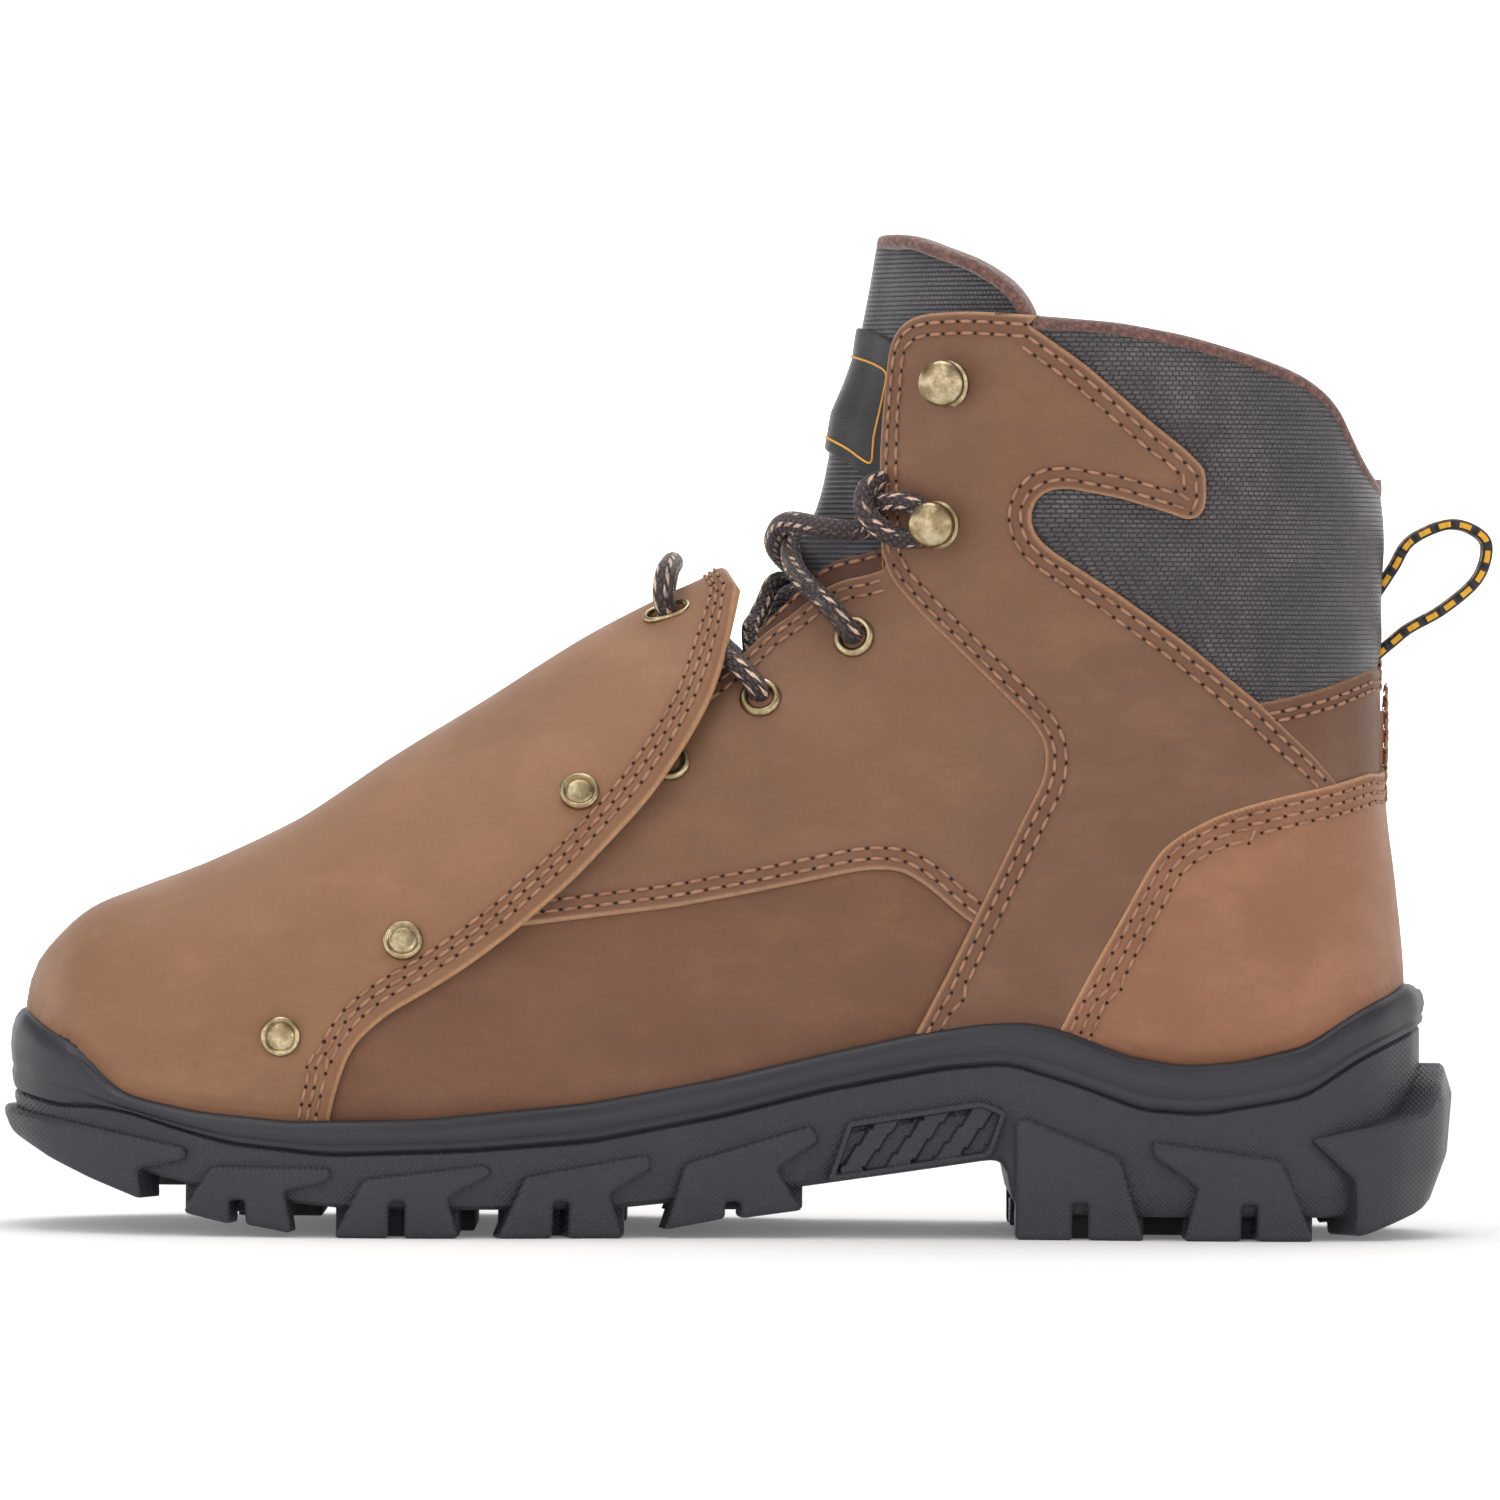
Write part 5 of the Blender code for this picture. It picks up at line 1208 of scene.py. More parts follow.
def rubber(name, colour, texture=0.0, roughness=0.5):
    """Moulded rubber: a faint bloom, a fine skin and, on the tread's walls, a fine crossed texture."""
    made, tree, shader = shader_of(name, roughness, specular_ior_level=0.36)
    place = place_of(tree)
    bloom = noise(tree, place, 40, 4, 0.6)
    fine = noise(tree, place, 1800, 3, 0.6)
    light = tuple(c * 1.5 for c in colour)
    base = blend(tree, stepped(tree, bloom, 0.35, 0.75, 0, 0.5), colour, light)
    base = blend(tree, stepped(tree, fine, 0.4, 0.7, 0, 0.15), base, light)
    tree.links.new(base, shader.inputs["Base Color"])
    dulled = stepped(tree, bloom, 0.3, 0.7, roughness - 0.07, roughness + 0.08)
    tree.links.new(dulled, shader.inputs["Roughness"])
    layers = [(fine, 0.22, 0.00006)]
    if texture:
        crossed = [waves(tree, 380, (0, lean, 0)) for lean in (0.8, -0.8)]
        layers.append((maths(tree, "MULTIPLY", *crossed), texture, 0.00025))
    bumped(tree, shader, layers)
    return made


def woven(name, colour, light, ribs_under=0.0, cell=0.00155):
    """Coarse black nylon: short flat yarns in a staggered weave with a little shine, and ribs under a height. Painted
    highlight on the tops of the yarns and ribs, painted shade in the gaps.
    """
    made, tree, shader = shader_of(name, 0.42, specular_ior_level=0.5, sheen_weight=0.1)
    round_it, up = attribute(tree, "weave_round"), attribute(tree, "weave_up")
    grid = add(tree, "ShaderNodeCombineXYZ", {0: round_it, 1: up})
    bricks = add(tree, "ShaderNodeTexBrick", {
        "Vector": grid.outputs[0], "Color1": (1, 1, 1, 1), "Color2": (0.55, 0.55, 0.55, 1),
        "Mortar": (0, 0, 0, 1), "Scale": 1 / cell, "Mortar Size": 0.15, "Mortar Smooth": 1.0,
        "Brick Width": 0.95, "Row Height": 0.66,
    })
    ribs = stepped(tree, maths(tree, "PINGPONG", maths(tree, "DIVIDE", up, 0.00055), 1.0), 0.0, 0.8, 0.1, 0.8)
    low = stepped(tree, up, ribs_under, ribs_under + 0.0015, 1, 0)
    yarn = blend(tree, low, bricks.outputs["Color"], ribs)
    fuzz = noise(tree, place_of(tree), 4000, 2, 0.6)
    edge_wear_and_yarn_highlight = noise(tree, place_of(tree), 60, 4, 0.6)
    # Painted shade: the gaps between yarns and the ribs' grooves go down to a fifth of the yarn's colour
    base = blend(tree, yarn, tuple(c * 0.22 for c in colour), colour)
    # Painted highlight: the yarns' tops are mixed towards the paler colour, more strongly in random patches
    base = blend(tree, maths(tree, "MULTIPLY", stepped(tree, edge_wear_and_yarn_highlight, 0.4, 0.75, 0.1, 0.5), yarn), base, light)
    base = blend(tree, stepped(tree, fuzz, 0.45, 0.7, 0, 0.30), base, light)
    tree.links.new(base, shader.inputs["Base Color"])
    bumped(tree, shader, ((yarn, 0.9, 0.00045), (fuzz, 0.2, 0.00008)))
    return made


def lining(name, colour):
    """A soft knitted lining."""
    made, tree, shader = shader_of(name, 0.9, sheen_weight=0.4)
    place = place_of(tree)
    cells = add(tree, "ShaderNodeTexVoronoi", {"Vector": place, "Scale": 620}).outputs["Distance"]
    fuzz = noise(tree, place, 1500, 3, 0.6)
    base = blend(tree, stepped(tree, cells, 0.1, 0.6), colour, tuple(c * 0.45 for c in colour))
    base = blend(tree, stepped(tree, fuzz, 0.4, 0.7, 0, 0.4), base, tuple(c * 1.5 for c in colour))
    tree.links.new(base, shader.inputs["Base Color"])
    bumped(tree, shader, ((cells, 0.6, 0.0004), (fuzz, 0.3, 0.0001)))
    return made


def thread(name, colour, dark):
    """Twisted sewing thread."""
    made, tree, shader = shader_of(name, 0.6, specular_ior_level=0.4)
    strands = waves(tree, 1100, (0.5, 0.7, 0.3))
    shade = noise(tree, place_of(tree), 300, 2)
    base = blend(tree, strands, dark, colour)
    base = blend(tree, stepped(tree, shade, 0.4, 0.7, 0, 0.5), base, dark)
    tree.links.new(base, shader.inputs["Base Color"])
    bumped(tree, shader, ((strands, 0.5, 0.00008),))
    return made


def antique_brass(name, colour, worn):
    """Brass with a brown patina, rubbed bright in random patches and flecked with dark specks."""
    made, tree, shader = shader_of(name, 0.3, metallic=1.0)
    place = place_of(tree)
    patina = noise(tree, place, 260, 5, 0.65)
    specks = noise(tree, place, 1700, 3, 0.6)
    base = blend(tree, stepped(tree, patina, 0.38, 0.66), colour, worn)
    base = blend(tree, stepped(tree, specks, 0.56, 0.7, 0, 0.5), base, tuple(c * 0.4 for c in colour))
    tree.links.new(base, shader.inputs["Base Color"])
    tree.links.new(stepped(tree, patina, 0.3, 0.7, 0.40, 0.24), shader.inputs["Roughness"])
    bumped(tree, shader, ((patina, 0.12, 0.0003), (specks, 0.1, 0.00005)))
    return made


def braided(name, colour, fleck, dark, pitch=0.0019, strands=8):
    """A round braided lace: fine crossing strands by its length and turn, with dashed pale lines."""
    made, tree, shader = shader_of(name, 0.5, sheen_weight=0.1)
    along = maths(tree, "DIVIDE", attribute(tree, "along"), pitch)
    turn = maths(tree, "MULTIPLY", attribute(tree, "round"), strands)
    crossed = [maths(tree, how, along, turn) for how in ("ADD", "SUBTRACT")]
    folded = [maths(tree, "PINGPONG", value, 0.5) for value in crossed]
    ridge = maths(tree, "MULTIPLY", *[stepped(tree, value, 0.02, 0.30) for value in folded])
    lines = maths(tree, "PINGPONG", maths(tree, "MULTIPLY", attribute(tree, "round"), 5.0), 0.5)
    dashes = maths(tree, "PINGPONG", maths(tree, "ADD", maths(tree, "MULTIPLY", along, 0.55), turn), 0.5)
    patches = noise(tree, place_of(tree), 130, 2)
    pale = maths(tree, "MULTIPLY", stepped(tree, lines, 0.30, 0.36), stepped(tree, dashes, 0.20, 0.28))
    pale = maths(tree, "MULTIPLY", pale, stepped(tree, patches, 0.40, 0.52))
    base = blend(tree, ridge, dark, colour)
    base = blend(tree, pale, base, fleck)
    tree.links.new(base, shader.inputs["Base Color"])
    bumped(tree, shader, ((ridge, 0.9, 0.0003), (noise(tree, place_of(tree), 3500, 2), 0.3, 0.0001)))
    return made


def webbing(name, colour, dash, dark):
    """Flat black webbing with amber dashes woven beside both edges and along their middle."""
    made, tree, shader = shader_of(name, 0.7, sheen_weight=0.1)
    along = attribute(tree, "along")
    rows = maths(tree, "PINGPONG", maths(tree, "DIVIDE", along, 0.0009), 1.0)
    dashes = stepped(tree, maths(tree, "FRACT", maths(tree, "DIVIDE", along, 0.0046)), 0.40, 0.46)
    from_edge, from_face = attribute(tree, "from_edge"), attribute(tree, "from_face")
    bands = (
        (stepped(tree, from_edge, 0.0010, 0.0012), stepped(tree, from_edge, 0.0026, 0.0028, 1, 0)),
        (stepped(tree, from_edge, 0.0008, 0.0010, 1, 0), stepped(tree, from_face, 0.00055, 0.00070)),
    )
    beside, middle = (maths(tree, "MULTIPLY", *band) for band in bands)
    base = blend(tree, rows, dark, colour)
    base = blend(tree, maths(tree, "MULTIPLY", dashes, maths(tree, "MAXIMUM", beside, middle)), base, dash)
    tree.links.new(base, shader.inputs["Base Color"])
    bumped(tree, shader, ((rows, 0.7, 0.0003),))
    return made


LEATHERS = {
    "vamp": leather("vamp_nubuck", srgb(119, 82, 60), srgb(170, 130, 98)),
    "guard": leather("guard_nubuck", srgb(143, 103, 75), srgb(192, 146, 108), (0.0060, 0.0085)),
    "quarter": leather("quarter_nubuck", srgb(126, 91, 69), srgb(176, 136, 106), (0.0046, 0.0070)),
    "shaft": leather("shaft_nubuck", srgb(123, 88, 66), srgb(176, 132, 100), (0.0044, 0.0066)),
    "backstay": leather("backstay_nubuck", srgb(112, 78, 56), srgb(150, 110, 84), (0.0044, 0.0066)),
    "counter": leather("counter_nubuck", srgb(153, 107, 79), srgb(190, 146, 110), (0.0062, 0.0085)),
    "gusset": leather("gusset_nubuck", srgb(92, 60, 46), srgb(120, 84, 68), (0.0026, 0.0040)),
}
# Each weave's second colour is the painted highlight on its yarns' tops
BLACK_WEAVE = woven("black_nylon", srgb(54, 50, 53), srgb(128, 120, 124))
TONGUE_WEAVE = woven("tongue_nylon", srgb(54, 52, 56), srgb(118, 114, 120), 0.168)
AMBER = rubber("amber_thread", srgb(206, 150, 66), 0.0, 0.6)
KNIT = lining("knit_lining", srgb(58, 56, 60))
BINDING = lining("brown_binding", srgb(124, 86, 78))
THREAD = thread("brown_thread", srgb(206, 158, 126), srgb(112, 72, 54))
# The painted shade of the needle holes between stitches
HOLE_SHADE = rubber("needle_hole_shade", srgb(44, 28, 22), 0.0, 0.9)
SMOOTH_RUBBER = rubber("midsole_rubber", srgb(46, 46, 51), 0.0, 0.46)
TREAD_RUBBER = rubber("outsole_rubber", srgb(48, 48, 53), 0.5, 0.48)
BRASS = antique_brass("antique_brass", srgb(146, 126, 94), srgb(198, 182, 148))
LACE = braided("braided_lace", srgb(70, 50, 50), srgb(226, 190, 166), srgb(24, 16, 17))
WEBBING = webbing("loop_webbing", srgb(46, 44, 46), srgb(226, 166, 40), srgb(16, 15, 17))
# The label cloth's second colour is the painted highlight on its yarns' tops
LABEL_CLOTH = woven("label_cloth", srgb(34, 34, 38), srgb(58, 58, 62), 0.0, 0.0006)


# Upper

RIM_PLACES, RIM_HEIGHTS = zip(*[(x * BOOT_LENGTH, z * SOLE_HEIGHT) for x, z in RIM])


def rim_line(start, end):
    """A line a little below the sole's rim, between two places along the boot."""
    x = np.arange(start, end, EDGE_STEP * (1 if end > start else -1))
    return np.stack((x, np.interp(x, RIM_PLACES, RIM_HEIGHTS) - SINK), 1)


def both_sides(line):
    """One line of the side view on both sides of the boot: outer side forward, inner side backward."""
    return on_skin(line, 1), on_skin(line, -1)[::-1]


THROAT_LINE = side_line(MOUTH[:10])
FACING_LINE = side_line(MOUTH[9:18], 0.006)
COLLAR_TOP_LINE = side_line(MOUTH[17:], 0.008)
MOUTH_LINE = side_line(MOUTH, 0.006)
GUARD_LINE = side_line(GUARD_EDGE, 0.008)
QUARTER_LINE = side_line(QUARTER_LOW, 0.006)
SHAFT_FRONT_LINE = side_line(SHAFT_FRONT, 0.007)
COLLAR_FRONT_LINE = side_line(COLLAR_FRONT, 0.0030)
SHAFT_BACK_LINE = side_line(SHAFT_BACK)
COLLAR_LOW_LINE = side_line(COLLAR_LOW)
COUNTER_LINE = side_line(COUNTER_EDGE, 0.006)
TONGUE_LINE = side_line(TONGUE_EDGE, 0.006)


def make_upper():
    """The vamp leather and its lining: one sock from toe to collar, open at the mouth."""
    lateral = on_skin(MOUTH_LINE, 1)
    medial = on_skin(MOUTH_LINE, -1)
    back = lateral[-1, 0]
    seam = np.arange(0, back, 0.25)
    loop = closed_loop(
        np.stack((seam, np.full(len(seam), -pi + 1e-4)), 1), medial[::-1], lateral,
        np.stack((seam[::-1], np.full(len(seam), pi - 1e-4)), 1),
    )
    made = panel(
        "upper_vamp", loop, leather_face(0.0), level(-UPPER_WALL), LEATHERS["vamp"], ring_distances(()), 0.0026, KNIT,
    )
    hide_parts("upper")


def make_quarter(side):
    """A leather side panel between the guard and the shaft panel."""
    sign = SIDES[side]
    under_shaft = side_line(QUARTER_UNDER_SHAFT)
    under_guard = side_line(QUARTER_UNDER_GUARD)
    stretches = (QUARTER_LINE, under_shaft, THROAT_LINE[::-1], under_guard)
    lines = [on_skin(line, sign, QUARTER_OUT) for line in stretches]
    loop = closed_loop(*lines)
    leather_panel(
        f"quarter_panel_{side}", f"quarter_{side}", loop, QUARTER_OUT, QUARTER_ROWS, "quarter",
    )
    face = leather_face(QUARTER_OUT)
    stitched = [(lines[0], row, face, loop, (0.0, 0.014)) for row in QUARTER_ROWS]
    stitched += [(lines[2], row, face, loop, (0.0, 0.006)) for row in QUARTER_ROWS]
    stitches(f"quarter_stitches_{side}", stitched)


def make_gusset(side):
    """The darker strip of soft leather that shows over the quarter's throat edge, with a row of stitches."""
    sign = SIDES[side]
    low = THROAT_LINE[THROAT_LINE[:, 0] > GUSSET_START * BOOT_LENGTH]
    share = np.clip((low[:, 0] - low[0, 0]) / 0.012, 0, 1)
    high = low + np.stack((0 * share, GUSSET_WIDTH * (0.35 + 0.65 * share)), 1)
    under = low - (0.0, 0.003)
    edge = on_skin(high, sign)
    loop = closed_loop(edge, on_skin(under[::-1], sign))
    face = leather_face(GUSSET_OUT, (GUSSET_ROW,))
    made = panel(
        f"throat_gusset_{side}", loop, face, level(GUSSET_OUT - GUSSET_WALL), LEATHERS["gusset"],
        ring_distances((GUSSET_ROW,)),
    )
    row = (edge, GUSSET_ROW, leather_face(GUSSET_OUT), loop, (0.001, 0.001))
    stitches(f"gusset_stitches_{side}", [row])


def make_shaft_panel(side):
    """The panel from the sole up to the hooks, with its arm back over the collar."""
    sign = SIDES[side]
    foot = rim_line(SHAFT_BACK[-1][0] * BOOT_LENGTH, SHAFT_FRONT[-1][0] * BOOT_LENGTH)
    back = side_line((SHAFT_BACK[-1], (SHAFT_BACK[-1][0], 0.24)))
    lines = [on_skin(line, sign, SHAFT_OUT) for line in (
        SHAFT_FRONT_LINE[::-1], FACING_LINE, COLLAR_FRONT_LINE, SHAFT_BACK_LINE, back, foot,
    )]
    loop = closed_loop(*lines)
    leather_panel(
        f"shaft_panel_leather_{side}", f"shaft_panel_{side}", loop, SHAFT_OUT, SHAFT_ROWS, "shaft",
    )
    face = leather_face(SHAFT_OUT)
    stitched = []
    for row in SHAFT_ROWS:
        stitched.append((lines[0], row, face, loop, (0.003, 0.003)))
        stitched.append((lines[1], row, face, loop, (0.003, 0.001)))
        stitched.append((np.concatenate((lines[2], lines[3])), row, face, loop, (0.001, 0.004)))
    stitches(f"shaft_stitches_{side}", stitched)


def make_heel_band(top, low, out, rows, names, look):
    """A leather band round the back of the boot, stitched along its top edge.

    names are the band's own, its CAD node's and its stitches'.
    """
    name, node, stitched = names
    lateral, medial = round_heel(top, out)
    loop = closed_loop(lateral, medial, round_back(on_skin(low, -1)), on_skin(low[::-1], 1))
    leather_panel(name, node, loop, out, rows, look)
    edge = np.concatenate((lateral, medial))
    stitches(stitched, [(edge, row, leather_face(out), loop, (0.004, 0.004)) for row in rows])


def make_heel():
    """The backstay between the collar and the counter, and the counter down to the sole."""
    make_heel_band(
        side_line(BACKSTAY_TOP), side_line(BACKSTAY_LOW), BACKSTAY_OUT, BACKSTAY_ROWS,
        ("backstay_leather", "backstay", "backstay_stitches"), "backstay",
    )
    low = rim_line(COUNTER_EDGE[0][0] * BOOT_LENGTH, COUNTER_EDGE[-1][0] * BOOT_LENGTH)[::-1]
    make_heel_band(
        COUNTER_LINE[::-1], low, COUNTER_OUT, COUNTER_ROWS,
        ("heel_counter_leather", "heel_counter", "counter_stitches"), "counter",
    )


def skin_level(at, angle):
    """No height over the skin."""
    return 0 * at


def add_weave(made, angle, face):
    """A woven piece's flat directions: round the boot from its front (angle 0) or its back (pi), and up it."""
    points = read_points(made)
    at = np.linspace(10, LAST_SECTION, 60)
    middle = placed(at, np.full(60, angle), face(at, np.full(60, angle)))
    rising = middle[middle[:, 2].argsort()]
    off = np.abs(points[:, 0] - np.interp(points[:, 2], rising[:, 2], rising[:, 0]))
    flat = np.copysign(np.abs(points[:, 1]) + off, points[:, 1])
    write_values(made.data, {"weave_round": flat, "weave_up": points[:, 2]})


def make_collar():
    """The padded black collar round the back of the ankle and its brown binding."""
    top, under, low = COLLAR_TOP_LINE, side_line(COLLAR_UNDER), side_line(COLLAR_UNDER_LOW)
    front_top = side_line((COLLAR_UNDER[0], MOUTH[17]))
    full_top = np.concatenate((front_top, top))
    lateral = [on_skin(line, 1) for line in (under, low)]
    medial = [round_back(on_skin(line, -1)) for line in (low[::-1], under[::-1])]
    loop = closed_loop(*lateral, *medial, round_back(on_skin(full_top, -1)), on_skin(full_top[::-1], 1))
    seen = [on_skin(line, sign) for sign in (1, -1) for line in (COLLAR_FRONT_LINE, COLLAR_LOW_LINE, top)]
    shown = tree_of(skin(*np.concatenate(seen).T))
    covers = [
        np.concatenate((SHAFT_FRONT_LINE[::-1], FACING_LINE, COLLAR_FRONT_LINE, SHAFT_BACK_LINE)),
        np.concatenate((COLLAR_LOW_LINE, side_line(BELOW_COLLAR))),
    ]

    def puffed(at, angle, gap):
        """Soft away from its seams, and flat where leather covers it."""
        points = skin(at, angle)[:, (0, 2)]
        covered = inside(points, covers[0]) | inside(points, covers[1])
        swell = np.where(covered, 0, 1 - np.exp(-gap / COLLAR_SOFTNESS))
        return COLLAR_LOW_HEIGHT + COLLAR_PUFF * swell + edge_round(gap, 0.001, 0.0004) * ~covered

    made = panel(
        "collar_pad", loop, puffed, level(CLEARANCE), BLACK_WEAVE, (0.0008, 0.0016, 0.003), 0.0020, shown_edge=shown,
    )
    add_weave(made, pi, skin_level)
    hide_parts("padded_collar")
    edge = np.concatenate(round_heel(top))
    edge = inset(edge, BINDING_HEIGHT / 2, inward=side_within(edge, loop))
    brim = placed(*edge.T, 0.0002)
    spread = clear_of_last(brim)
    outs = skin_normals(*edge[spread].T)
    binding = swept("collar_binding", brim[spread], oval(BINDING_HEIGHT, 0.0046, 14, 2.4), BINDING, outs)


def make_collar_lining():
    """The padded lining inside the collar."""
    low = side_line(LINING_LOW)
    top = MOUTH_LINE[LINING_START:]
    lateral, medial = on_skin(top, 1), round_back(on_skin(top, -1))
    loop = closed_loop(on_skin(low, 1), round_back(on_skin(low[::-1], -1)), medial, lateral[::-1])

    def puffed(at, angle, gap):
        """Soft away from its edge."""
        return -UPPER_WALL - LINING_PUFF * (1 - np.exp(-gap / COLLAR_SOFTNESS))

    made = panel("collar_lining", loop, puffed, level(-UPPER_WALL * 0.6), KNIT, (0.001, 0.003), 0.0026)


def guard_rise(at, angle):
    """The guard's inner face lifts off the upper behind the toe, to clear the quarters and the tongue."""
    behind = at - GUARD_LIFT_START
    rise = GUARD_RISE_PER_SECTION * np.maximum(behind, 0) * (1 + GUARD_SIDE_RISE * np.sin(angle) ** 2)
    top = 0.25 + 0.75 * np.maximum(np.cos(angle), 0) ** 2
    return CLEARANCE + rise + GUARD_LIFT * eased(behind / GUARD_LIFT_RUN) * top


def guard_top(at, angle):
    """The guard's outer face, away from its edge."""
    return guard_rise(at, angle) + GUARD_WALL


def guard_face(at, angle, gap):
    """The guard's outer face, rounded at its edge and sunk along its stitches."""
    face = leather_face(GUARD_WALL, GUARD_ROWS, 0.0020, 0.0015)
    return guard_rise(at, angle) + face(at, angle, gap)


def without_gap(face):
    """A face that is the same at every distance from its edge."""
    return lambda at, angle, gap: face(at, angle)


def make_guard():
    """The metatarsal guard over the toe and instep, with three rows of stitches along its free edge."""
    front = rim_line(GUARD_EDGE[1][0] * BOOT_LENGTH, -0.832 * BOOT_LENGTH)
    lateral, medial = on_skin(GUARD_LINE, 1, guard_top), on_skin(GUARD_LINE, -1, guard_top)[::-1]
    loop = closed_loop(lateral, medial, on_skin(front, -1), on_skin(front[::-1], 1))
    made = panel(
        "guard_leather", loop, guard_face, without_gap(guard_rise), LEATHERS["guard"], ring_distances(GUARD_ROWS),
        0.0020, KNIT,
    )
    for sign in SIDES.values():
        slot_hole(made, sign)
    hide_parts("metatarsal_guard")
    edge = np.concatenate((lateral, medial))
    face = without_gap(guard_top)
    stitches("guard_stitches", [(edge, row, face, loop, (0.006, 0.006)) for row in GUARD_ROWS])


def tongue_face(at, angle):
    """The tongue swells forward between the throat's edges and tucks behind them."""
    off_middle = np.abs((angle + pi) % (2 * pi) - pi)
    crown = TONGUE_CROWN * eased(at - 10) * (1 - eased((off_middle - 0.10) / 0.20))
    swell = np.interp(at, *np.array(TONGUE_SWELL).T) * (1 - eased((off_middle - 0.30) / 0.45))
    return -TONGUE_DEPTH + crown + swell


def trimmed(made, line):
    """Brings a piece's points that stand over a line of the side view down to it."""
    for vertex in made.data.vertices:
        high = np.interp(vertex.co.x, line[:, 0], line[:, 1])
        vertex.co.z = min(vertex.co.z, high)


def make_tongue():
    """The padded tongue with its woven face and brown binding."""
    lateral, medial = both_sides(TONGUE_LINE)
    loop = closed_loop(lateral, medial)

    def outer(at, angle, gap):
        """The tongue's front, rounded at its edge."""
        return tongue_face(at, angle) + edge_round(gap, TONGUE_ROUND, TONGUE_DROP)

    def inner(at, angle, gap):
        """The tongue's back, rounded at its edge."""
        return tongue_face(at, angle) - TONGUE_WALL - edge_round(gap, TONGUE_ROUND, TONGUE_DROP)

    made = panel("tongue_pad", loop, outer, inner, TONGUE_WEAVE, (0.0006, 0.0012, 0.0020, 0.0030), 0.0022, KNIT)
    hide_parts("tongue")
    top = TONGUE_LINE[: TONGUE_LINE[:, 0].argmax() + 1]
    trimmed(made, top[top[:, 0].argsort()])
    add_weave(made, 0.0, tongue_face)
    edge = np.concatenate((on_skin(top, -1)[::-1], on_skin(top, 1)))
    line = placed(*edge.T, tongue_face(*edge.T) - TONGUE_WALL / 2)
    line[:, (0, 2)] = np.concatenate((top[::-1], top)) + (0.0, -BINDING_HEIGHT / 2)
    spread = clear_of_last(line)
    outs = skin_normals(*edge[spread].T)
    binding = swept("tongue_binding", line[spread], oval(BINDING_HEIGHT, 0.0072, 14, 2.6), BINDING, outs)


def label_frame(low, high, wide, soft):
    """A four-sided line round the front of the tongue, between two sections, with soft corners."""
    corners = [(low, wide), (high, wide), (high, -wide), (low, -wide), (low, wide)]
    corners = np.array(corners) * (1.0, LABEL_ROUND)
    sides = [np.linspace(a, b, LABEL_POINTS)[:-1] for a, b in zip(corners, corners[1:])]
    return softened(np.concatenate(sides), soft) / (1.0, LABEL_ROUND)


def make_label():
    """A plain black label on the tongue, with an amber stitched border and no lettering."""
    loop = label_frame(*LABEL, 0)

    def outer(at, angle, gap):
        """The label's front."""
        return tongue_face(at, angle) + LABEL_HEIGHT + edge_round(gap, 0.0006, 0.0004)

    def inner(at, angle, gap):
        """The label's back, just under the tongue's face."""
        return tongue_face(at, angle) - LABEL_SINK

    made = panel("tongue_label", loop, outer, inner, LABEL_CLOTH, (0.0003, 0.0006), 0.0016)
    add_weave(made, 0.0, tongue_face)
    border = label_frame(*LABEL_BORDER, 6)
    line = placed(*border.T, tongue_face(*border.T) + LABEL_HEIGHT)
    made = swept("tongue_label_border", line, oval(0.0007, 0.0005, 6), AMBER, closed=True)


# Sole


def plan_line():
    """The sole's outline from above, evenly spaced, from the toe's tip along the outer side and back."""
    table = np.array(PLAN) * (BOOT_LENGTH, SOLE_WIDTH, SOLE_WIDTH)
    rows = spline(table, np.linspace(0, len(PLAN) - 1, 240))
    tip, heel = ((x * BOOT_LENGTH, y * SOLE_WIDTH) for x, y in (PLAN_TIP, PLAN_HEEL))
    outer = np.stack((rows[:, 0], rows[:, 2]), 1)
    inner = np.stack((rows[:, 0], -rows[:, 1]), 1)[::-1]
    ring = np.concatenate(([tip], outer, [heel], inner, [tip]))
    ring = softened(resampled(ring, 0.0004)[:-1], 60)
    return resampled(np.concatenate((ring, ring[:1])), 0.0012)[:-1]


WALL = plan_line()
WALL_STEP = np.linalg.norm(np.roll(WALL, -1, axis=0) - WALL, axis=1)
WALL_PLACE = np.concatenate(([0], np.cumsum(WALL_STEP)))
WALL_LENGTH = WALL_PLACE[-1]
WALL_AHEAD = np.roll(WALL, -1, axis=0) - np.roll(WALL, 1, axis=0)
WALL_OUT = unit(np.stack((-WALL_AHEAD[:, 1], WALL_AHEAD[:, 0]), 1))
HEEL_INDEX = int(np.argmax(WALL[:, 0]))


def wall_point(place, z, offset):
    """Points of the sole's side wall, by distance round it from the toe, height and distance out."""
    closed = np.concatenate((WALL, WALL[:1]))
    outs = np.concatenate((WALL_OUT, WALL_OUT[:1]))
    place = np.mod(place, WALL_LENGTH)
    flat = np.stack([np.interp(place, WALL_PLACE, column) for column in closed.T], 1)
    out = np.stack([np.interp(place, WALL_PLACE, column) for column in outs.T], 1)
    flat = flat + unit(out) * np.asarray(offset)[:, None]
    return np.concatenate((flat, np.asarray(z)[:, None]), 1)


def wall_x(place):
    """How far along the boot a distance round the wall is."""
    return np.interp(np.mod(place, WALL_LENGTH), WALL_PLACE, np.concatenate((WALL[:, 0], WALL[:1, 0])))


def wall_place(x, sign):
    """The distance round the wall at which one side reaches a place along the boot."""
    if sign > 0:
        half = slice(int(np.argmin(WALL[: HEEL_INDEX, 0])), HEEL_INDEX + 1)
        return np.interp(x, WALL[half, 0], WALL_PLACE[half])
    order = np.arange(HEEL_INDEX, len(WALL))
    return np.interp(x, WALL[order[::-1], 0], WALL_PLACE[order[::-1]])


def sole_height(table, x):
    """The height of a side line of the sole."""
    rows = np.array(table) * (BOOT_LENGTH, SOLE_HEIGHT)
    return np.interp(x, rows[:, 0], rows[:, 1])


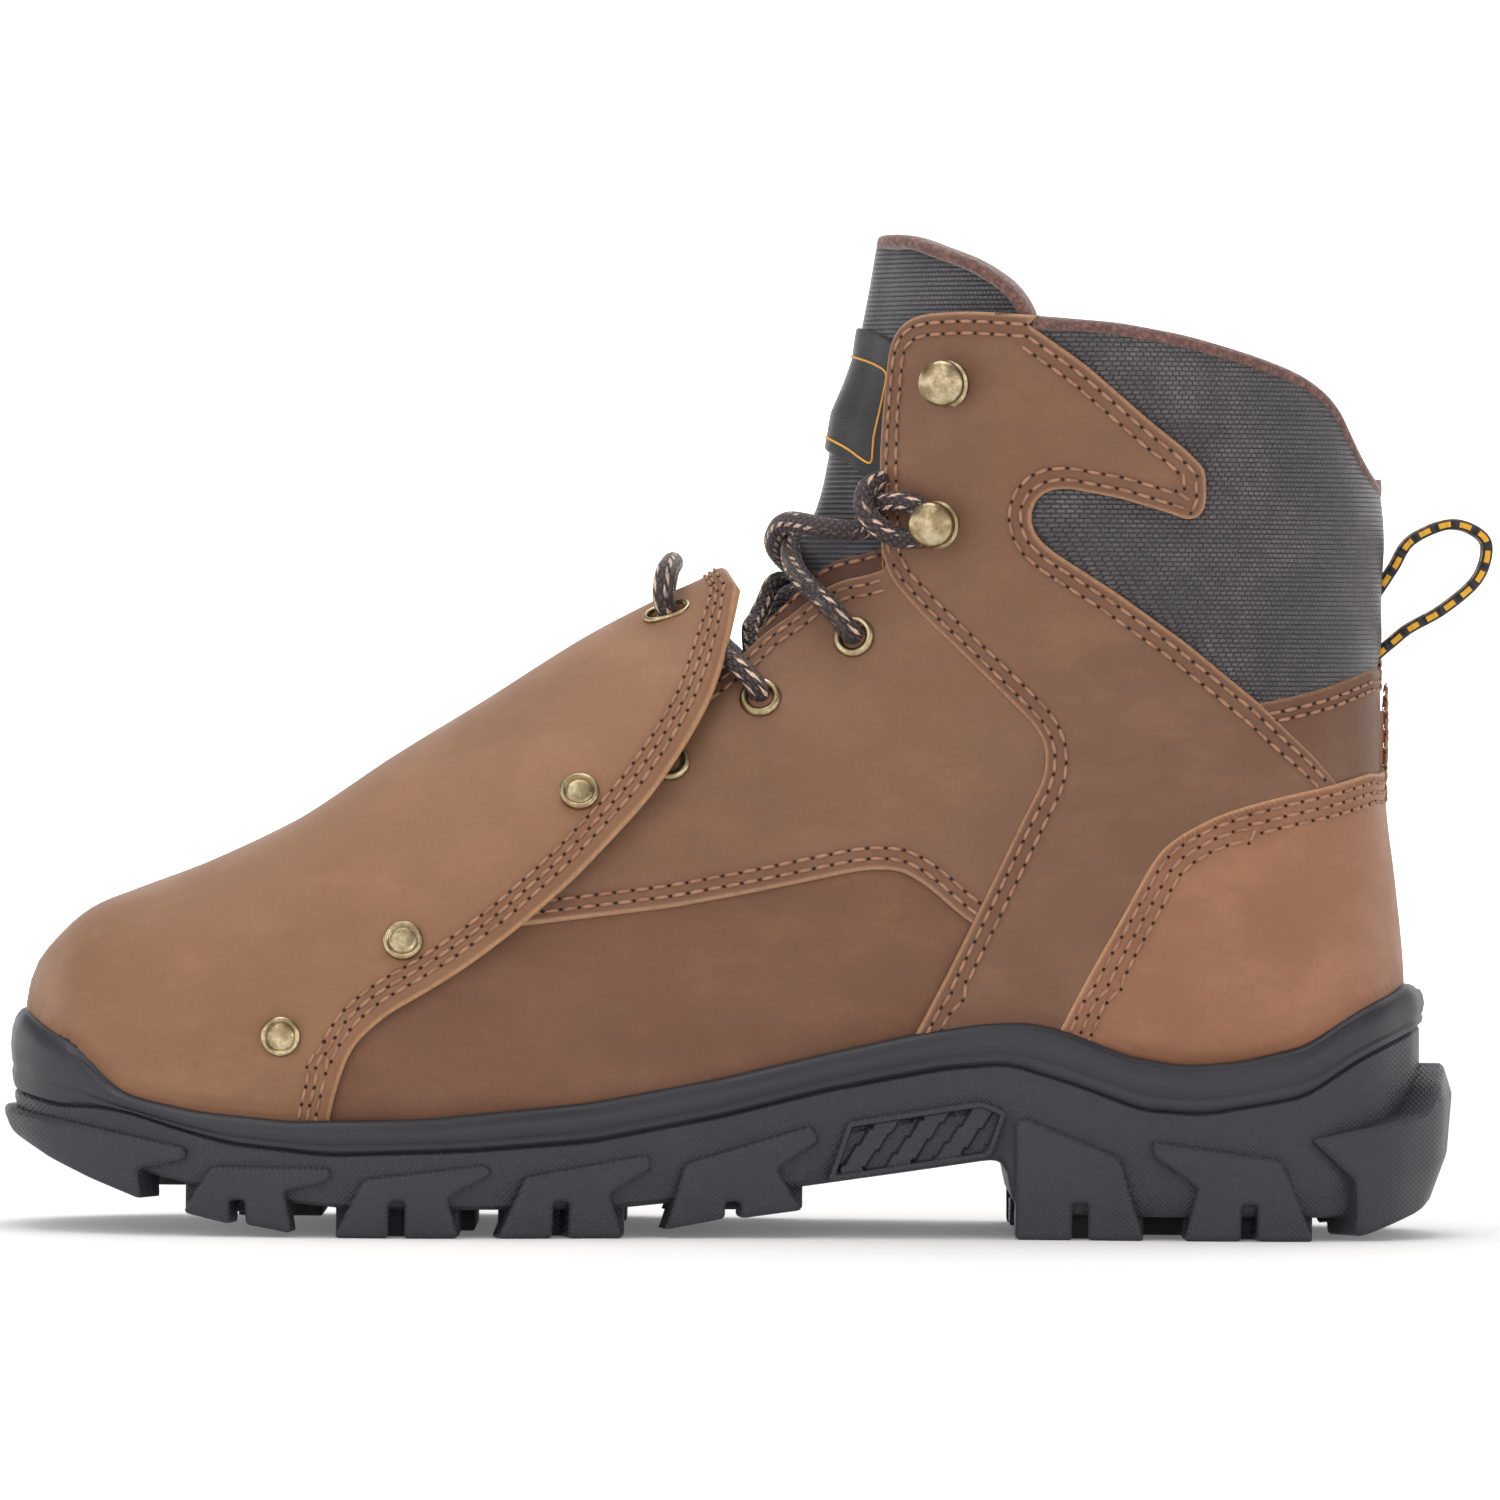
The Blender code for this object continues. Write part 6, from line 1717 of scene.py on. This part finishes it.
def smooth_height(table):
    """A side line of the sole softened at its corners, as heights for places along the boot."""
    rows = np.array(table) * (BOOT_LENGTH, SOLE_HEIGHT)
    line = rounded_line(rows, 0.006)
    return lambda x: np.interp(x, line[:, 0], line[:, 1])


def wall_strip(name, table, low, high, look, closed):
    """A table's rows between two side lines of the sole, carried round it: a hollow belt, or a wall with a floor."""
    x, places, count = WALL[:, 0], WALL_PLACE[:-1], len(WALL)
    vertices = np.concatenate([
        wall_point(places, low(x) * (1 - share) + high(x) * share + rise, np.full(count, out))
        for share, rise, out in table
    ])
    faces = []
    for k in range(len(table) if closed else len(table) - 1):
        here, above = k * count, (k + 1) % len(table) * count
        for j in range(count):
            i = (j + 1) % count
            faces.append((here + j, here + i, above + i, above + j))
    if not closed:
        back = count - HEEL_INDEX - 2
        for start in (0, (len(table) - 1) * count):
            for j in range(1, HEEL_INDEX):
                i, m = (count - 1 - int(n / (HEEL_INDEX - 1) * back) for n in (j - 1, j))
                here, after = start + j, start + j + 1
                faces.append((here, after, start + m, start + i) if i != m else (here, after, start + i))
    return mesh_object(name, vertices, faces, look, 32)


def make_midsole():
    """The rubber wall round the foot, from the groove up to the rim and over it to the leather."""
    made = wall_strip(
        "midsole_wall", MIDSOLE_ROWS, smooth_height(GROOVE), smooth_height(RIM), SMOOTH_RUBBER, closed=True,
    )
    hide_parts("midsole")


def make_outsole():
    """The tread's body: a textured side wall and the floor that the blocks stand on."""
    made = wall_strip(
        "outsole_body", OUTSOLE_ROWS, smooth_height(GROOVE), smooth_height(BASE), TREAD_RUBBER, closed=False,
    )
    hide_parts("outsole")


def block_swell(x):
    """How far the blocks stand out of the side wall: the heel cup bulges to the back."""
    share = (x - CUP_START * BOOT_LENGTH) / (CUP_RUN * BOOT_LENGTH)
    return LUG_STEP + (HEEL_CUP_STEP - LUG_STEP) * eased(share)


def wall_plate(name, loop, outer, inner, rings, step=0.0013, smooth_angle=28):
    """A closed plate on the sole's wall inside a loop of places round it and heights."""
    after = np.roll(loop, -1, axis=0)
    edge_tree = tree_of([(u, v, 0) for a, b in zip(loop, after) for u, v in (a, (a + b) / 2)])
    tangents = unit(after - np.roll(loop, 1, axis=0))
    inward = np.stack((-tangents[:, 1], tangents[:, 0]), 1) * turning(loop)
    places = [loop]
    for ring in rings:
        moved = loop + inward * ring
        gaps = distances(edge_tree, [(u, v, 0) for u, v in moved])
        places.append(moved[(np.abs(gaps - ring) < 0.2 * ring) & inside(moved, loop)])
    low, high = loop.min(0), loop.max(0)
    field = np.array([
        (u + (k % 2) * step / 2, v)
        for k, v in enumerate(np.arange(low[1] + step / 2, high[1], step * ROW_SHARE))
        for u in np.arange(low[0], high[0], step)
    ])
    field = field[inside(field, loop)]
    gaps = distances(edge_tree, [(u, v, 0) for u, v in field])
    places.append(field[gaps > (rings[-1] if rings else 0) + 0.4 * step])
    places = np.concatenate(places)
    gap = distances(edge_tree, [(u, v, 0) for u, v in places])
    gap[: len(loop)] = 0
    top = wall_point(*places.T, outer(*places.T, gap))
    bottom = wall_point(*places.T, np.full(len(places), inner))
    faces, under, rim = shell(triangles(places, len(loop)), len(loop), len(places))
    return mesh_object(name, np.concatenate((top, bottom)), faces + under + rim, TREAD_RUBBER, smooth_angle)


def lug_face(place, z, gap):
    """A block's outer face: a bright chamfer at the top, an upright face, and a tuck under at the tread."""
    x = wall_x(place)
    high, low = sole_height(GROOVE, x), sole_height(TREAD, x)
    down = np.clip((high - z) / np.maximum(high - low, 0.001), 0, 1)
    shape = np.interp(down, LUG_DOWN, LUG_OUT)
    return block_swell(x) * shape + edge_round(gap, 0.0010, 0.0008)


def dense_corners(points, radius=0.0008, step=0.0008):
    """A closed outline with slightly softened corners, evenly spaced."""
    points = np.array(points, float)
    ring = resampled(np.concatenate((points, points[:1])), RING_STEP)[:-1]
    ring = softened(ring, int((radius / RING_STEP) ** 2))
    return resampled(np.concatenate((ring, ring[:1])), step)[:-1]


def block_outline(outline):
    """A block's side outline in metres, ended at the tread, with its upright slot."""
    points = [(x * BOOT_LENGTH, z * SOLE_HEIGHT) for x, z in outline]
    shaped = [(x, max(z, float(sole_height(TREAD, x)))) for x, z in points]
    feet = [i for i, (x, z) in enumerate(points) if z < 0]
    middle = (min(points[i][0] for i in feet) + max(points[i][0] for i in feet)) / 2
    ground = float(sole_height(TREAD, middle))
    half = LUG_SLOT_WIDTH / 2 if points[feet[0]][0] > middle else -LUG_SLOT_WIDTH / 2
    shaped[feet[-1]:feet[-1]] = [
        (middle + half, ground), (middle + half, LUG_SLOT_HEIGHT),
        (middle - half, LUG_SLOT_HEIGHT), (middle - half, ground),
    ]
    return shaped


def make_lugs():
    """The side blocks of the tread, each a shaped plate with a plain block behind it, and the end blocks."""
    make_end_block("toe")
    for name, reach, outline in BLOCKS:
        for side, sign in SIDES.items():
            loop = [(wall_place(x, sign), z) for x, z in block_outline(outline)]
            rings = (0.0003, 0.0006, 0.0010)
            made = wall_plate(f"lug_{name}_{side}", dense_corners(loop), lug_face, -LUG_SLOT_DEPTH, rings)
            xs = [x * BOOT_LENGTH for x, z in outline if z < 0]
            inner_block(f"lug_{name}_{side}_inner", min(xs), max(xs), sign, reach)
    make_end_block("heel_cup")


def make_end_block(name):
    """The toe bumper or the heel cup, which runs round the end of the sole."""
    tables = [np.array(table) * (BOOT_LENGTH, SOLE_HEIGHT) for table in END_BLOCKS[name]]
    top, side = (resampled(table, END_STEP) for table in tables)
    low_x = np.linspace(side[-1][0], tables[0][0][0], 50)
    half = np.concatenate((top[:-1], side, np.stack((low_x, sole_height(TREAD, low_x)), 1)[1:]))
    lateral, medial = (np.stack((wall_place(half[:, 0], sign), half[:, 1]), 1) for sign in (1, -1))
    if name == "toe":
        medial[:, 0] -= WALL_LENGTH
        past = lateral[:, 0] > WALL_LENGTH / 2
        lateral[:, 0] = np.where(past, lateral[:, 0] - WALL_LENGTH, lateral[:, 0])
    loop = dense_corners(np.concatenate((lateral, medial[::-1])), 0.0008, 0.0010)
    made = wall_plate(f"{name}_block", loop, lug_face, -END_BLOCK_DEPTH, (0.0004, 0.0009), 0.0016)


def rounded_box(name, low, high, tops):
    """A tread block under the boot: a box with rounded edges whose top follows the floor's slope."""
    mesh = bmesh.new()
    bmesh.ops.create_cube(mesh, size=1.0)
    for vertex in mesh.verts:
        corner = vertex.co + Vector((0.5, 0.5, 0.5))
        vertex.co = Vector(a + (b - a) * c for a, b, c in zip(low, high, corner))
        if corner.z > 0.5:
            vertex.co.z = tops[0] if corner.x < 0.5 else tops[1]
    bmesh.ops.bevel(mesh, geom=mesh.edges[:], offset=0.0006, segments=2, affect="EDGES", profile=0.6)
    vertices = [tuple(v.co) for v in mesh.verts]
    faces = [[v.index for v in face.verts] for face in mesh.faces]
    mesh.free()
    made = mesh_object(name, vertices, faces, TREAD_RUBBER, 40)


def inner_block(name, front, back, sign, reach):
    """The plain part of a side block, from behind its slot towards the middle of the sole."""
    x = np.linspace(front, back, 5)
    half = np.abs(wall_point(wall_place(x, sign), x * 0, np.full(5, -LUG_SLOT_DEPTH + 0.0002))[:, 1]).min()
    sides = sorted((sign * half, sign * reach * SOLE_WIDTH))
    floor_block(name, front, back, *sides)


def floor_block(name, front, back, low_y, high_y):
    """A tread block from the ground up into the sole's floor."""
    ground = max(float(sole_height(TREAD, place)) for place in (front, back))
    tops = [float(sole_height(BASE, place)) + BLOCK_OVERLAP for place in (front, back)]
    rounded_box(name, (front, low_y, ground), (back, high_y, 0), tops)


def make_middle_blocks():
    """The tread blocks down the middle of the sole."""
    for number, (front, back, half) in enumerate(MIDDLE_BLOCKS, 1):
        ends = (front * BOOT_LENGTH, back * BOOT_LENGTH)
        floor_block(f"middle_block_{number}", *ends, -half * SOLE_WIDTH, half * SOLE_WIDTH)


def make_arch_plates():
    """The ribbed plates under the arch: slanted ribs in a raised frame."""
    def face(place, z, gap):
        """Slanted ribs inside a raised frame."""
        ribs = np.abs(((wall_x(place) * 0.8 - z * 0.6) / RIB_PITCH) % 1 - 0.5) < 0.27
        raised = np.where(gap < 0.0014, 0.0016, np.where(ribs, 0.0010, -0.0002))
        return raised + edge_round(gap, 0.0005, 0.0005)

    for side, sign in SIDES.items():
        loop = [(wall_place(x * BOOT_LENGTH, sign), z * SOLE_HEIGHT) for x, z in ARCH_PLATE]
        loop = dense_corners(loop, 0.0012, 0.0005)
        rings = (0.0003, 0.0006, 0.0012, 0.0016)
        made = wall_plate(f"arch_plate_{side}", loop, face, -ARCH_PLATE_DEPTH, rings, 0.0007, 24)


# Fittings


def seat(x, z, side, height):
    """Where a fitting sits on the side of the boot, and which way it faces."""
    place = on_skin([(x * BOOT_LENGTH, z * SHAFT_HEIGHT)], 1, height) * (1, SIDES[side])
    rise = height(*place.T) if callable(height) else height
    return placed(*place.T, rise)[0], skin_normals(*place.T)[0]


def eyelet_profile():
    """The eyelet's rolled ring and its barrel."""
    rim, bore, high = EYELET_RADIUS, EYELET_BORE, EYELET_HEIGHT
    ring = arc((rim - high, 0.0003), high, 0, 90, 7) + arc((bore + high * 0.9, 0.0003), high, 90, 180, 7)
    return ring + [(bore, -0.0045), (rim * 0.8, -0.0045), (rim * 0.8, -0.0004), (rim, -0.0004)]


def rivet_profile():
    """The rivet's flat cap with a raised ring."""
    radius, high = RIVET_RADIUS, RIVET_HEIGHT
    cap = [(0.00001, high * 0.90), (radius * 0.45, high * 0.86), (radius * 0.62, high * 0.78)]
    cap += [(radius * 0.68, high * 0.66), *arc((radius - 0.0006, high - 0.0006), 0.0006, 160, 0, 9)]
    return cap + [(radius, 0.0001), (radius - 0.0002, -0.0004), (0.00001, -0.0004)]


def hook_profile(top):
    """The hook's domed head, its neck up to a height, and its base."""
    head, neck, base, floor = HOOK_RADIUS, HOOK_NECK_RADIUS, HOOK_BASE_RADIUS, HOOK_BASE_HEIGHT
    turns = [radians(a) for a in range(12, 90, 9)]
    return [
        (0.00001, top + HOOK_CAP_HEIGHT), *[(head * sin(a), top + HOOK_CAP_HEIGHT * cos(a) ** 0.8) for a in turns],
        (head, top - 0.0002), (head - 0.0005, top - 0.0006), (neck + 0.0006, top - 0.0005), (neck, top - 0.0012),
        (neck, floor + 0.0006), (neck + 0.0006, floor), (base - 0.0006, floor), (base, floor - 0.0004),
        (base, -0.0003), (0.00001, -0.0003),
    ]


def fitting(name, node, profile, place, lean=None):
    """A brass fitting in place of its CAD node."""
    made = turned(name, profile, place, BRASS, lean)
    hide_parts(node)


def make_fittings():
    """Brass eyelets, hooks and rivets."""
    top = HOOK_BASE_HEIGHT + HOOK_NECK_HEIGHT
    eyelet, cap, dome = eyelet_profile(), rivet_profile(), hook_profile(top)
    for side, sign in SIDES.items():
        for number, (x, z) in enumerate(EYELETS, 1):
            place = seat(x, z, side, QUARTER_OUT)
            fitting(f"eyelet_ring_{side}_{number}", f"eyelet_{side}_{number}", eyelet, place)
        for level_name, x, z in HOOKS:
            toward = unit(np.array([(-HOOK_LEAN, sign, 0.0)]))[0]
            place = seat(x + HOOK_SHIFT / BOOT_LENGTH, z, side, SHAFT_OUT)
            lean = (HOOK_BASE_HEIGHT, top - 0.0012, toward)
            fitting(f"hook_stud_{side}_{level_name}", f"hook_{side}_{level_name}", dome, place, lean)
        for number, (x, z) in enumerate(RIVETS, 1):
            place = seat(x, z, side, guard_top)
            fitting(f"rivet_cap_{side}_{number}", f"guard_rivet_{side}_{number}", cap, place)


def slot_frame(sign):
    """Where a lace slot lies on the guard: its middle, and its along, across and out directions."""
    at, angle = np.array([SLOT_SECTION]), np.array([sign * SLOT_ANGLE])
    point = placed(at, angle, guard_top(at, angle))[0]
    out = skin_normals(at, angle)[0]
    along = np.array((1.0, 0.0, 0.0)) - out * out[0]
    along /= np.linalg.norm(along)
    return point, np.array((along, np.cross(out, along), out))


def stadium(length, width, count=10):
    """The outline of a slot with round ends, as along and across."""
    points = []
    for end, start in ((1, 90), (-1, -90)):
        for k in range(count + 1):
            angle = radians(start - 180 * k / count)
            points.append((end * (length - width) / 2 + width / 2 * cos(angle), width / 2 * sin(angle)))
    return np.array(points)


def slot_hole(guard, sign):
    """Cuts a lace slot through the guard."""
    point, axes = slot_frame(sign)
    outline = stadium(SLOT_LENGTH - 2 * SLOT_RIM, SLOT_WIDTH - 2 * SLOT_RIM)
    mesh = bmesh.new()
    rings = [
        [mesh.verts.new(point + axes[0] * a + axes[1] * b + axes[2] * height) for a, b in outline]
        for height in SLOT_CUT
    ]
    count = len(outline)
    for i in range(count):
        j = (i + 1) % count
        mesh.faces.new((rings[0][i], rings[0][j], rings[1][j], rings[1][i]))
    mesh.faces.new(rings[0][::-1])
    mesh.faces.new(rings[1])
    bmesh.ops.recalc_face_normals(mesh, faces=mesh.faces)
    data = bpy.data.meshes.new("slot_hole")
    mesh.to_mesh(data)
    mesh.free()
    tool = linked("slot_hole", data)
    cut = guard.modifiers.new("slot", "BOOLEAN")
    cut.operation, cut.solver, cut.object = "DIFFERENCE", "EXACT", tool
    bpy.context.view_layer.update()
    baked = bpy.data.meshes.new_from_object(guard.evaluated_get(bpy.context.evaluated_depsgraph_get()))
    guard.modifiers.clear()
    guard.data = baked
    bpy.data.objects.remove(tool)


def make_slot_rims():
    """The thin brass edges of the guard's lace slots."""
    for side, sign in SIDES.items():
        point, axes = slot_frame(sign)
        outline = stadium(SLOT_LENGTH - SLOT_RIM, SLOT_WIDTH - SLOT_RIM, 14)
        line = np.array([point + axes[0] * a + axes[1] * b + axes[2] * 0.0001 for a, b in outline])
        outs = np.repeat(axes[2][None, :], len(line), axis=0)
        profile = oval(SLOT_RIM * 1.1, SLOT_HEIGHT * 1.2, 10)
        made = swept(f"slot_rim_{side}", line, profile, BRASS, outs, closed=True)
        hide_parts(f"guard_slot_{side}")


# Lace and pull loop


def lace_profile(length):
    """The round lace, slightly knobbed by its braid."""
    swell = 1 + 0.035 * sin(2 * pi * length / BRAID_PITCH)
    return oval(LACE_DIAMETER * swell, LACE_DIAMETER * swell, 16)


def lace(name, points):
    """A round lace along given points."""
    made = swept(name, smooth_route(points, LACE_STEP), lace_profile, LACE)
    return made


def make_laces():
    """A lace run for each side: out of the second eyelet, across to the third, across again and round the hook."""
    for number, (side, sign) in enumerate(SIDES.items()):
        lift = LACE_OVER if number else -LACE_UNDER
        at, angle, height = np.array(LACE_RUN).T
        height = height + np.where(np.abs(angle) < LACE_CROSSING_ANGLE, lift, 0)
        points = placed(at, angle * sign, height)
        wrap_x, wrap_z, high = np.array(HOOK_WRAP).T
        wrap = placed(*on_skin(np.stack((wrap_x, wrap_z), 1), -sign, high).T, high)
        made = lace(f"lace_{side}", np.concatenate((points, wrap)))
        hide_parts(("lace_crossing_lower", "lace_crossing_upper")[number])
    at, angle, height = np.array(LACE_LOW).T
    lace("lace_under_guard", placed(at, angle, height))
    share, height, shift = np.array(GUARD_BAR).T
    at, angle = SLOT_SECTION + shift, share * SLOT_ANGLE
    made = lace("lace_over_guard", placed(at, angle, guard_top(at, angle) + height))
    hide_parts("lace_guard_bar")


def make_pull_loop():
    """The webbing loop at the back of the collar."""
    route = (LOOP_INSIDE[0], *LOOP_ROUTE, LOOP_INSIDE[1])
    flat = smooth_route([(x * BOOT_LENGTH, 0.0, z * SHAFT_HEIGHT) for x, z in route], 0.0004)
    profile = oval(LOOP_WIDTH, LOOP_THICKNESS, 40, 5.0)
    sideways = np.cross(np.gradient(flat, axis=0), np.array((0.0, 1.0, 0.0)))
    made = swept("pull_loop_webbing", flat, profile, WEBBING, sideways)
    points = read_points(made)
    write_values(made.data, {
        "from_edge": LOOP_WIDTH / 2 - np.abs(points[:, 1]),
        "from_face": LOOP_THICKNESS / 2 - distances(tree_of(flat), points * (1, 0, 1)),
    })
    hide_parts("pull_loop")


# Studio


def make_stage():
    """A pale floor that curves up far out on every side."""
    rows = [(BOWL_BEND, 0.0), (BOWL_RADIUS - BOWL_BEND, 0.0)]
    rows += arc((BOWL_RADIUS - BOWL_BEND, BOWL_BEND), BOWL_BEND, -84, 0, 14)
    rows.append((BOWL_RADIUS, BOWL_HEIGHT))
    count = BOWL_SEGMENTS
    turns = [2 * pi * k / count for k in range(count)]
    vertices = [(0.0, 0.0, 0.0)] + [(r * cos(t), r * sin(t), z) for r, z in rows for t in turns]
    faces = [(0, 1 + k, 1 + (k + 1) % count) for k in range(count)]
    for i in range(len(rows) - 1):
        for k in range(count):
            here, after = 1 + i * count + k, 1 + i * count + (k + 1) % count
            faces.append((here, here + count, after + count, after))
    data = bpy.data.meshes.new("studio_floor")
    data.from_pydata(vertices, [], faces)
    data.shade_smooth()
    made, tree, shader = shader_of("pale_floor", 0.9)
    shader.inputs["Base Color"].default_value = FLOOR_COLOUR
    shader.inputs["Emission Color"].default_value = (1.0, 1.0, 1.0, 1.0)
    reach = add(tree, "ShaderNodeVectorMath", {0: place_of(tree)}, operation="LENGTH").outputs["Value"]
    glow = stepped(tree, reach, *GLOW_REACH, FLOOR_GLOW, WALL_GLOW)
    tree.links.new(glow, shader.inputs["Emission Strength"])
    data.materials.append(made)
    linked("studio_floor", data)


def make_camera():
    """A long lens square to the boot's inner side, with the photograph's slight roll."""
    data = bpy.data.cameras.new("camera")
    data.sensor_width = SENSOR_WIDTH
    data.lens = LENS
    distance = FRAME_WIDTH * LENS / SENSOR_WIDTH
    camera = linked("camera", data)
    target = Vector((FRAME_CENTRE[0], 0.0, FRAME_CENTRE[1]))
    lift = radians(CAMERA_ELEVATION)
    back = Vector((0.0, -cos(lift), sin(lift)))
    right = Vector((cos(CAMERA_ROLL), 0.0, sin(CAMERA_ROLL)))
    up = back.cross(right).normalized()
    right = up.cross(back).normalized()
    turn = Matrix((right, up, back)).transposed().to_4x4()
    camera.matrix_world = Matrix.Translation(target + back * distance) @ turn
    bpy.context.scene.camera = camera


def make_light(name, place, aim, size, power):
    """A soft box at a place, turned towards an aim."""
    data = bpy.data.lights.new(name, "AREA")
    data.shape = "RECTANGLE"
    data.size, data.size_y = size
    data.energy = power
    light = linked(name, data)
    light.location = place
    light.rotation_euler = (Vector(aim) - Vector(place)).to_track_quat("-Z", "Y").to_euler()


def make_lights():
    """Large soft boxes in front and above, and an even pale world."""
    for light in LIGHTS:
        make_light(*light)
    world = bpy.data.worlds.new("studio")
    world.use_nodes = True
    background = world.node_tree.nodes["Background"]
    background.inputs["Color"].default_value = (1.0, 1.0, 1.0, 1.0)
    background.inputs["Strength"].default_value = WORLD_STRENGTH
    bpy.context.scene.world = world
    bpy.context.scene.view_settings.view_transform = "Standard"


# The boot, put together

make_upper()
for side in SIDES:
    make_quarter(side)
    make_gusset(side)
    make_shaft_panel(side)
make_heel()
make_collar()
make_collar_lining()
make_guard()
make_tongue()
make_label()
make_midsole()
make_outsole()
make_lugs()
make_middle_blocks()
make_arch_plates()
make_fittings()
make_slot_rims()
make_laces()
make_pull_loop()

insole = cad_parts["insole"]
insole.data.materials.clear()
insole.data.materials.append(KNIT)

make_stage()
make_camera()
make_lights()
